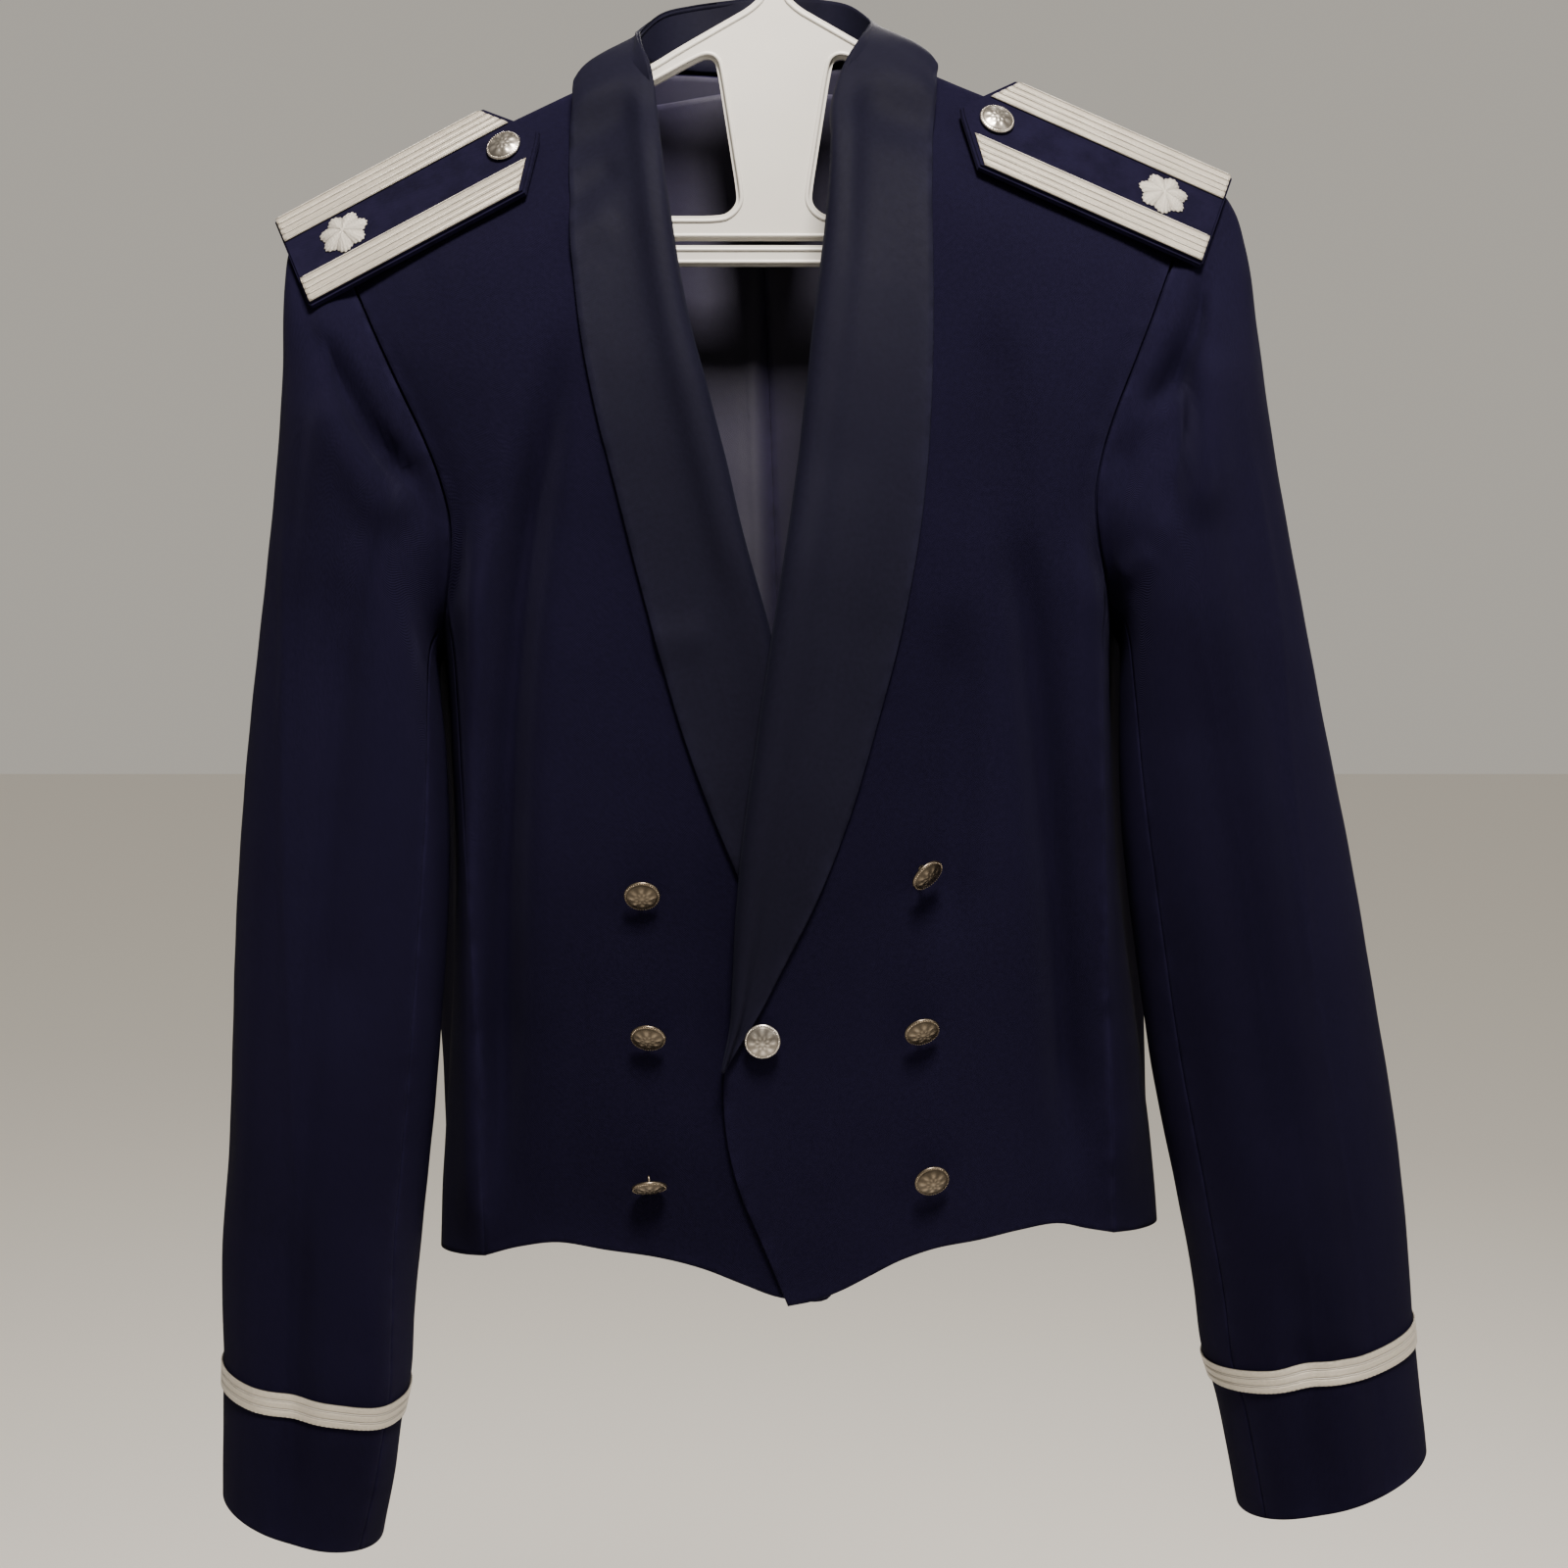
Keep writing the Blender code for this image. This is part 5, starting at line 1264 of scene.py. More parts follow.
@dataclass(frozen=True)
class MetalThread(Finish):
    """Braid or embroidery of silver thread."""

    # The colour of the painted shade in the thread's grooves and hollows.
    groove: Colour
    roughness: float
    metallic: float
    threads: float
    band: float
    relief: float = 0.6

    def material(self, effects: Effects) -> bpy.types.Material:
        """The thread's material, with painted shade where the relief attribute is low: the groove colour fills the
        braid's grooves and the leaf's hollows.

        Args:
            effects: the shared shader groups
        Returns:
            the material
        """
        made, graph, shader, places = self.start()
        threads = graph.group(
            effects.braid, Place=places["UV"], Threads_per_metre=self.threads, Band_width=self.band
        )
        mottle = graph.group(effects.mottle, Place=places["Object"], Scale=40.0, Fine_scale=600.0)
        bright = graph.mix(threads["Shade"], self.shade(0.72), self.shade(1.22))
        bright = graph.mix(graph.math("MULTIPLY", mottle["Slow"], 0.25), bright, self.shade(0.75))
        feeds = {
            # Painted shade: the groove colour is mixed in where the relief is low.
            "Base Color": graph.mix(graph.attribute("relief"), (*self.groove, 1.0), bright),
            "Roughness": graph.math("MULTIPLY_ADD", mottle["Fine"], 0.2, self.roughness - 0.1),
            "Normal": graph.bump(self.relief, 0.00025, threads["Height"]),
            "Metallic": self.metallic,
            "Sheen Weight": 0.1,
        }
        graph.feed(shader, feeds)
        return made


@dataclass(frozen=True)
class CastMetal(Finish):
    """Struck or drawn metal, darker in its hollows."""

    tarnish: Colour
    roughness: float
    scratches: float = 0.25

    def material(self, effects: Effects) -> bpy.types.Material:
        """The metal's material, tarnished where the relief attribute is low.

        Args:
            effects: the shared shader groups
        Returns:
            the material
        """
        made, graph, shader, places = self.start()
        mottle = graph.group(effects.mottle, Place=places["Object"], Scale=260.0, Fine_scale=1500.0)
        high = graph.attribute("relief")
        worn = graph.group(effects.worn, Mask=high, Place=places["Object"], Amount=0.6)["Wear"]
        clean = graph.mix(mottle["Slow"], self.shade(0.78), self.shade(1.12))
        clean = graph.mix(worn, clean, self.shade(1.3))
        rough = graph.math("MULTIPLY_ADD", mottle["Fine"], self.scratches, self.roughness)
        feeds = {
            "Base Color": graph.mix(high, (*self.tarnish, 1.0), clean),
            "Roughness": graph.math("SUBTRACT", rough, graph.math("MULTIPLY", high, 0.1)),
            "Normal": graph.bump(0.25, 0.0001, mottle["Fine"]),
            "Metallic": 1.0,
        }
        graph.feed(shader, feeds)
        return made


@dataclass(frozen=True)
class MouldedPlastic(Finish):
    """Glossy moulded plastic, a little scuffed."""

    roughness: float
    dust: Colour

    def material(self, effects: Effects) -> bpy.types.Material:
        """The plastic's material.

        Args:
            effects: the shared shader groups
        Returns:
            the material
        """
        made, graph, shader, places = self.start()
        mottle = graph.group(effects.mottle, Place=places["Object"], Scale=14.0, Fine_scale=320.0)
        dust = graph.group(effects.worn, Mask=mottle["Fine"], Place=places["Object"], Amount=0.35)["Wear"]
        base = graph.mix(mottle["Slow"], self.shade(0.95), self.shade(1.03))
        feeds = {
            "Base Color": graph.mix(graph.math("MULTIPLY", dust, 0.3), base, (*self.dust, 1.0)),
            "Roughness": graph.math("MULTIPLY_ADD", dust, 0.5, self.roughness),
            "Normal": graph.bump(0.12, 0.0002, mottle["Fine"]),
            "Coat Weight": 0.15,
            "Coat Roughness": 0.25,
        }
        graph.feed(shader, feeds)
        return made


class Finishes:
    """Every finish of the jacket and its hanger, made once."""

    def __init__(self) -> None:
        """Makes the materials."""
        effects = Effects()
        wool = WovenCloth(
            "navy_wool_twill", (0.0046, 0.0037, 0.0125), roughness=0.85, ribs=1500.0, slant=1.6, crossing=0.35,
            relief=0.55, sheen=0.02, sheen_colour=(0.45, 0.42, 0.85), specular=0.03,
        )
        satin = WovenCloth(
            "navy_satin_facing", (0.0052, 0.0049, 0.0112), roughness=0.60, ribs=1900.0, slant=0.25, crossing=0.2,
            relief=0.20, sheen=0.01, sheen_colour=(0.55, 0.60, 0.95), specular=0.04, contrast=0.35,
        )
        lining = WovenCloth(
            "violet_lining_twill", (0.0125, 0.0104, 0.0255), roughness=0.55, ribs=1700.0, slant=1.0, crossing=0.2,
            relief=0.30, sheen=0.04, sheen_colour=(0.6, 0.6, 0.8), specular=0.35, contrast=0.3,
        )
        # The groove colours of braid and embroidery are painted shade for their grooves and hollows.
        braid = MetalThread(
            "silver_braid_thread", (0.47, 0.425, 0.355), groove=(0.075, 0.062, 0.050),
            roughness=0.40, metallic=0.35, threads=1100.0, band=0.0022,
        )
        embroidery = MetalThread(
            "silver_embroidery", (0.50, 0.465, 0.41), groove=(0.13, 0.115, 0.10),
            roughness=0.42, metallic=0.25, threads=1500.0, band=0.0008,
        )
        silver = CastMetal("silver_button_metal", (0.54, 0.50, 0.45), (0.085, 0.072, 0.060), 0.26)
        pewter = CastMetal("darkened_button_metal", (0.20, 0.163, 0.120), (0.026, 0.021, 0.016), 0.30)
        steel = CastMetal("hook_steel", (0.62, 0.61, 0.59), (0.30, 0.29, 0.28), 0.22)
        plastic = MouldedPlastic("white_moulded_plastic", (0.62, 0.595, 0.555), 0.34, (0.55, 0.52, 0.47))
        self.wool, self.satin, self.lining = (cloth.material(effects) for cloth in (wool, satin, lining))
        self.braid, self.embroidery = (thread.material(effects) for thread in (braid, embroidery))
        self.silver, self.pewter, self.steel = (metal.material(effects) for metal in (silver, pewter, steel))
        self.plastic = plastic.material(effects)


def turn_outward(mesh: bpy.types.Mesh) -> None:
    """Points a closed mesh's faces out.

    Args:
        mesh: the mesh, changed in place
    """
    work = bmesh.new()
    work.from_mesh(mesh)
    bmesh.ops.recalc_face_normals(work, faces=work.faces)
    if work.calc_volume(signed=True) < 0:
        bmesh.ops.reverse_faces(work, faces=work.faces)
    work.to_mesh(mesh)
    work.free()


def make_mesh(
    name: str,
    points: Grid,
    faces: list,
    finishes: list[bpy.types.Material],
    corners: Grid | None = None,
    finish_of: Grid | None = None,
    values: dict[str, Grid] | None = None,
) -> bpy.types.Mesh:
    """A mesh with its places on the cloth, its finishes and its values.

    Args:
        name: its name
        points: its points
        faces: its faces as lists of point numbers
        finishes: its materials
        corners: (u, v) of each face corner in metres
        finish_of: the number of each face's material
        values: a value for each point, by attribute name
    Returns:
        the mesh, closed meshes facing out
    """
    mesh = bpy.data.meshes.new(name)
    mesh.from_pydata(np.asarray(points).reshape(-1, 3).tolist(), [], faces)
    for finish in finishes:
        mesh.materials.append(finish)
    if corners is not None:
        mesh.uv_layers.new(name="UVMap").data.foreach_set("uv", np.asarray(corners, np.float32).ravel())
    if finish_of is not None:
        mesh.polygons.foreach_set("material_index", np.asarray(finish_of, np.int32))
    for title, value in (values or {}).items():
        mesh.attributes.new(title, "FLOAT", "POINT").data.foreach_set("value", np.asarray(value, np.float32).ravel())
    turn_outward(mesh)
    mesh.shade_smooth()
    return mesh


def cloth_places(points: Grid, closed: bool, upright: bool) -> Grid:
    """Places on the flat cloth, in metres across and along it.

    Args:
        points: the cloth's grid
        closed: whether its last column joins the first
        upright: whether the yarns run straight up, as in a body panel, and not along its first column
    Returns:
        (u, v) for each point, with one more column where it is closed
    """
    wide = np.concatenate([points, points[:, :1]], axis=1) if closed else points
    across = lengths_along(wide, 1)
    along = lengths_along(wide, 0)
    if upright:
        across = across + wide[:, :1, 0]
        along = along + wide[:1, :, 2]
    return np.stack([across, along], axis=-1)


def cells(i: Grid, j: Grid, n: Grid, wide: int) -> Grid:
    """The corners of the cells between columns j and n of a grid that is this wide."""
    return np.stack([i * wide + j, i * wide + n, (i + 1) * wide + n, (i + 1) * wide + j], axis=-1).reshape(-1, 4)


def cloth_wall(
    name: str,
    outer: Grid,
    normals: Grid,
    thick: float,
    finishes: list[bpy.types.Material],
    closed: bool = False,
    upright: bool = True,
    relief: Grid | None = None,
) -> bpy.types.Mesh:
    """A closed thin wall of cloth with rounded edges.

    Args:
        name: the mesh's name
        outer: the grid of points of its face
        normals: their outward normals
        thick: the cloth's thickness
        finishes: the materials of its face and, if it differs, of its back
        closed: whether the last column joins the first
        upright: whether the yarns run straight up
        relief: a value for each point of the face, for the relief attribute
    Returns:
        the mesh
    """
    rows, columns = outer.shape[:2]
    count = rows * columns
    soft = 0.35 * thick
    face = inset(outer, soft, columns=not closed)
    back = inset(outer - normals * thick, soft, columns=not closed)
    middle = (outer - normals * (thick / 2)).reshape(-1, 3)
    places = cloth_places(outer, closed, upright)
    wide = places.shape[1]
    last = (rows - 1) * columns
    if closed:
        loops = [np.arange(columns), last + np.arange(columns)]
    else:
        down = np.arange(rows) * columns
        top = last + np.arange(columns - 1)[::-1]
        loops = [np.concatenate([np.arange(columns), down[1:] + columns - 1, top, down[1:-1][::-1]])]
    i, j = np.meshgrid(np.arange(rows - 1), np.arange(columns if closed else columns - 1), indexing="ij")
    quads, spots = cells(i, j, (j + 1) % columns, columns), cells(i, j, j + 1, wide)
    faces, corners = [quads, quads[:, ::-1] + count], [spots, spots[:, ::-1]]
    kinds = [0 * quads[:, 0], 0 * quads[:, 0] + 1]
    start = 2 * count
    for loop in loops:
        a, b = loop, np.roll(loop, -1)
        m = start + np.arange(len(loop))
        k = np.roll(m, -1)
        spot_a = (a // columns) * wide + a % columns
        spot_b = (b // columns) * wide + b % columns
        if closed:
            spot_b = spot_a + 1
        faces += [np.stack([a, b, k, m], axis=-1), np.stack([m, k, b + count, a + count], axis=-1)]
        corners += [np.stack([spot_a, spot_b, spot_b, spot_a], axis=-1)] * 2
        kinds += [0 * a, 0 * a]
        start += len(loop)
    rims = np.concatenate(loops)
    points = np.concatenate([face.reshape(-1, 3), back.reshape(-1, 3), middle[rims]])
    up = lengths_along(outer, 0)
    reach = np.minimum(up, up[-1:] - up)
    if not closed:
        side = lengths_along(outer, 1)
        reach = np.minimum(reach, np.minimum(side, side[:, -1:] - side))
    edge = np.exp(-reach / 0.003).ravel()
    values = {"edge": np.concatenate([edge, edge, np.ones(len(rims))])}
    if relief is not None:
        flat = relief.ravel()
        values["relief"] = np.concatenate([flat, flat, flat[rims]])
    kinds = np.minimum(np.concatenate(kinds), len(finishes) - 1)
    uv = places.reshape(-1, 2)[np.concatenate(corners)]
    return make_mesh(name, points, np.concatenate(faces).tolist(), finishes, uv, kinds, values)


def add_piece(name: str, mesh: bpy.types.Mesh, nodes: tuple[str, ...]) -> bpy.types.Object:
    """Puts a finished piece in the scene on the root body and hides the solids that it stands for.

    Args:
        name: the piece's name
        mesh: its mesh, in place
        nodes: the nodes that it stands for
    Returns:
        the piece
    """
    obj = bpy.data.objects.new(name, mesh)
    bpy.context.scene.collection.objects.link(obj)
    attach(obj, "root")
    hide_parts(*nodes)
    LOG.info("%s: %d faces", name, len(mesh.polygons))
    return obj


def merge_meshes(name: str, meshes: list[bpy.types.Mesh]) -> bpy.types.Mesh:
    """Joins meshes into one, with all their materials.

    Args:
        name: the new mesh's name
        meshes: the meshes; they are used up
    Returns:
        the joined mesh
    """
    objects = []
    for mesh in meshes:
        obj = bpy.data.objects.new(name + "_part", mesh)
        bpy.context.scene.collection.objects.link(obj)
        objects.append(obj)
    chosen = {"selected_objects": objects, "selected_editable_objects": objects}
    with bpy.context.temp_override(active_object=objects[0], **chosen):
        bpy.ops.object.join()
    joined = objects[0].data
    bpy.data.objects.remove(objects[0])
    joined.name = name
    return joined


class PathWork:
    """Geometry Nodes that follow a path: cords, beads and stitches."""

    def __init__(self) -> None:
        """Builds the three trees."""
        self._cords = self._cord_tree()
        self._bead_rows = self._bead_tree()
        self._stitch_rows = self._stitch_tree()

    def cord(
        self, path: Grid, finish: bpy.types.Material, radius: float, sides: int, closed: bool = True
    ) -> bpy.types.Mesh:
        """A round cord along the path."""
        return self._run(self._cords, path, finish, closed, Radius=radius, Sides=float(sides))

    def beads(self, path: Grid, finish: bpy.types.Material, radius: float, spacing: float) -> bpy.types.Mesh:
        """Beads round a closed path."""
        return self._run(self._bead_rows, path, finish, True, Radius=radius, Spacing=spacing)

    def stitches(
        self, path: Grid, finish: bpy.types.Material, radius: float, spacing: float, length: float
    ) -> bpy.types.Mesh:
        """Short stitches round a closed path, each lying along it."""
        return self._run(self._stitch_rows, path, finish, True, Radius=radius, Spacing=spacing, Length=length)

    @staticmethod
    def _start(name: str, sizes: dict[str, float]) -> tuple[Graph, Sockets, bpy.types.Node, bpy.types.NodeSocket]:
        """Starts a tree with a path, sizes and a finish.

        Args:
            name: the tree's name
            sizes: the default of each size, by name
        Returns:
            the graph, its inputs, its output node and the path as a curve
        """
        inputs = {"Path": GEOMETRY, **sizes, "Finish": "NodeSocketMaterial"}
        graph, start, end = new_group("GeometryNodeTree", name, inputs, {"Work": GEOMETRY})
        return graph, start, end, graph.node("GeometryNodeMeshToCurve", {0: start["Path"]}).outputs[0]

    @staticmethod
    def _end(
        graph: Graph, start: Sockets, end: bpy.types.Node, geometry: bpy.types.NodeSocket
    ) -> bpy.types.NodeTree:
        """Ends a tree: real geometry, smooth, with its finish.

        Args:
            graph: the tree's graph
            start: its inputs
            end: its output node
            geometry: what it made
        Returns:
            the tree
        """
        real = graph.node("GeometryNodeRealizeInstances", {0: geometry}).outputs[0]
        smoothed = graph.node("GeometryNodeSetShadeSmooth", {"Geometry": real}).outputs[0]
        dressed = graph.node("GeometryNodeSetMaterial", {"Geometry": smoothed, "Material": start["Finish"]})
        graph.feed(end, {0: dressed.outputs[0]})
        return graph.tree

    def _cord_tree(self) -> bpy.types.NodeTree:
        """A round cord along the path.

        Returns:
            the tree
        """
        graph, start, end, curve = self._start("cord_along_path", {"Radius": 0.0003, "Sides": 8.0})
        sides = graph.node("FunctionNodeFloatToInt", {0: start["Sides"]}).outputs[0]
        sizes = {"Resolution": sides, "Radius": start["Radius"]}
        ring = graph.node("GeometryNodeCurvePrimitiveCircle", sizes).outputs[0]
        shape = {"Curve": curve, "Profile Curve": ring, "Fill Caps": True}
        return self._end(graph, start, end, graph.node("GeometryNodeCurveToMesh", shape).outputs[0])

    def _bead_tree(self) -> bpy.types.NodeTree:
        """Beads at equal steps along the path.

        Returns:
            the tree
        """
        graph, start, end, curve = self._start("beads_along_path", {"Radius": 0.0004, "Spacing": 0.0011})
        points = graph.node("GeometryNodeCurveToPoints", {0: curve, "Length": start["Spacing"]}, mode="LENGTH")
        bead = graph.node("GeometryNodeMeshIcoSphere", {"Radius": start["Radius"], "Subdivisions": 2}).outputs[0]
        placed = graph.node("GeometryNodeInstanceOnPoints", {"Points": points.outputs[0], "Instance": bead})
        return self._end(graph, start, end, placed.outputs[0])

    def _stitch_tree(self) -> bpy.types.NodeTree:
        """Short stitches at equal steps along the path, each lying along it.

        Returns:
            the tree
        """
        sizes = {"Radius": 0.0002, "Spacing": 0.003, "Length": 0.002}
        graph, start, end, curve = self._start("stitches_along_path", sizes)
        points = graph.node("GeometryNodeCurveToPoints", {0: curve, "Length": start["Spacing"]}, mode="LENGTH")
        ball = graph.node("GeometryNodeMeshUVSphere", {"Segments": 8, "Rings": 6, "Radius": start["Radius"]})
        stretch = graph.math("DIVIDE", start["Length"], graph.math("MULTIPLY", start["Radius"], 2.0))
        feeds = {
            "Points": points.outputs[0],
            "Instance": ball.outputs[0],
            "Rotation": points.outputs["Rotation"],
            "Scale": graph.node("ShaderNodeCombineXYZ", {0: 1.0, 1: 1.0, 2: stretch}).outputs[0],
        }
        return self._end(graph, start, end, graph.node("GeometryNodeInstanceOnPoints", feeds).outputs[0])

    @staticmethod
    def _run(
        tree: bpy.types.NodeTree, path: Grid, finish: bpy.types.Material, closed: bool, **sizes: float
    ) -> bpy.types.Mesh:
        """Runs a tree on a path and keeps the result as a plain mesh.

        Args:
            tree: one of the trees
            path: the path's points
            finish: the material
            closed: whether the path's end joins its start
            sizes: the tree's sizes by name
        Returns:
            the mesh, with a relief value of 1 and places round and along it
        """
        edges = [(k, k + 1) for k in range(len(path) - 1)]
        if closed:
            edges.append((len(path) - 1, 0))
        line = bpy.data.meshes.new("path")
        line.from_pydata(np.asarray(path).tolist(), edges, [])
        obj = bpy.data.objects.new("path", line)
        bpy.context.scene.collection.objects.link(obj)
        work = obj.modifiers.new("work", "NODES")
        work.node_group = tree
        values = {"Finish": finish, **sizes}
        for item in tree.interface.items_tree:
            if item.in_out == "INPUT" and item.name in values:
                work[item.identifier] = values[item.name]
        bpy.context.view_layer.update()
        mesh = bpy.data.meshes.new_from_object(obj.evaluated_get(bpy.context.evaluated_depsgraph_get()))
        bpy.data.objects.remove(obj)
        bpy.data.meshes.remove(line)
        for name, value in {"relief": 1.0, "edge": 0.0}.items():
            kept = mesh.attributes.new(name, "FLOAT", "POINT").data
            kept.foreach_set("value", np.full(len(mesh.vertices), value, np.float32))
        if not mesh.uv_layers:
            spots = np.zeros(len(mesh.vertices) * 3, np.float32)
            mesh.vertices.foreach_get("co", spots)
            spots = spots.reshape(-1, 3)
            corner = np.zeros(len(mesh.loops), np.int32)
            mesh.loops.foreach_get("vertex_index", corner)
            flat = np.stack([spots[:, 0] + spots[:, 1], spots[:, 2]], axis=-1)[corner]
            mesh.uv_layers.new(name="UVMap").data.foreach_set("uv", flat.ravel())
        return mesh


@dataclass
class Workshop:
    """What every sub-assembly is made with."""

    form: BodyForm
    hanging: Hanging
    finishes: Finishes
    paths: PathWork

    def hang(self, points: Grid, side: Side) -> Grid:
        """Garment points of the +X side, on their own side and hung."""
        return self.hanging.place(side.mirror(points))

    def wall(
        self,
        name: str,
        outer: Grid,
        normals: Grid,
        side: Side,
        thick: float,
        finishes: list[bpy.types.Material],
        **how: object,
    ) -> bpy.types.Mesh:
        """A wall of cloth, on its own side and hung.

        Args:
            name: the mesh's name
            outer: the face's points on the +X side
            normals: their outward normals
            side: the side it is for
            thick: the cloth's thickness
            finishes: the materials of its face and back
            how: what else cloth_wall takes
        Returns:
            the mesh
        """
        ends = self.hang(outer + normals * 0.001, side)
        outer = self.hang(outer, side)
        return cloth_wall(name, outer, unit(ends - outer), thick, finishes, **how)


def declare_sheet(
    points: Grid
) -> None:
    """Works out the width, length and area of the cloth's face, and keeps none of them.

    Args:
        points: its face's grid
    """
    width = float(lengths_along(points, 1)[:, -1].max())
    length = float(lengths_along(points, 0)[-1].max())
    up, across = np.diff(points, axis=0), np.diff(points, axis=1)
    halves = (np.cross(up[:, :-1], across[:-1]), np.cross(across[1:], up[:, 1:]))
    area = 0.5 * float(sum(np.linalg.norm(half, axis=-1) for half in halves).sum())
    area = min(area, width * length)


@dataclass
class BodyPanels:
    """The fronts, under-arm panels, back halves and the lining behind them."""

    shop: Workshop
    cloth: float = CLOTH
    lining: float = LINING
    step: float = 0.0037
    lining_hem_rise: float = 0.012
    lining_drop: float = 0.014
    lining_inset: float = 0.004
    calm_from: float = 0.001
    calm_over: float = 0.012

    def _refined(self, coarse: Grid, toward: Grid, side: Side, creases: tuple[Crease, ...]) -> tuple[Grid, Grid]:
        """Fills in a coarse panel and creases it, except where the armhole seam holds it.

        Args:
            coarse: the panel's few points
            toward: their outward normals
            side: whose panel
            creases: its creases
        Returns:
            the finer points and their normals
        """
        fine, _ = refine(refine(coarse, 0, self.step)[0], 1, self.step)
        out, _ = refine(refine(toward, 0, 1.0)[0], 1, 1.0)
        normals = grid_normals(fine)
        if np.sum(normals[len(fine) // 2, fine.shape[1] // 2] * out[len(out) // 2, out.shape[1] // 2]) < 0:
            normals = -normals
        ring = self.shop.form.armhole_ring()
        ring = between_marks(
            np.arange(0, len(ring), 0.125), np.arange(len(ring) + 1), np.concatenate([ring, ring[:1]])
        )
        near = np.array([np.linalg.norm(row[:, None] - ring[None], axis=-1).min(axis=1) for row in fine])
        calm = ease((near - self.calm_from) / self.calm_over)[..., None]
        fine = fine + (creased(fine, normals, creases, side) - fine) * calm
        again = grid_normals(fine)
        return fine, again if np.sum(again * normals) > 0 else -again

    def _on_form(self, places: Grid, out: float = 0.0) -> tuple[Grid, Grid]:
        """The form's points and outward normals at (around, z) places, moved out by a distance."""
        form = self.shop.form
        return form.surface(places[..., 0], places[..., 1], out), form.normal(places[..., 0], places[..., 1])

    def _piece(
        self, part: str, side: Side, fine: Grid, normals: Grid, is_lining: bool = False
    ) -> bpy.types.Object:
        """Makes a panel from its points.

        Args:
            part: which panel, as the solids are named
            side: whose panel
            fine: its face's points
            normals: their outward normals
            is_lining: whether it is cut from lining
        Returns:
            the piece
        """
        thick, slot = (self.lining, "violet_lining") if is_lining else (self.cloth, "navy_wool")
        finishes = [self.shop.finishes.wool, self.shop.finishes.lining][int(is_lining) :]
        mesh = self.shop.wall(f"{part}_{side.label}_cloth", fine, normals, side, thick, finishes)
        piece = add_piece(mesh.name, mesh, (f"{part}_{side.label}",))
        declare_sheet(fine)
        return piece

    def front(self, side: Side) -> bpy.types.Object:
        """One cut front.

        Args:
            side: whose front
        Returns:
            the piece
        """
        coarse = self.shop.form.front_points(side)
        toward = unit(self.shop.form.front_points(side, 0.002) - coarse)
        fine, normals = self._refined(coarse, toward, side, CREASES[side])
        return self._piece("front", side, inset(fine, SEWN), normals)

    def under_arm(self, side: Side) -> bpy.types.Object:
        """One under-arm panel.

        Args:
            side: whose panel
        Returns:
            the piece
        """
        fine, normals = self._refined(*self._on_form(self.shop.form.side_places()), side, CREASES[side])
        return self._piece("side", side, inset(fine, SEWN), normals)

    def back(self, side: Side) -> bpy.types.Object:
        """One half of the back.

        Args:
            side: whose half
        Returns:
            the piece
        """
        fine, normals = self._refined(*self._on_form(self.shop.form.back_places()), side, CREASES[side])
        fine, normals = meet_middle(inset(fine, SEWN), normals)
        return self._piece("back", side, fine, normals)

    def back_lining(self, side: Side) -> bpy.types.Object:
        """The lining behind one half of the back, with the pleat down its middle.

        Args:
            side: whose half
        Returns:
            the piece
        """
        places = self.shop.form.back_places(self.lining_hem_rise, self.lining_drop)[LINING_ROWS]
        coarse, toward = self._on_form(places, -(CLOTH + LINING_GAP))
        coarse = inset(coarse, self.lining_inset)
        coarse[:, -1, 0] = MIDDLE_SEAM
        fine, normals = meet_middle(*self._refined(coarse, toward, side, PLEAT[side] + BACK_CREASES))
        return self._piece("back_lining", side, fine, normals, is_lining=True)

    def build(self) -> None:
        """Builds every panel of both sides."""
        for side in Side:
            self.front(side)
            self.under_arm(side)
            self.back(side)
            self.back_lining(side)


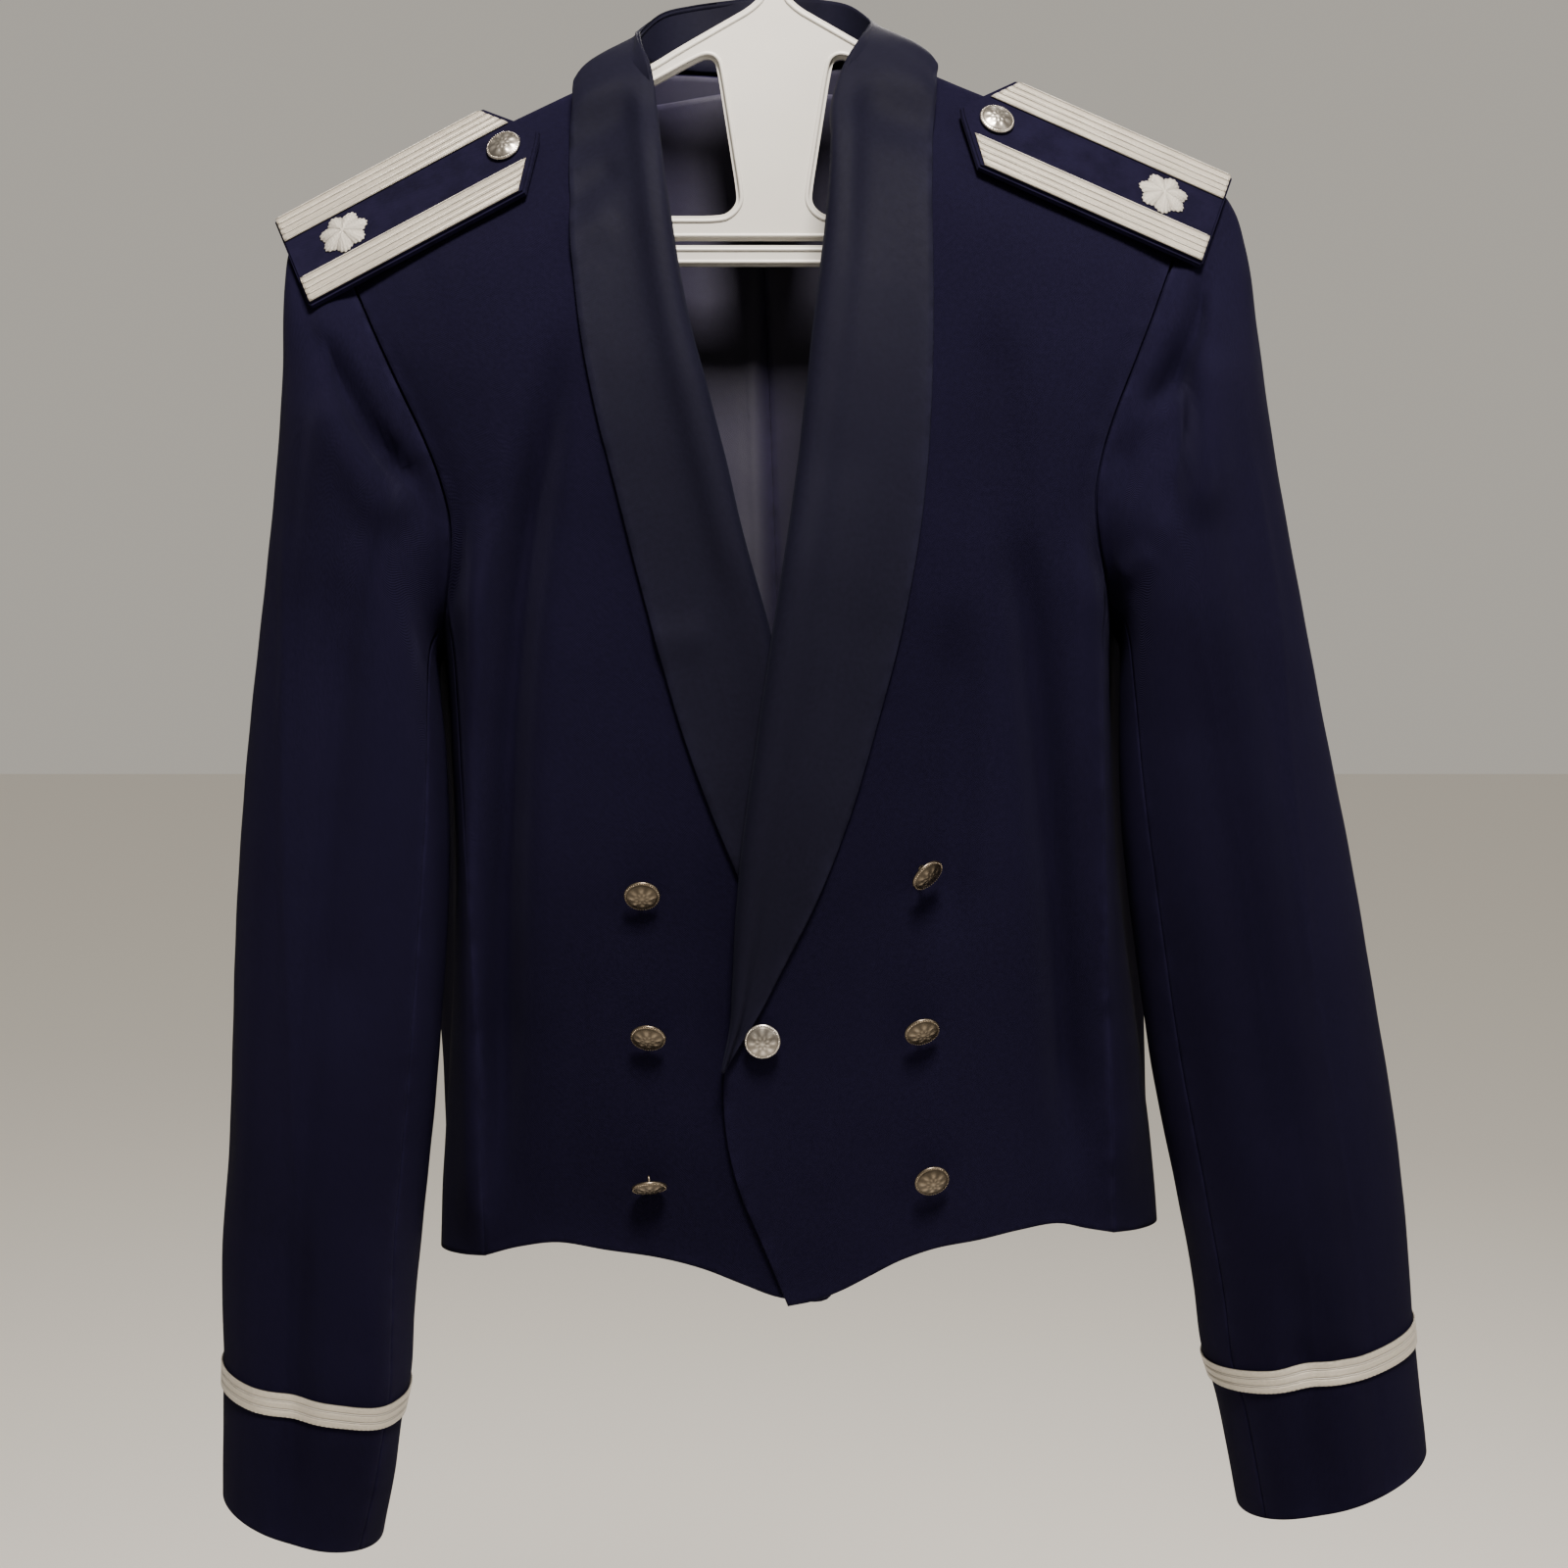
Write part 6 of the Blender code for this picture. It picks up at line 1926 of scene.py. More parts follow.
@dataclass
class ShawlCollar:
    """The satin shawl collar, in two halves that meet behind the neck."""

    shop: Workshop
    thick: float = COLLAR_CLOTH
    leaf_gap: float = LEAF_GAP
    lift: float = COLLAR_LIFT
    inner_leg: float = INNER_LEG
    step: float = 0.0035
    leaf_shares: tuple[float, ...] = (0.05, 0.16, 0.36, 0.58, 0.80, 1.0)
    point: tuple[float, float, float] = (-0.0352, -0.098, -0.6065)

    def _low(self) -> float:
        """How far the stand's inner leg lies below the front's face."""
        return -(CLOTH + LAYER_GAP + self.thick)

    def lines(self, side: Side) -> list[Grid]:
        """The stand, fold and edge at each station from centre back to the lapel's foot.

        Args:
            side: whose half
        Returns:
            the three lines of points
        """
        form = self.shop.form
        roll, lapel = (ROLL_OVER, LAPEL_OVER) if side.over else (ROLL_UNDER, LAPEL_UNDER)
        stations = STATIONS_OVER if side.over else STATIONS_UNDER
        swing = NECK["swing"] * (-0.007 if side.over else 0.004)
        clear = self.leaf_gap + self.thick
        stand = np.stack([NECK["stand_x"] + swing, NECK["stand_y"], NECK["stand_z"]], axis=-1)
        fold = np.stack([NECK["roll_x"] + swing, NECK["roll_y"], NECK["roll_z"]], axis=-1)
        edge = []
        for x, z, back, move in zip(NECK["edge_x"], NECK["edge_z"], NECK["edge_back"], swing):
            edge.append(form.surface(form.around_of(x + 0.5 * move, z, back=bool(back)), z, clear + NECK_CLEAR))
        roll_x = falling(roll, "x", stations["roll_z"])
        edge_x = falling(lapel, "x", stations["edge_z"])
        lift = form.overlap_lift(roll_x, stations["roll_z"]) if side.over else 0.0
        fold_out = lift + 0.003 * ease((stations["roll_z"] + 0.23) / 0.10)
        stand_low = form.on_front(roll_x + self.inner_leg, stations["roll_z"], lift + self._low())
        fold_low = form.on_front(roll_x, stations["roll_z"], fold_out)
        edge_lift = form.overlap_lift(edge_x, stations["edge_z"]) if side.over else 0.0
        edge_low = form.on_front(edge_x, stations["edge_z"], clear + edge_lift)
        return [np.concatenate(pair) for pair in ((stand, stand_low), (fold, fold_low), (np.array(edge), edge_low))]

    def leaf_point(self, side: Side, station: int, fold: Grid, edge: Grid, share: float) -> Grid:
        """A point of the leaf between its fold and its edge.

        Args:
            side: whose half
            station: the station's number
            fold: the fold's point there
            edge: the edge's point there
            share: how far towards the edge, 0 to 1
        Returns:
            the point
        """
        if station < len(NECK["roll_x"]):
            away = unit(np.array([edge[0], edge[1] * 1.5 + 0.002, 0.02]))
            return fold + (edge - fold) * share + away * (0.006 * 4 * share * (1 - share))
        x = fold[0] + (edge[0] - fold[0]) * share
        z = fold[2] + (edge[2] - fold[2]) * share
        pressed = 0.0 if side.over else 0.75 * ease((-0.33 - z) / 0.06)
        height = self.leaf_gap + self.thick + self.lift * (1 - pressed) * np.exp(-(((share - 0.16) / 0.16) ** 2))
        if side.over:
            height += float(self.shop.form.overlap_lift(x, z))
        return self.shop.form.on_front(x, z, height)

    def section(self, side: Side, station: int, stand: Grid, fold: Grid, edge: Grid) -> Grid:
        """One cross-section: up the stand, over the fold and down the leaf.

        Args:
            side: whose half
            station: the station's number
            stand: the foot of the stand there
            fold: the fold's point
            edge: the edge's point
        Returns:
            its points
        """
        leg = [stand + (fold - stand) * share for share in (0.0, 0.45, 0.85)]
        if station >= len(NECK["roll_x"]):
            x, z = fold[0], fold[2]
            for k, (out_x, share) in enumerate(((self.inner_leg, 1.0), (0.0052, 1.0), (0.0012, 0.66))):
                lift = float(self.shop.form.overlap_lift(x + out_x, z)) if side.over else 0.0
                leg[k] = self.shop.form.on_front(x + out_x, z, lift + self._low() * share)
        leaf = [self.leaf_point(side, station, fold, edge, share) for share in self.leaf_shares]
        return np.array(leg + [fold] + leaf)

    def point_of(self, foot: Grid) -> Grid:
        """The last row of the over-lapping leaf, where it runs out to a point.

        Args:
            foot: the row above it
        Returns:
            the row
        """
        fold = foot[3]
        row = self.point + (foot - fold) * 0.10
        row[:, 1] = foot[:, 1] + 0.0004
        return row

    def half(self, side: Side) -> bpy.types.Object:
        """One half of the collar.

        Args:
            side: whose half
        Returns:
            the piece
        """
        rows = zip(*self.lines(side))
        coarse = np.array([self.section(side, i, *row) for i, row in enumerate(rows)])
        if side.over:
            coarse = np.concatenate([coarse, self.point_of(coarse[-1])[None]])
        fine, stations = refine(coarse, 0, self.step)
        fine, _ = refine(fine, 1, self.step)
        normals = grid_normals(fine)
        if normals[stations[8], -4, 1] > 0:
            normals = -normals
        fine = creased(fine, normals, COLLAR_CREASES[side], side)
        fine[0, :, 0] = MIDDLE_SEAM
        normals[0, :, 0] = 0
        name = f"collar_{side.label}_satin"
        mesh = self.shop.wall(name, fine, unit(normals), side, self.thick, [self.shop.finishes.satin], upright=False)
        piece = add_piece(name, mesh, (f"collar_{side.label}",))
        declare_sheet(fine)
        return piece

    def build(self) -> None:
        """Builds both halves."""
        for side in Side:
            self.half(side)


@dataclass
class BoardPlace:
    """Where a shoulder board lies: its corner at the shoulder tip's back edge and its directions."""

    corner: Grid
    along: Grid
    across: Grid
    normal: Grid

    @classmethod
    def on(cls, form: BodyForm, side: Side) -> BoardPlace:
        """The place of one side's board.

        Args:
            form: the body's form
            side: whose board
        Returns:
            its place, for the +X side
        """
        slope = math.atan(form.slope)
        along = np.array([-math.cos(slope), 0, math.sin(slope)])
        level = np.array([-math.sin(slope), 0, -math.cos(slope)])
        across = level * math.cos(BOARD_TILT) + np.array([0, -1, 0]) * math.sin(BOARD_TILT)
        normal = np.cross(along, across)
        turned = along * math.cos(BOARD_TURN) - across * math.sin(BOARD_TURN)
        across = across * math.cos(BOARD_TURN) + along * math.sin(BOARD_TURN)
        tip_x = BOARD_TIP_X - side.value * BOARD_SLIDE
        ridge = np.array([tip_x, -0.0052, float(form.ridge_z(tip_x))])
        return cls(ridge + normal * BOARD_CLEAR - across * BOARD_OVER_RIDGE, turned, across, normal)

    def press(self, points: Grid) -> Grid:
        """Cloth that would stand through the board, pressed down to just below it.

        Args:
            points: the cloth's points
        Returns:
            the moved points
        """
        rel = points - self.corner
        inside = ease((rel @ self.along + 0.016) / 0.012) * (1 - ease((rel @ self.along - BOARD_LENGTH) / 0.01))
        inside = inside * ease((rel @ self.across + 0.02) / 0.012)
        inside = inside * (1 - ease((rel @ self.across - BOARD_WIDTH - 0.004) / 0.012))
        push = np.clip(rel @ self.normal + 0.0012, 0, None) * inside
        return points - push[..., None] * self.normal

    def at(self, places: Grid) -> Grid:
        """Points given along, across and above the board.

        Args:
            places: (along, across, above) in metres
        Returns:
            garment points of the +X side
        """
        level = self.corner + places[..., :1] * self.along + places[..., 1:2] * self.across
        return level + places[..., 2:3] * self.normal


@dataclass
class Sleeve:
    """One two-piece sleeve with the braid round its cuff."""

    shop: Workshop
    side: Side
    cloth: float = SLEEVE_CLOTH
    clear: float = BODY_CLEAR
    front_seam: float = SLEEVE_FRONT_SEAM
    back_seam: float = SLEEVE_BACK_SEAM
    crease_depth: float = CREASE_DEPTH
    crease_width: float = CREASE_WIDTH
    step: float = 0.0028
    braid_thick: float = BRAID_THICK
    seam_depth: float = 0.0009
    seam_width: float = 0.0055
    seam_cloth: float = 0.0005
    cuff_rows: tuple[float, ...] = (
        0, 0.02, 0.06, 0.14, 0.21, 0.26, 0.285, 0.32, 0.355, 0.38, 0.43, 0.5,
        0.57, 0.62, 0.645, 0.68, 0.715, 0.74, 0.79, 0.86, 0.94, 0.98, 1,
    )
    grooves: tuple[float, float] = (0.32, 0.68)

    @staticmethod
    def angles(ring: Grid) -> Grid:
        """Angles round the sleeve, 0 at the shoulder tip and half a turn at the armpit.

        Args:
            ring: the armhole's points
        Returns:
            an angle for each
        """
        closed = np.concatenate([ring, ring[:1]])
        length = np.concatenate([[0], np.cumsum(np.linalg.norm(np.diff(closed, axis=0), axis=1))])
        low = int(np.argmin(ring[:, 2]))
        down = length[: low + 1] / length[low] * math.pi
        up = math.pi + (length[low + 1 : -1] - length[low]) / (length[-1] - length[low]) * math.pi
        return np.concatenate([down, up])

    def oval(self, row: int, angles: Grid) -> Grid:
        """One ring of the sleeve as a soft oval.

        Args:
            row: the ring's row in the sleeve's table
            angles: the angles of its points
        Returns:
            its points
        """
        swing = self.side.value * SLEEVE["swing"][row]
        outer = np.array([SLEEVE["outer_x"][row] + swing, SLEEVE["middle_y"][row], SLEEVE["outer_z"][row]])
        inner = np.array([SLEEVE["inner_x"][row], SLEEVE["middle_y"][row], SLEEVE["inner_z"][row]])
        middle = 0.5 * (outer + inner)
        depth = np.array([0, -SLEEVE["half_depth"][row], 0])
        return middle + np.cos(angles)[:, None] * (outer - middle) + np.sin(angles)[:, None] * depth

    def normals(self, grid: Grid, row: int) -> Grid:
        """Normals of the sleeve's rings; at the armhole they lean no further in than its edge.

        Args:
            grid: the rings
            row: a row well down the sleeve, where the first point faces outward
        Returns:
            a unit normal for each point
        """
        normals = grid_normals(grid, closed=True)
        if normals[row, 0, 0] < 0:
            normals = -normals
        normals[0, :, 0] = np.minimum(normals[0, :, 0], -0.05)
        return unit(normals)

    def seam_allowance(self, fine: Grid, normals: Grid, columns: list[int]) -> bpy.types.Object:
        """The cloth turned in along the armhole seam, which closes it from inside.

        Args:
            fine: the sleeve's rings
            normals: their normals
            columns: the places of the armhole's points among the columns
        Returns:
            the piece
        """
        form = self.shop.form
        ring = form.armhole_ring()
        front = unit(form.front_points(Side.RIGHT, 0.002) - form.front_points(Side.RIGHT))[SEAM_ROWS:, -1][::-1]
        low, back = form.side_places()[-1], form.back_places()[SEAM_ROWS:, 0]
        out = np.concatenate([front, form.normal(low[:, 0], low[:, 1]), form.normal(back[:, 0], back[:, 1])[:-1]])
        into = np.cross(out, np.roll(ring, -1, axis=0) - np.roll(ring, 1, axis=0))
        into = unit(into) * np.where(np.sum(into * (fine[3, columns] - ring), axis=-1) > 0, -1.0, 1.0)[:, None]
        under = ring + into * self.seam_width - out * (CLOTH + self.seam_depth)
        below = ring - out * (CLOTH + self.seam_depth)
        count = fine.shape[1]
        marks = np.array(columns + [count])
        closing = [np.concatenate([line, line[:1]]) for line in (under, below)]
        lines = [between_marks(np.arange(count), marks, line) for line in closing]
        depth = self.cloth + self.seam_depth
        grid = np.array(lines + [fine[k] - normals[k] * depth for k in range(3)])
        out_all = grid_normals(grid, closed=True)
        if np.sum(out_all[-1] * normals[2]) < 0:
            out_all = -out_all
        name = f"armhole_seam_{self.side.label}_cloth"
        finishes = [self.shop.finishes.wool]
        mesh = self.shop.wall(name, grid, out_all, self.side, self.seam_cloth, finishes, closed=True, upright=False)
        return add_piece(name, mesh, (f"sleeve_top_{self.side.label}",))

    def long_crease(self, points: Grid) -> Grid:
        """How far the diagonal crease on the sleeve's front draws the cloth in.

        Args:
            points: the rings
        Returns:
            the depths in metres
        """
        nearest, _, _ = beside(np.stack([CREASE["x"], CREASE["z"]], axis=-1), points[..., [0, 2]])
        front = ease((-points[..., 1] - 0.03) / 0.03)
        return self.crease_depth * front * np.exp(-((nearest / self.crease_width) ** 2))

    def off_body(self, points: Grid) -> Grid:
        """Moves points outward where they would touch the side of the body.

        Args:
            points: the rings
        Returns:
            the moved rings
        """
        places = np.linspace(0.40, 0.82, 60)
        moved = points.copy()
        for index in np.ndindex(points.shape[:-1]):
            x, y, z = points[index]
            line = self.shop.form.surface(places, np.full(60, z))
            nearest = np.interp(y, line[:, 1], line[:, 0])
            low = z < smooth(ARMPIT, "around", "z", np.interp(y, line[:, 1], places)) + 0.014
            if low and line[0, 1] < y < line[-1, 1] and x < nearest + self.clear:
                moved[index][0] = nearest + self.clear
        return moved

    def surface(self) -> tuple[Grid, Grid, list[int], list[int]]:
        """The whole sleeve's face, filled in and creased.

        Returns:
            its rings, their normals, and the places of the table's rings and of the angles
        """
        armhole = self.shop.form.armhole_ring()
        angles = self.angles(armhole)
        toward = armhole - self.oval(0, angles)
        grid = np.array([self.oval(row, angles) + share * toward for row, share in enumerate(SLEEVE["armhole"])])
        grid[0] = armhole + np.array([SEAM_GAP * 2.5, 0, 0])
        drawn = grid - self.normals(grid, 6) * self.long_crease(grid)[..., None]
        grid[1:] = self.off_body(BoardPlace.on(self.shop.form, self.side).press(drawn[1:]))
        fine, rings = refine(grid, 0, self.step)
        fine, columns = refine(fine, 1, self.step, closed=True)
        normals = self.normals(fine, rings[6])
        calm = ease((lengths_along(fine, 0) - 0.002) / 0.012)[..., None]
        fine = fine + (creased(fine, normals, CREASES[self.side], self.side) - fine) * calm
        return fine, self.normals(fine, rings[6]), rings, columns

    def build(self) -> None:
        """Builds the top and under sleeve and the cuff's braid."""
        fine, normals, rings, columns = self.surface()
        count = fine.shape[1]
        turn = self.angles(self.shop.form.armhole_ring()) / math.pi
        front = columns[int(np.argmin(np.abs(turn - self.front_seam)))]
        back = columns[int(np.argmin(np.abs(turn - (2 - self.back_seam))))]
        sewn = (self.cuff_braid(fine, normals, rings), self.seam_allowance(fine, normals, columns))
        spans = {"top": [k % count for k in range(back, count + front + 1)], "under": list(range(front, back + 1))}
        for part, picked in spans.items():
            outer = inset(fine[:, picked], SEWN, rows=False)
            name = f"sleeve_{part}_{self.side.label}_cloth"
            finishes = [self.shop.finishes.wool, self.shop.finishes.lining]
            mesh = self.shop.wall(name, outer, normals[:, picked], self.side, self.cloth, finishes, upright=False)
            piece = add_piece(name, mesh, (f"sleeve_{part}_{self.side.label}",))
            declare_sheet(outer)

    def cuff_braid(self, fine: Grid, normals: Grid, rings: list[int]) -> bpy.types.Object:
        """The braid round the cuff: three broad bands with a bright cord in each groove.

        Args:
            fine: the sleeve's rings
            normals: their normals
            rings: the places of the table's rings
        Returns:
            the piece
        """
        low, high = rings[BRAID_RINGS[0]], rings[BRAID_RINGS[1]]
        places = np.array(self.cuff_rows)
        rows = np.arange(high, low + 1)
        share = (rows - high) / (low - high)
        ring = np.array([self._between(fine[rows], share, p) for p in places])
        out = unit(np.array([self._between(normals[rows], share, p) for p in places]))
        groove = np.minimum(*(np.abs(places - place) for place in self.grooves))
        band = ease((groove - 0.015) / 0.045) * ease((0.012 + np.minimum(places, 1 - places)) / 0.05)
        heights = self.braid_thick * (0.62 + 0.38 * band)
        outer = ring + out * (SEAM_GAP + heights)[:, None, None]
        # Low relief in the grooves and at the braid's edges takes the braid's painted groove shade.
        relief = np.repeat((0.12 + 0.88 * band)[:, None], outer.shape[1], axis=1)
        name = f"cuff_braid_{self.side.label}_silver"
        shop, thick = self.shop, 0.55 * self.braid_thick
        how = {"closed": True, "upright": False, "relief": relief}
        parts = [shop.wall(name, outer, out, self.side, thick, [shop.finishes.braid], **how)]
        for place in self.grooves:
            k = int(np.argmin(np.abs(places - place)))
            path = shop.hang(outer[k] + out[k] * 0.00016, self.side)
            parts.append(shop.paths.cord(path, shop.finishes.embroidery, radius=0.00030, sides=6))
        for k in (1, -2):
            path = shop.hang(outer[k] + out[k] * 0.00005, self.side)
            sizes = {"radius": 0.00016, "spacing": 0.0024, "length": 0.0015}
            parts.append(shop.paths.stitches(path, shop.finishes.embroidery, **sizes))
        mesh = merge_meshes(name, parts)
        return add_piece(name, mesh, (f"cuff_braid_{self.side.label}",))

    @staticmethod
    def _between(rows: Grid, shares: Grid, at: float) -> Grid:
        """A ring at a share of the way through some rings.

        Args:
            rows: the rings
            shares: each one's share, rising
            at: the share that is wanted
        Returns:
            the ring there
        """
        k = int(np.clip(np.searchsorted(shares, at) - 1, 0, len(shares) - 2))
        t = (at - shares[k]) / (shares[k + 1] - shares[k])
        return rows[k] * (1 - t) + rows[k + 1] * t


def lathe(profile: list[tuple[float, float]], sides: int, petals: Grid | None = None) -> tuple[Grid, list, Grid]:
    """A turned shape from its bottom middle to its top middle.

    Args:
        profile: (radius, height) pairs, the first and last on the axis
        sides: how many points each ring has
        petals: an extra height for each ring and point, if given
    Returns:
        its points, its faces and each point's ring number
    """
    turns = 2 * math.pi * np.arange(sides) / sides
    points, starts, number = [], [], []
    for k, (radius, height) in enumerate(profile):
        starts.append(len(points))
        if radius == 0:
            points.append((0.0, 0.0, height + (petals[k, 0] if petals is not None else 0.0)))
            number.append(k)
            continue
        for n, turn in enumerate(turns):
            extra = petals[k, n] if petals is not None else 0.0
            points.append((radius * math.cos(turn), radius * math.sin(turn), height + extra))
            number.append(k)
    faces = []
    for k in range(len(profile) - 1):
        a, b = starts[k], starts[k + 1]
        for n in range(sides):
            m = (n + 1) % sides
            if profile[k][0] == 0:
                faces.append([a, b + m, b + n])
            elif profile[k + 1][0] == 0:
                faces.append([a + n, a + m, b])
            else:
                faces.append([a + n, a + m, b + m, b + n])
    return np.array(points), faces, np.array(number)


@dataclass
class DomedButton:
    """A domed metal button with a plain rosette, a beaded rim and a wire loop behind it."""

    shop: Workshop
    radius: float = BUTTON_RADIUS
    petals: int = 8
    sides: int = 72
    beads: int = 44

    def parts(self, shank: float, metal: bpy.types.Material, place: Grid, turn: Grid) -> list[bpy.types.Mesh]:
        """The button's meshes, in place.

        Args:
            shank: how far its back stands from its foot
            metal: its finish
            place: where its foot is
            turn: its right, up and outward directions as rows
        Returns:
            the meshes
        """
        r = self.radius
        rings = [(0.0, shank), (0.5 * r, shank), (0.88 * r, shank + 0.0002), (0.97 * r, shank + 0.0006)]
        rings += [(r, shank + 0.0012), (0.985 * r, shank + 0.0017), (0.93 * r, shank + 0.0020)]
        rings += [(0.885 * r, shank + 0.0021), (0.86 * r, shank + 0.0022)]
        face = [0.82, 0.77, 0.71, 0.65, 0.59, 0.53, 0.47, 0.41, 0.35, 0.29, 0.24, 0.20, 0.16, 0.11, 0.06, 0.0]
        for share in face:
            rings.append((share * r, shank + 0.0024 + 0.0016 * (1 - (share / 0.84) ** 2)))
        turns = 2 * math.pi * np.arange(self.sides) / self.sides
        share = np.array([ring[0] / r for ring in rings])
        wave = 0.5 + 0.5 * np.cos(self.petals * turns)
        inner = 0.5 + 0.5 * np.cos(self.petals * turns + math.pi)
        outer_band = np.exp(-(((share - 0.58) / 0.17) ** 2))
        inner_band = np.exp(-(((share - 0.31) / 0.09) ** 2))
        boss = np.exp(-((share / 0.13) ** 2))
        on_face = (np.arange(len(rings)) >= 8)[:, None]
        raised = outer_band[:, None] * wave**1.5 + 0.7 * inner_band[:, None] * inner**1.5 + 0.8 * boss[:, None]
        petals = np.where(on_face, 0.00030 * raised, 0.0)
        points, faces, number = lathe(rings, self.sides, petals)
        flat = np.array([0 if rings[k][0] == 0 else 1 for k in range(len(rings))])
        column = np.concatenate([[0] if not flat[k] else np.arange(self.sides) for k in range(len(rings))])
        high = np.where(on_face, 0.30 + 0.70 * np.clip(raised * 1.3, 0, 1), 0.85)[number, column]
        high = np.where(number == 8, 0.20, high)
        uv_faces = [vertex for face_points in faces for vertex in face_points]
        world = place + points @ turn
        values = {"relief": high, "edge": 0 * high}
        mesh = make_mesh("button", world, faces, [metal], points[uv_faces][:, :2], None, values)
        circle = np.stack([0.925 * r * np.cos(turns), 0.925 * r * np.sin(turns), 0 * turns + shank + 0.0021], axis=-1)
        spacing = 2 * math.pi * 0.925 * r / self.beads
        beads = self.shop.paths.beads(place + circle @ turn, metal, radius=0.00036, spacing=spacing)
        found = [mesh, beads]
        if shank > 0:
            bend = np.linspace(-2.0, 2.0, 15)
            loop = np.array([(0.0021 * math.sin(a), 0.0, 0.0023 - 0.0018 * math.cos(a)) for a in bend])
            loop = np.concatenate([[[-0.0019, 0, shank + 0.0002]], loop, [[0.0019, 0, shank + 0.0002]]])
            loop = loop[:, [1, 0, 2]]
            found.append(self.shop.paths.cord(place + loop @ turn, metal, radius=0.00055, sides=8, closed=False))
        return found

    def piece(
        self, node: str, slot: str, shank: float, metal: bpy.types.Material, place: Grid, turn: Grid
    ) -> bpy.types.Object:
        """One whole button.

        Args:
            node: the node it stands for
            slot: the record's material slot; not used
            shank: how far its back stands from its foot
            metal: its finish
            place: where its foot is
            turn: its right, up and outward directions as rows
        Returns:
            the piece
        """
        name = f"{node}_metal"
        return add_piece(name, merge_meshes(name, self.parts(shank, metal, place, turn)), (node,))


@dataclass
class FrontButtons:
    """Three buttons down each front, and the button that links the fronts."""

    shop: Workshop
    shank: float = FRONT_SHANK
    link_shank: float = LINK_SHANK

    def place(self, x: float, z: float, out: float, droop: float, toward: float, side: Side) -> tuple[Grid, Grid]:
        """Where a button's foot is and which way it faces.

        Args:
            x: the foot's distance from the middle
            z: its height
            out: how far it stands from the cloth
            droop: how far it hangs forward, in degrees
            toward: to which side it turns, in degrees
            side: whose front
        Returns:
            the foot's place, and its right, up and outward directions as rows
        """
        foot = side.mirror(self.shop.form.on_front(x, z, out))
        lean, turn = math.radians(droop), math.radians(toward)
        axis = np.array([math.sin(lean) * math.sin(turn), -math.cos(lean), -math.sin(lean) * math.cos(turn)])
        right = unit(np.cross(axis, [0, 0, 1.0]))
        ends = self.shop.hanging.place(np.array([foot, foot + right, foot + np.cross(right, axis), foot + axis]))
        return ends[0], ends[1:] - ends[0]

    def build(self) -> None:
        """Builds the seven buttons."""
        button = DomedButton(self.shop)
        for sign, row, x, z, droop, toward, stand in zip(*BUTTONS.values()):
            side = Side(int(sign))
            lift = float(self.shop.form.overlap_lift(x, z)) if side.over else 0.0
            place, turn = self.place(x, z, stand + lift, droop, toward, side)
            node = f"front_button_{side.label}_{int(row)}"
            button.piece(node, "pewter_metal", self.shank, self.shop.finishes.pewter, place, turn)
        out = float(self.shop.form.overlap_lift(LINK_X, LINK_Z)) + SEAM_GAP + 0.0003
        place, turn = self.place(LINK_X, LINK_Z, out, 6, 0, Side.LEFT)
        button.piece("link_button", "silver_metal", self.link_shank, self.shop.finishes.silver, place, turn)


def slab(outline: list, through: tuple, round_by: float, clamp_overlap: bool) -> bmesh.types.BMesh:
    """A flat solid with rounded rims, in triangles.

    Args:
        outline: the points of its one face, in order
        through: the way from that face to the other
        round_by: how far its rims are rounded
        clamp_overlap: whether the rounding gives way in narrow places
    Returns:
        the solid
    """
    work = bmesh.new()
    face = work.faces.new([work.verts.new(point) for point in outline])
    raised = bmesh.ops.extrude_face_region(work, geom=[face])
    top = [v for v in raised["geom"] if isinstance(v, bmesh.types.BMVert)]
    bmesh.ops.translate(work, verts=top, vec=through)
    way = Vector(through).normalized()
    rims = [e for e in work.edges if abs((e.verts[0].co - e.verts[1].co).dot(way)) < 1e-6]
    bmesh.ops.bevel(work, geom=rims, offset=round_by, segments=4, affect="EDGES", clamp_overlap=clamp_overlap)
    bmesh.ops.triangulate(work, faces=work.faces)
    return work


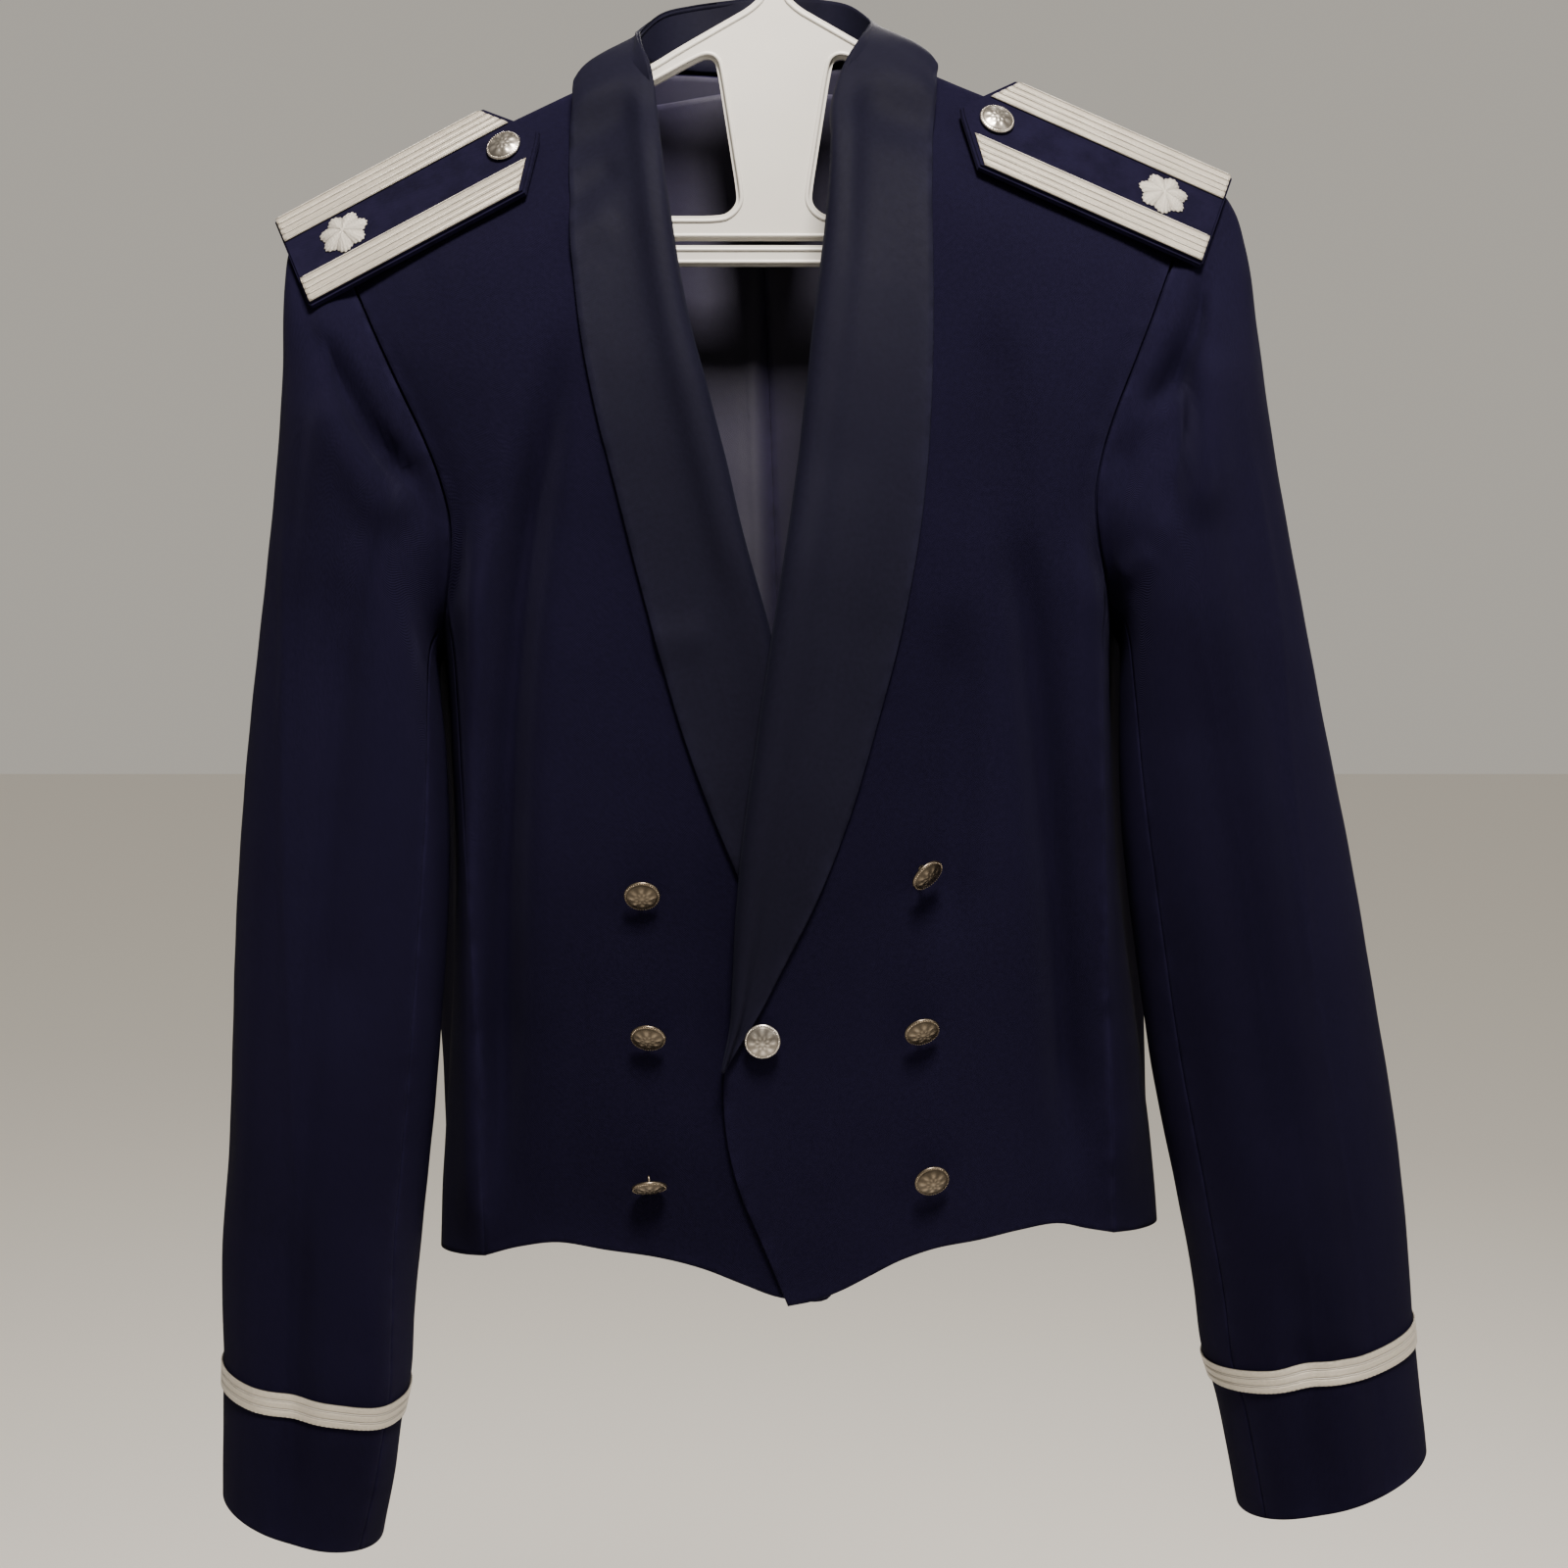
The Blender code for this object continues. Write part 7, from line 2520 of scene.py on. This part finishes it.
@dataclass
class ShoulderBoard:
    """A stiff cloth board with two strips of braid, a leaf badge and a button."""

    shop: Workshop
    side: Side
    width: float = BOARD_WIDTH
    long_side: float = BOARD_SIDE
    length: float = BOARD_LENGTH
    thick: float = BOARD_THICK
    braid_width: float = BOARD_BRAID_WIDTH
    braid_thick: float = BRAID_THICK
    leaf: float = LEAF_SIZE
    lobes: int = LEAF_LOBES
    place: BoardPlace = field(init=False)

    def __post_init__(self) -> None:
        """Finds where the board lies."""
        self.place = BoardPlace.on(self.shop.form, self.side)

    def board(self) -> bpy.types.Object:
        """The cloth-covered board itself.

        Returns:
            the piece
        """
        half = self.width / 2
        outline = [(0.0015, 0), (self.long_side, 0), (self.length - 0.003, half - 0.006), (self.length, half)]
        outline += [(self.length - 0.003, half + 0.006), (self.long_side, self.width), (0.0015, self.width)]
        outline += [(0, self.width - 0.0015), (0, 0.0015)]
        work = slab([(x, y, 0.0) for x, y in outline], (0, 0, self.thick), 0.0011, clamp_overlap=False)
        bmesh.ops.recalc_face_normals(work, faces=work.faces)
        mesh = bpy.data.meshes.new("board")
        work.to_mesh(mesh)
        work.free()
        local = np.zeros(len(mesh.vertices) * 3)
        mesh.vertices.foreach_get("co", local)
        local = local.reshape(-1, 3)
        faces = [list(face.vertices) for face in mesh.polygons]
        bpy.data.meshes.remove(mesh)
        corners = local[[v for face in faces for v in face]][:, :2]
        name = f"shoulder_board_{self.side.label}_cloth"
        rim = np.minimum(np.minimum(local[:, 1], self.width - local[:, 1]), local[:, 0])
        values = {"edge": np.exp(-np.clip(rim, 0, None) / 0.002)}
        points = self.shop.hang(self.place.at(local), self.side)
        made = make_mesh(name, points, faces, [self.shop.finishes.wool], corners, None, values)
        made.set_sharp_from_angle(angle=math.radians(50))
        return add_piece(name, made, (f"shoulder_board_{self.side.label}",))

    def neck_end(self, across: Grid, short: float) -> Grid:
        """How far along the board its pointed end lies.

        Args:
            across: distances across the board
            short: how much shorter than the board
        Returns:
            the distances along it
        """
        half = self.width / 2
        return self.long_side + (self.length - self.long_side) * (1 - np.abs(across - half) / half) - short

    def strip(self, place: str, low: float) -> bpy.types.Object:
        """One strip of braid along the board: four bands with thin bright cords between.

        Args:
            place: back or front
            low: its back edge's distance across the board
        Returns:
            the piece
        """
        cords = np.array([0.03, 0.265, 0.50, 0.735, 0.97])
        near = [cords[:-1] + 0.022, cords[1:] - 0.022, cords[1:-1] - 0.04, cords[1:-1] + 0.04]
        share = np.unique(np.concatenate([np.linspace(0, 1, 15), cords, *near]))
        across = low + share * self.braid_width
        ends = self.neck_end(across, 0.003)
        run = np.linspace(0, 1, 70)
        along = 0.0012 + run[:, None] * (ends - 0.0012)[None]
        groove = np.min(np.abs(share[:, None] - cords[None]), axis=1)
        band = ease((groove - 0.012) / 0.05)
        ripple = 0.00004 * np.sin(along * 900) * band[None]
        above = self.thick + SEAM_GAP + self.braid_thick * (0.60 + 0.40 * band)[None] + ripple
        local = np.stack([along, np.broadcast_to(across, along.shape), above], axis=-1)
        normals = np.broadcast_to(self.place.normal, local.shape)
        name = f"board_braid_{place}_{self.side.label}_silver"
        # Low relief along the cords' grooves takes the braid's painted groove shade.
        relief = np.broadcast_to(0.15 + 0.85 * band, along.shape)
        shop, world, how = self.shop, self.place.at(local), {"upright": False, "relief": relief}
        thick = 0.55 * self.braid_thick
        parts = [shop.wall(name, world, normals, self.side, thick, [shop.finishes.braid], **how)]
        for cord in cords:
            k = int(np.argmin(np.abs(share - cord)))
            path = shop.hang(self.place.at(local[:, k] + np.array([0, 0, 0.0002]))[1:-1], self.side)
            parts.append(shop.paths.cord(path, shop.finishes.embroidery, radius=0.00032, sides=6, closed=False))
        node = f"board_braid_{place}_{self.side.label}"
        return add_piece(name, merge_meshes(name, parts), (node,))

    def leaf_badge(self, middle: tuple[float, float]) -> bpy.types.Object:
        """A leaf worked in silver thread: round lobes, each a fan of threads.

        Args:
            middle: its middle, along and across the board
        Returns:
            the piece
        """
        turns = 2 * math.pi * np.arange(252) / 252
        shares = np.array([0, 0.10, 0.2, 0.3, 0.4, 0.5, 0.6, 0.7, 0.78, 0.86, 0.92, 0.965, 1.0])
        lobe = 0.5 + 0.5 * np.cos(self.lobes * turns)
        jag = 0.5 + 0.5 * np.cos(self.lobes * 5 * turns)
        reach = self.leaf * (0.76 + 0.19 * lobe**0.7 + 0.05 * jag)
        thread = 0.5 + 0.5 * np.cos(84 * turns)
        crown = 0.0020 * (1 - shares[:, None] ** 2.6) * (0.74 + 0.26 * lobe[None] ** 0.7)
        valley = 0.00035 * (1 - lobe[None] ** 0.35) * shares[:, None]
        height = 0.0006 * (1 - shares[:, None] ** 12) + crown - valley
        height = height + 0.00012 * thread[None] * (shares[:, None] > 0.15)
        height[-1] = 0.0001
        rings = [np.array([[0.0, 0.0, 0.0]])]
        radius = shares[:, None] * reach[None]
        for k in range(len(shares) - 1, 0, -1):
            rings.append(np.stack([radius[k] * np.cos(turns), radius[k] * np.sin(turns), height[k]], axis=-1))
        rings.append(np.array([[0.0, 0.0, height[0, 0]]]))
        points = np.concatenate(rings)
        faces: list = []
        count = len(turns)
        for n in range(count):
            m = (n + 1) % count
            faces.append([0, 1 + m, 1 + n])
            faces.append([1 + (len(shares) - 2) * count + n, 1 + (len(shares) - 2) * count + m, len(points) - 1])
        for k in range(len(shares) - 2):
            a = 1 + k * count
            faces += [[a + n, a + (n + 1) % count, a + count + (n + 1) % count, a + count + n] for n in range(count)]
        # Painted shade in the valleys between the lobes and between the threads: low values take the embroidery's
        # groove colour.
        unshaded_share = np.concatenate([[0.3], *[(0.45 + 0.55 * lobe**0.3 * (0.6 + 0.4 * thread)) for _ in shares[1:]], [1.0]])
        local = points + np.array([middle[0], middle[1], self.thick + SEAM_GAP])
        corners = points[[v for face in faces for v in face]][:, :2]
        name = f"leaf_badge_{self.side.label}_thread"
        world = self.shop.hang(self.place.at(local), self.side)
        values = {"relief": unshaded_share, "edge": 0 * unshaded_share}
        mesh = make_mesh(name, world, faces, [self.shop.finishes.embroidery], corners, None, values)
        return add_piece(name, mesh, (f"leaf_badge_{self.side.label}",))

    def build(self) -> None:
        """Builds the board and what is sewn on it."""
        self.board()
        self.strip("back", 0.0012)
        self.strip("front", self.width - 0.0012 - self.braid_width)
        self.leaf_badge((0.0305, self.width / 2))
        foot = np.array([self.long_side + 0.001, self.width / 2, self.thick + SEAM_GAP])
        ends = np.array([foot, foot + [1, 0, 0], foot + [0, 1, 0], foot + [0, 0, 1]])
        ends = self.shop.hang(self.place.at(ends), self.side)
        node = f"shoulder_button_{self.side.label}"
        DomedButton(self.shop).piece(node, "silver_metal", 0.0, self.shop.finishes.silver, ends[0], ends[1:] - ends[0])


@dataclass
class Hanger:
    """The moulded hanger: arms, neck plate and rails, each with a raised bead, and its wire hook."""

    shop: Workshop
    thick: float = HANGER_THICK
    round_by: float = HANGER_BEVEL
    wire: float = WIRE_RADIUS
    crook: float = HOOK_RADIUS
    stem: float = STEM_BOTTOM
    bead: float = 0.0011
    bead_in: float = 0.0026

    def frame_outline(self) -> list[tuple[float, float]]:
        """The outline of arms, plate and upper rail, as (x, z) pairs.

        Returns:
            the pairs in order
        """
        half = [(0.0060, self.stem - SEAM_GAP), (0.0080, -0.0765)]
        half += [(0.050, -0.0998), (0.062, -0.1072), (0.120, -0.1350), (0.170, -0.1590), (0.183, -0.1658)]
        half += [(0.190, -0.1722), (0.188, -0.1775), (0.180, -0.1762), (0.165, -0.1695)]
        half += [(0.120, -0.1468), (0.062, -0.1185), (0.0395, -0.1065)]
        half += [(0.0340, -0.1045), (0.0305, -0.1060), (0.0290, -0.1100)]
        half += [(0.0192, -0.1720), (0.0195, -0.1765), (0.0225, -0.1805), (0.0275, -0.1830)]
        half += [(0.158, -0.1830), (0.163, -0.1850), (0.165, -0.1895), (0.163, -0.1940), (0.158, -0.1955)]
        return half + [(-x, z) for x, z in reversed(half)]

    @staticmethod
    def bar_outline() -> list[tuple[float, float]]:
        """The outline of the lower rail, as (x, z) pairs.

        Returns:
            the pairs in order
        """
        rail = [(0.146, -0.1978), (0.148, -0.1958), (0.158, -0.1958), (0.163, -0.1985)]
        rail += [(0.165, -0.2020), (0.163, -0.2065), (0.157, -0.2084)]
        return [(-x, z) for x, z in reversed(rail)] + rail

    @staticmethod
    def rounded(outline: list[tuple[float, float]], rounds: int = 2, most: float = 0.006) -> Grid:
        """An outline with its corners cut round.

        Args:
            outline: (x, z) pairs of a closed outline
            rounds: how often its corners are cut
            most: the longest cut, in metres
        Returns:
            the new pairs
        """
        points = np.array(outline)
        for _ in range(rounds):
            found = []
            for a, b in zip(points, np.roll(points, -1, axis=0)):
                run = np.linalg.norm(b - a)
                cut = min(0.25, most / run)
                found += [a + (b - a) * cut, b - (b - a) * cut]
            points = np.array(found)
            most *= 0.4
        return points

    @staticmethod
    def drawn_in(outline: Grid, by: float) -> Grid:
        """An outline drawn in by a distance.

        Args:
            outline: (x, z) pairs of a closed outline
            by: how far, in metres
        Returns:
            the new pairs
        """
        ahead = unit(np.roll(outline, -1, axis=0) - outline)
        behind = unit(outline - np.roll(outline, 1, axis=0))
        tangent = unit(ahead + behind)
        inward = np.stack([tangent[:, 1], -tangent[:, 0]], axis=-1)
        area = np.sum(outline[:, 0] * np.roll(outline[:, 1], -1) - np.roll(outline[:, 0], -1) * outline[:, 1])
        stretch = np.clip(1 / np.maximum(np.sum(tangent * ahead, axis=-1), 0.5), 1, 1.4)
        return outline + inward * by * stretch[:, None] * (-1 if area > 0 else 1)

    def plate(self, name: str, outline: Grid, round_by: float) -> bpy.types.Mesh:
        """A flat moulding with rounded long edges.

        Args:
            name: the mesh's name
            outline: its (x, z) pairs
            round_by: how far its edges are rounded
        Returns:
            the mesh
        """
        points = [(x, -self.thick / 2, z) for x, z in outline]
        work = slab(points, (0, self.thick, 0), round_by, clamp_overlap=True)
        mesh = bpy.data.meshes.new(name)
        work.to_mesh(mesh)
        work.free()
        turn_outward(mesh)
        mesh.materials.append(self.shop.finishes.plastic)
        mesh.shade_smooth()
        mesh.set_sharp_from_angle(angle=math.radians(38))
        return mesh

    def moulding(self, node: str, outline: Grid, round_by: float, bead_in: float) -> bpy.types.Object:
        """A moulding with a bead round both faces.

        Args:
            node: the node it stands for
            outline: its (x, z) pairs
            round_by: how far its edges are rounded
            bead_in: how far in the bead lies
        Returns:
            the piece
        """
        name = f"{node}_moulding"
        parts = [self.plate(name, outline, round_by)]
        inner = self.drawn_in(outline, bead_in)
        for face in (-1, 1):
            level = np.full(len(inner), face * (self.thick / 2 - 0.0002))
            path = np.stack([inner[:, 0], level, inner[:, 1]], axis=-1)
            parts.append(self.shop.paths.cord(path, self.shop.finishes.plastic, radius=self.bead, sides=10))
        return add_piece(name, merge_meshes(name, parts), (node,))

    def hook(self) -> bpy.types.Object:
        """The wire hook: a straight stem, a bend and a round crook over the rail.

        Returns:
            the piece
        """
        middle_z = self.wire - self.crook
        points = [(0.0, self.stem), (0.0, self.stem + 0.010), (0.002, self.stem + 0.0165), (0.0065, self.stem + 0.0220)]
        for degrees in range(-54, 199, 14):
            angle = math.radians(degrees)
            points.append((self.crook * math.cos(angle), middle_z + self.crook * math.sin(angle)))
        path = np.array([[x, 0.0, z] for x, z in points])
        fine, _ = refine(path[:, None], 0, 0.002)
        steel = self.shop.finishes.steel
        mesh = self.shop.paths.cord(fine[:, 0], steel, radius=self.wire, sides=20, closed=False)
        return add_piece("hanger_hook_wire", mesh, ("hanger_hook",))

    def build(self) -> None:
        """Builds the three pieces."""
        self.moulding("hanger_frame", self.rounded(self.frame_outline()), self.round_by, self.bead_in)
        self.moulding("trouser_bar", self.rounded(self.bar_outline(), 1, 0.002), 0.0012, 0.0022)
        self.hook()


@dataclass(frozen=True)
class Studio:
    """A pale floor, soft light and the camera of the portrait."""

    camera_at: tuple[float, float, float] = (0.005, -1.30, -0.295)
    camera_tilt: float = 82.0
    lens: float = 56.8
    floor_z: float = -1.7
    floor_reach: float = 9.0
    floor_colour: Colour = (0.84, 0.81, 0.76)

    def camera(self) -> None:
        """Sets up the camera."""
        data = bpy.data.cameras.new("portrait")
        data.lens = self.lens
        data.sensor_width = 36.0
        data.clip_start = 0.01
        camera = bpy.data.objects.new("portrait", data)
        bpy.context.scene.collection.objects.link(camera)
        camera.location = self.camera_at
        camera.rotation_euler = (math.radians(self.camera_tilt), 0.0, 0.0)
        bpy.context.scene.camera = camera

    def light(self, name: str, at: Colour, aim: Colour, power: float, size: float, colour: Colour) -> None:
        """Adds one soft light.

        Args:
            name: its name
            at: where it stands
            aim: what it points at
            power: its power in watts
            size: its width in metres
            colour: its colour
        """
        data = bpy.data.lights.new(name, "AREA")
        data.energy = power
        data.size = size
        data.color = colour
        lamp = bpy.data.objects.new(name, data)
        bpy.context.scene.collection.objects.link(lamp)
        lamp.location = at
        lamp.rotation_euler = (Vector(aim) - Vector(at)).to_track_quat("-Z", "Y").to_euler()

    def build(self) -> None:
        """Sets the floor, the surroundings, the lights and the camera."""
        mesh = bpy.data.meshes.new("floor")
        signs = ((-1, -1), (1, -1), (1, 1), (-1, 1))
        corners = [(x * self.floor_reach, y * self.floor_reach, self.floor_z) for x, y in signs]
        mesh.from_pydata(corners, [], [(0, 1, 2, 3)])
        made, graph, shader, _ = Finish("pale_floor", self.floor_colour).start()
        graph.feed(shader, {"Base Color": (*self.floor_colour, 1.0), "Roughness": 0.9})
        mesh.materials.append(made)
        floor = bpy.data.objects.new("floor", mesh)
        bpy.context.scene.collection.objects.link(floor)
        world = bpy.data.worlds.new("studio")
        bpy.context.scene.world = world
        world.use_nodes = True
        world.node_tree.nodes["Background"].inputs[0].default_value = (0.92, 0.86, 0.76, 1.0)
        world.node_tree.nodes["Background"].inputs[1].default_value = 0.50
        self.light("key", (0.14, -1.05, 1.15), (0, 0, -0.45), 105.0, 0.45, (1.0, 0.94, 0.86))
        self.light("fill", (1.7, -1.0, 0.1), (0, 0, -0.5), 12.0, 1.0, (1.0, 0.96, 0.92))
        self.light("rim", (0.5, 1.7, 0.9), (0, 0, -0.4), 38.0, 1.0, (1.0, 0.95, 0.9))
        self.camera()


def main() -> None:
    """Builds the jacket on its hanger, and the studio round it."""
    logging.basicConfig(level=logging.INFO, format="%(message)s")
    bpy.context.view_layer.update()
    shop = Workshop(BodyForm(), Hanging(), Finishes(), PathWork())
    Hanger(shop).build()
    BodyPanels(shop).build()
    ShawlCollar(shop).build()
    for side in Side:
        Sleeve(shop, side).build()
        ShoulderBoard(shop, side).build()
    FrontButtons(shop).build()
    Studio().build()


if __name__ == "__main__":
    main()
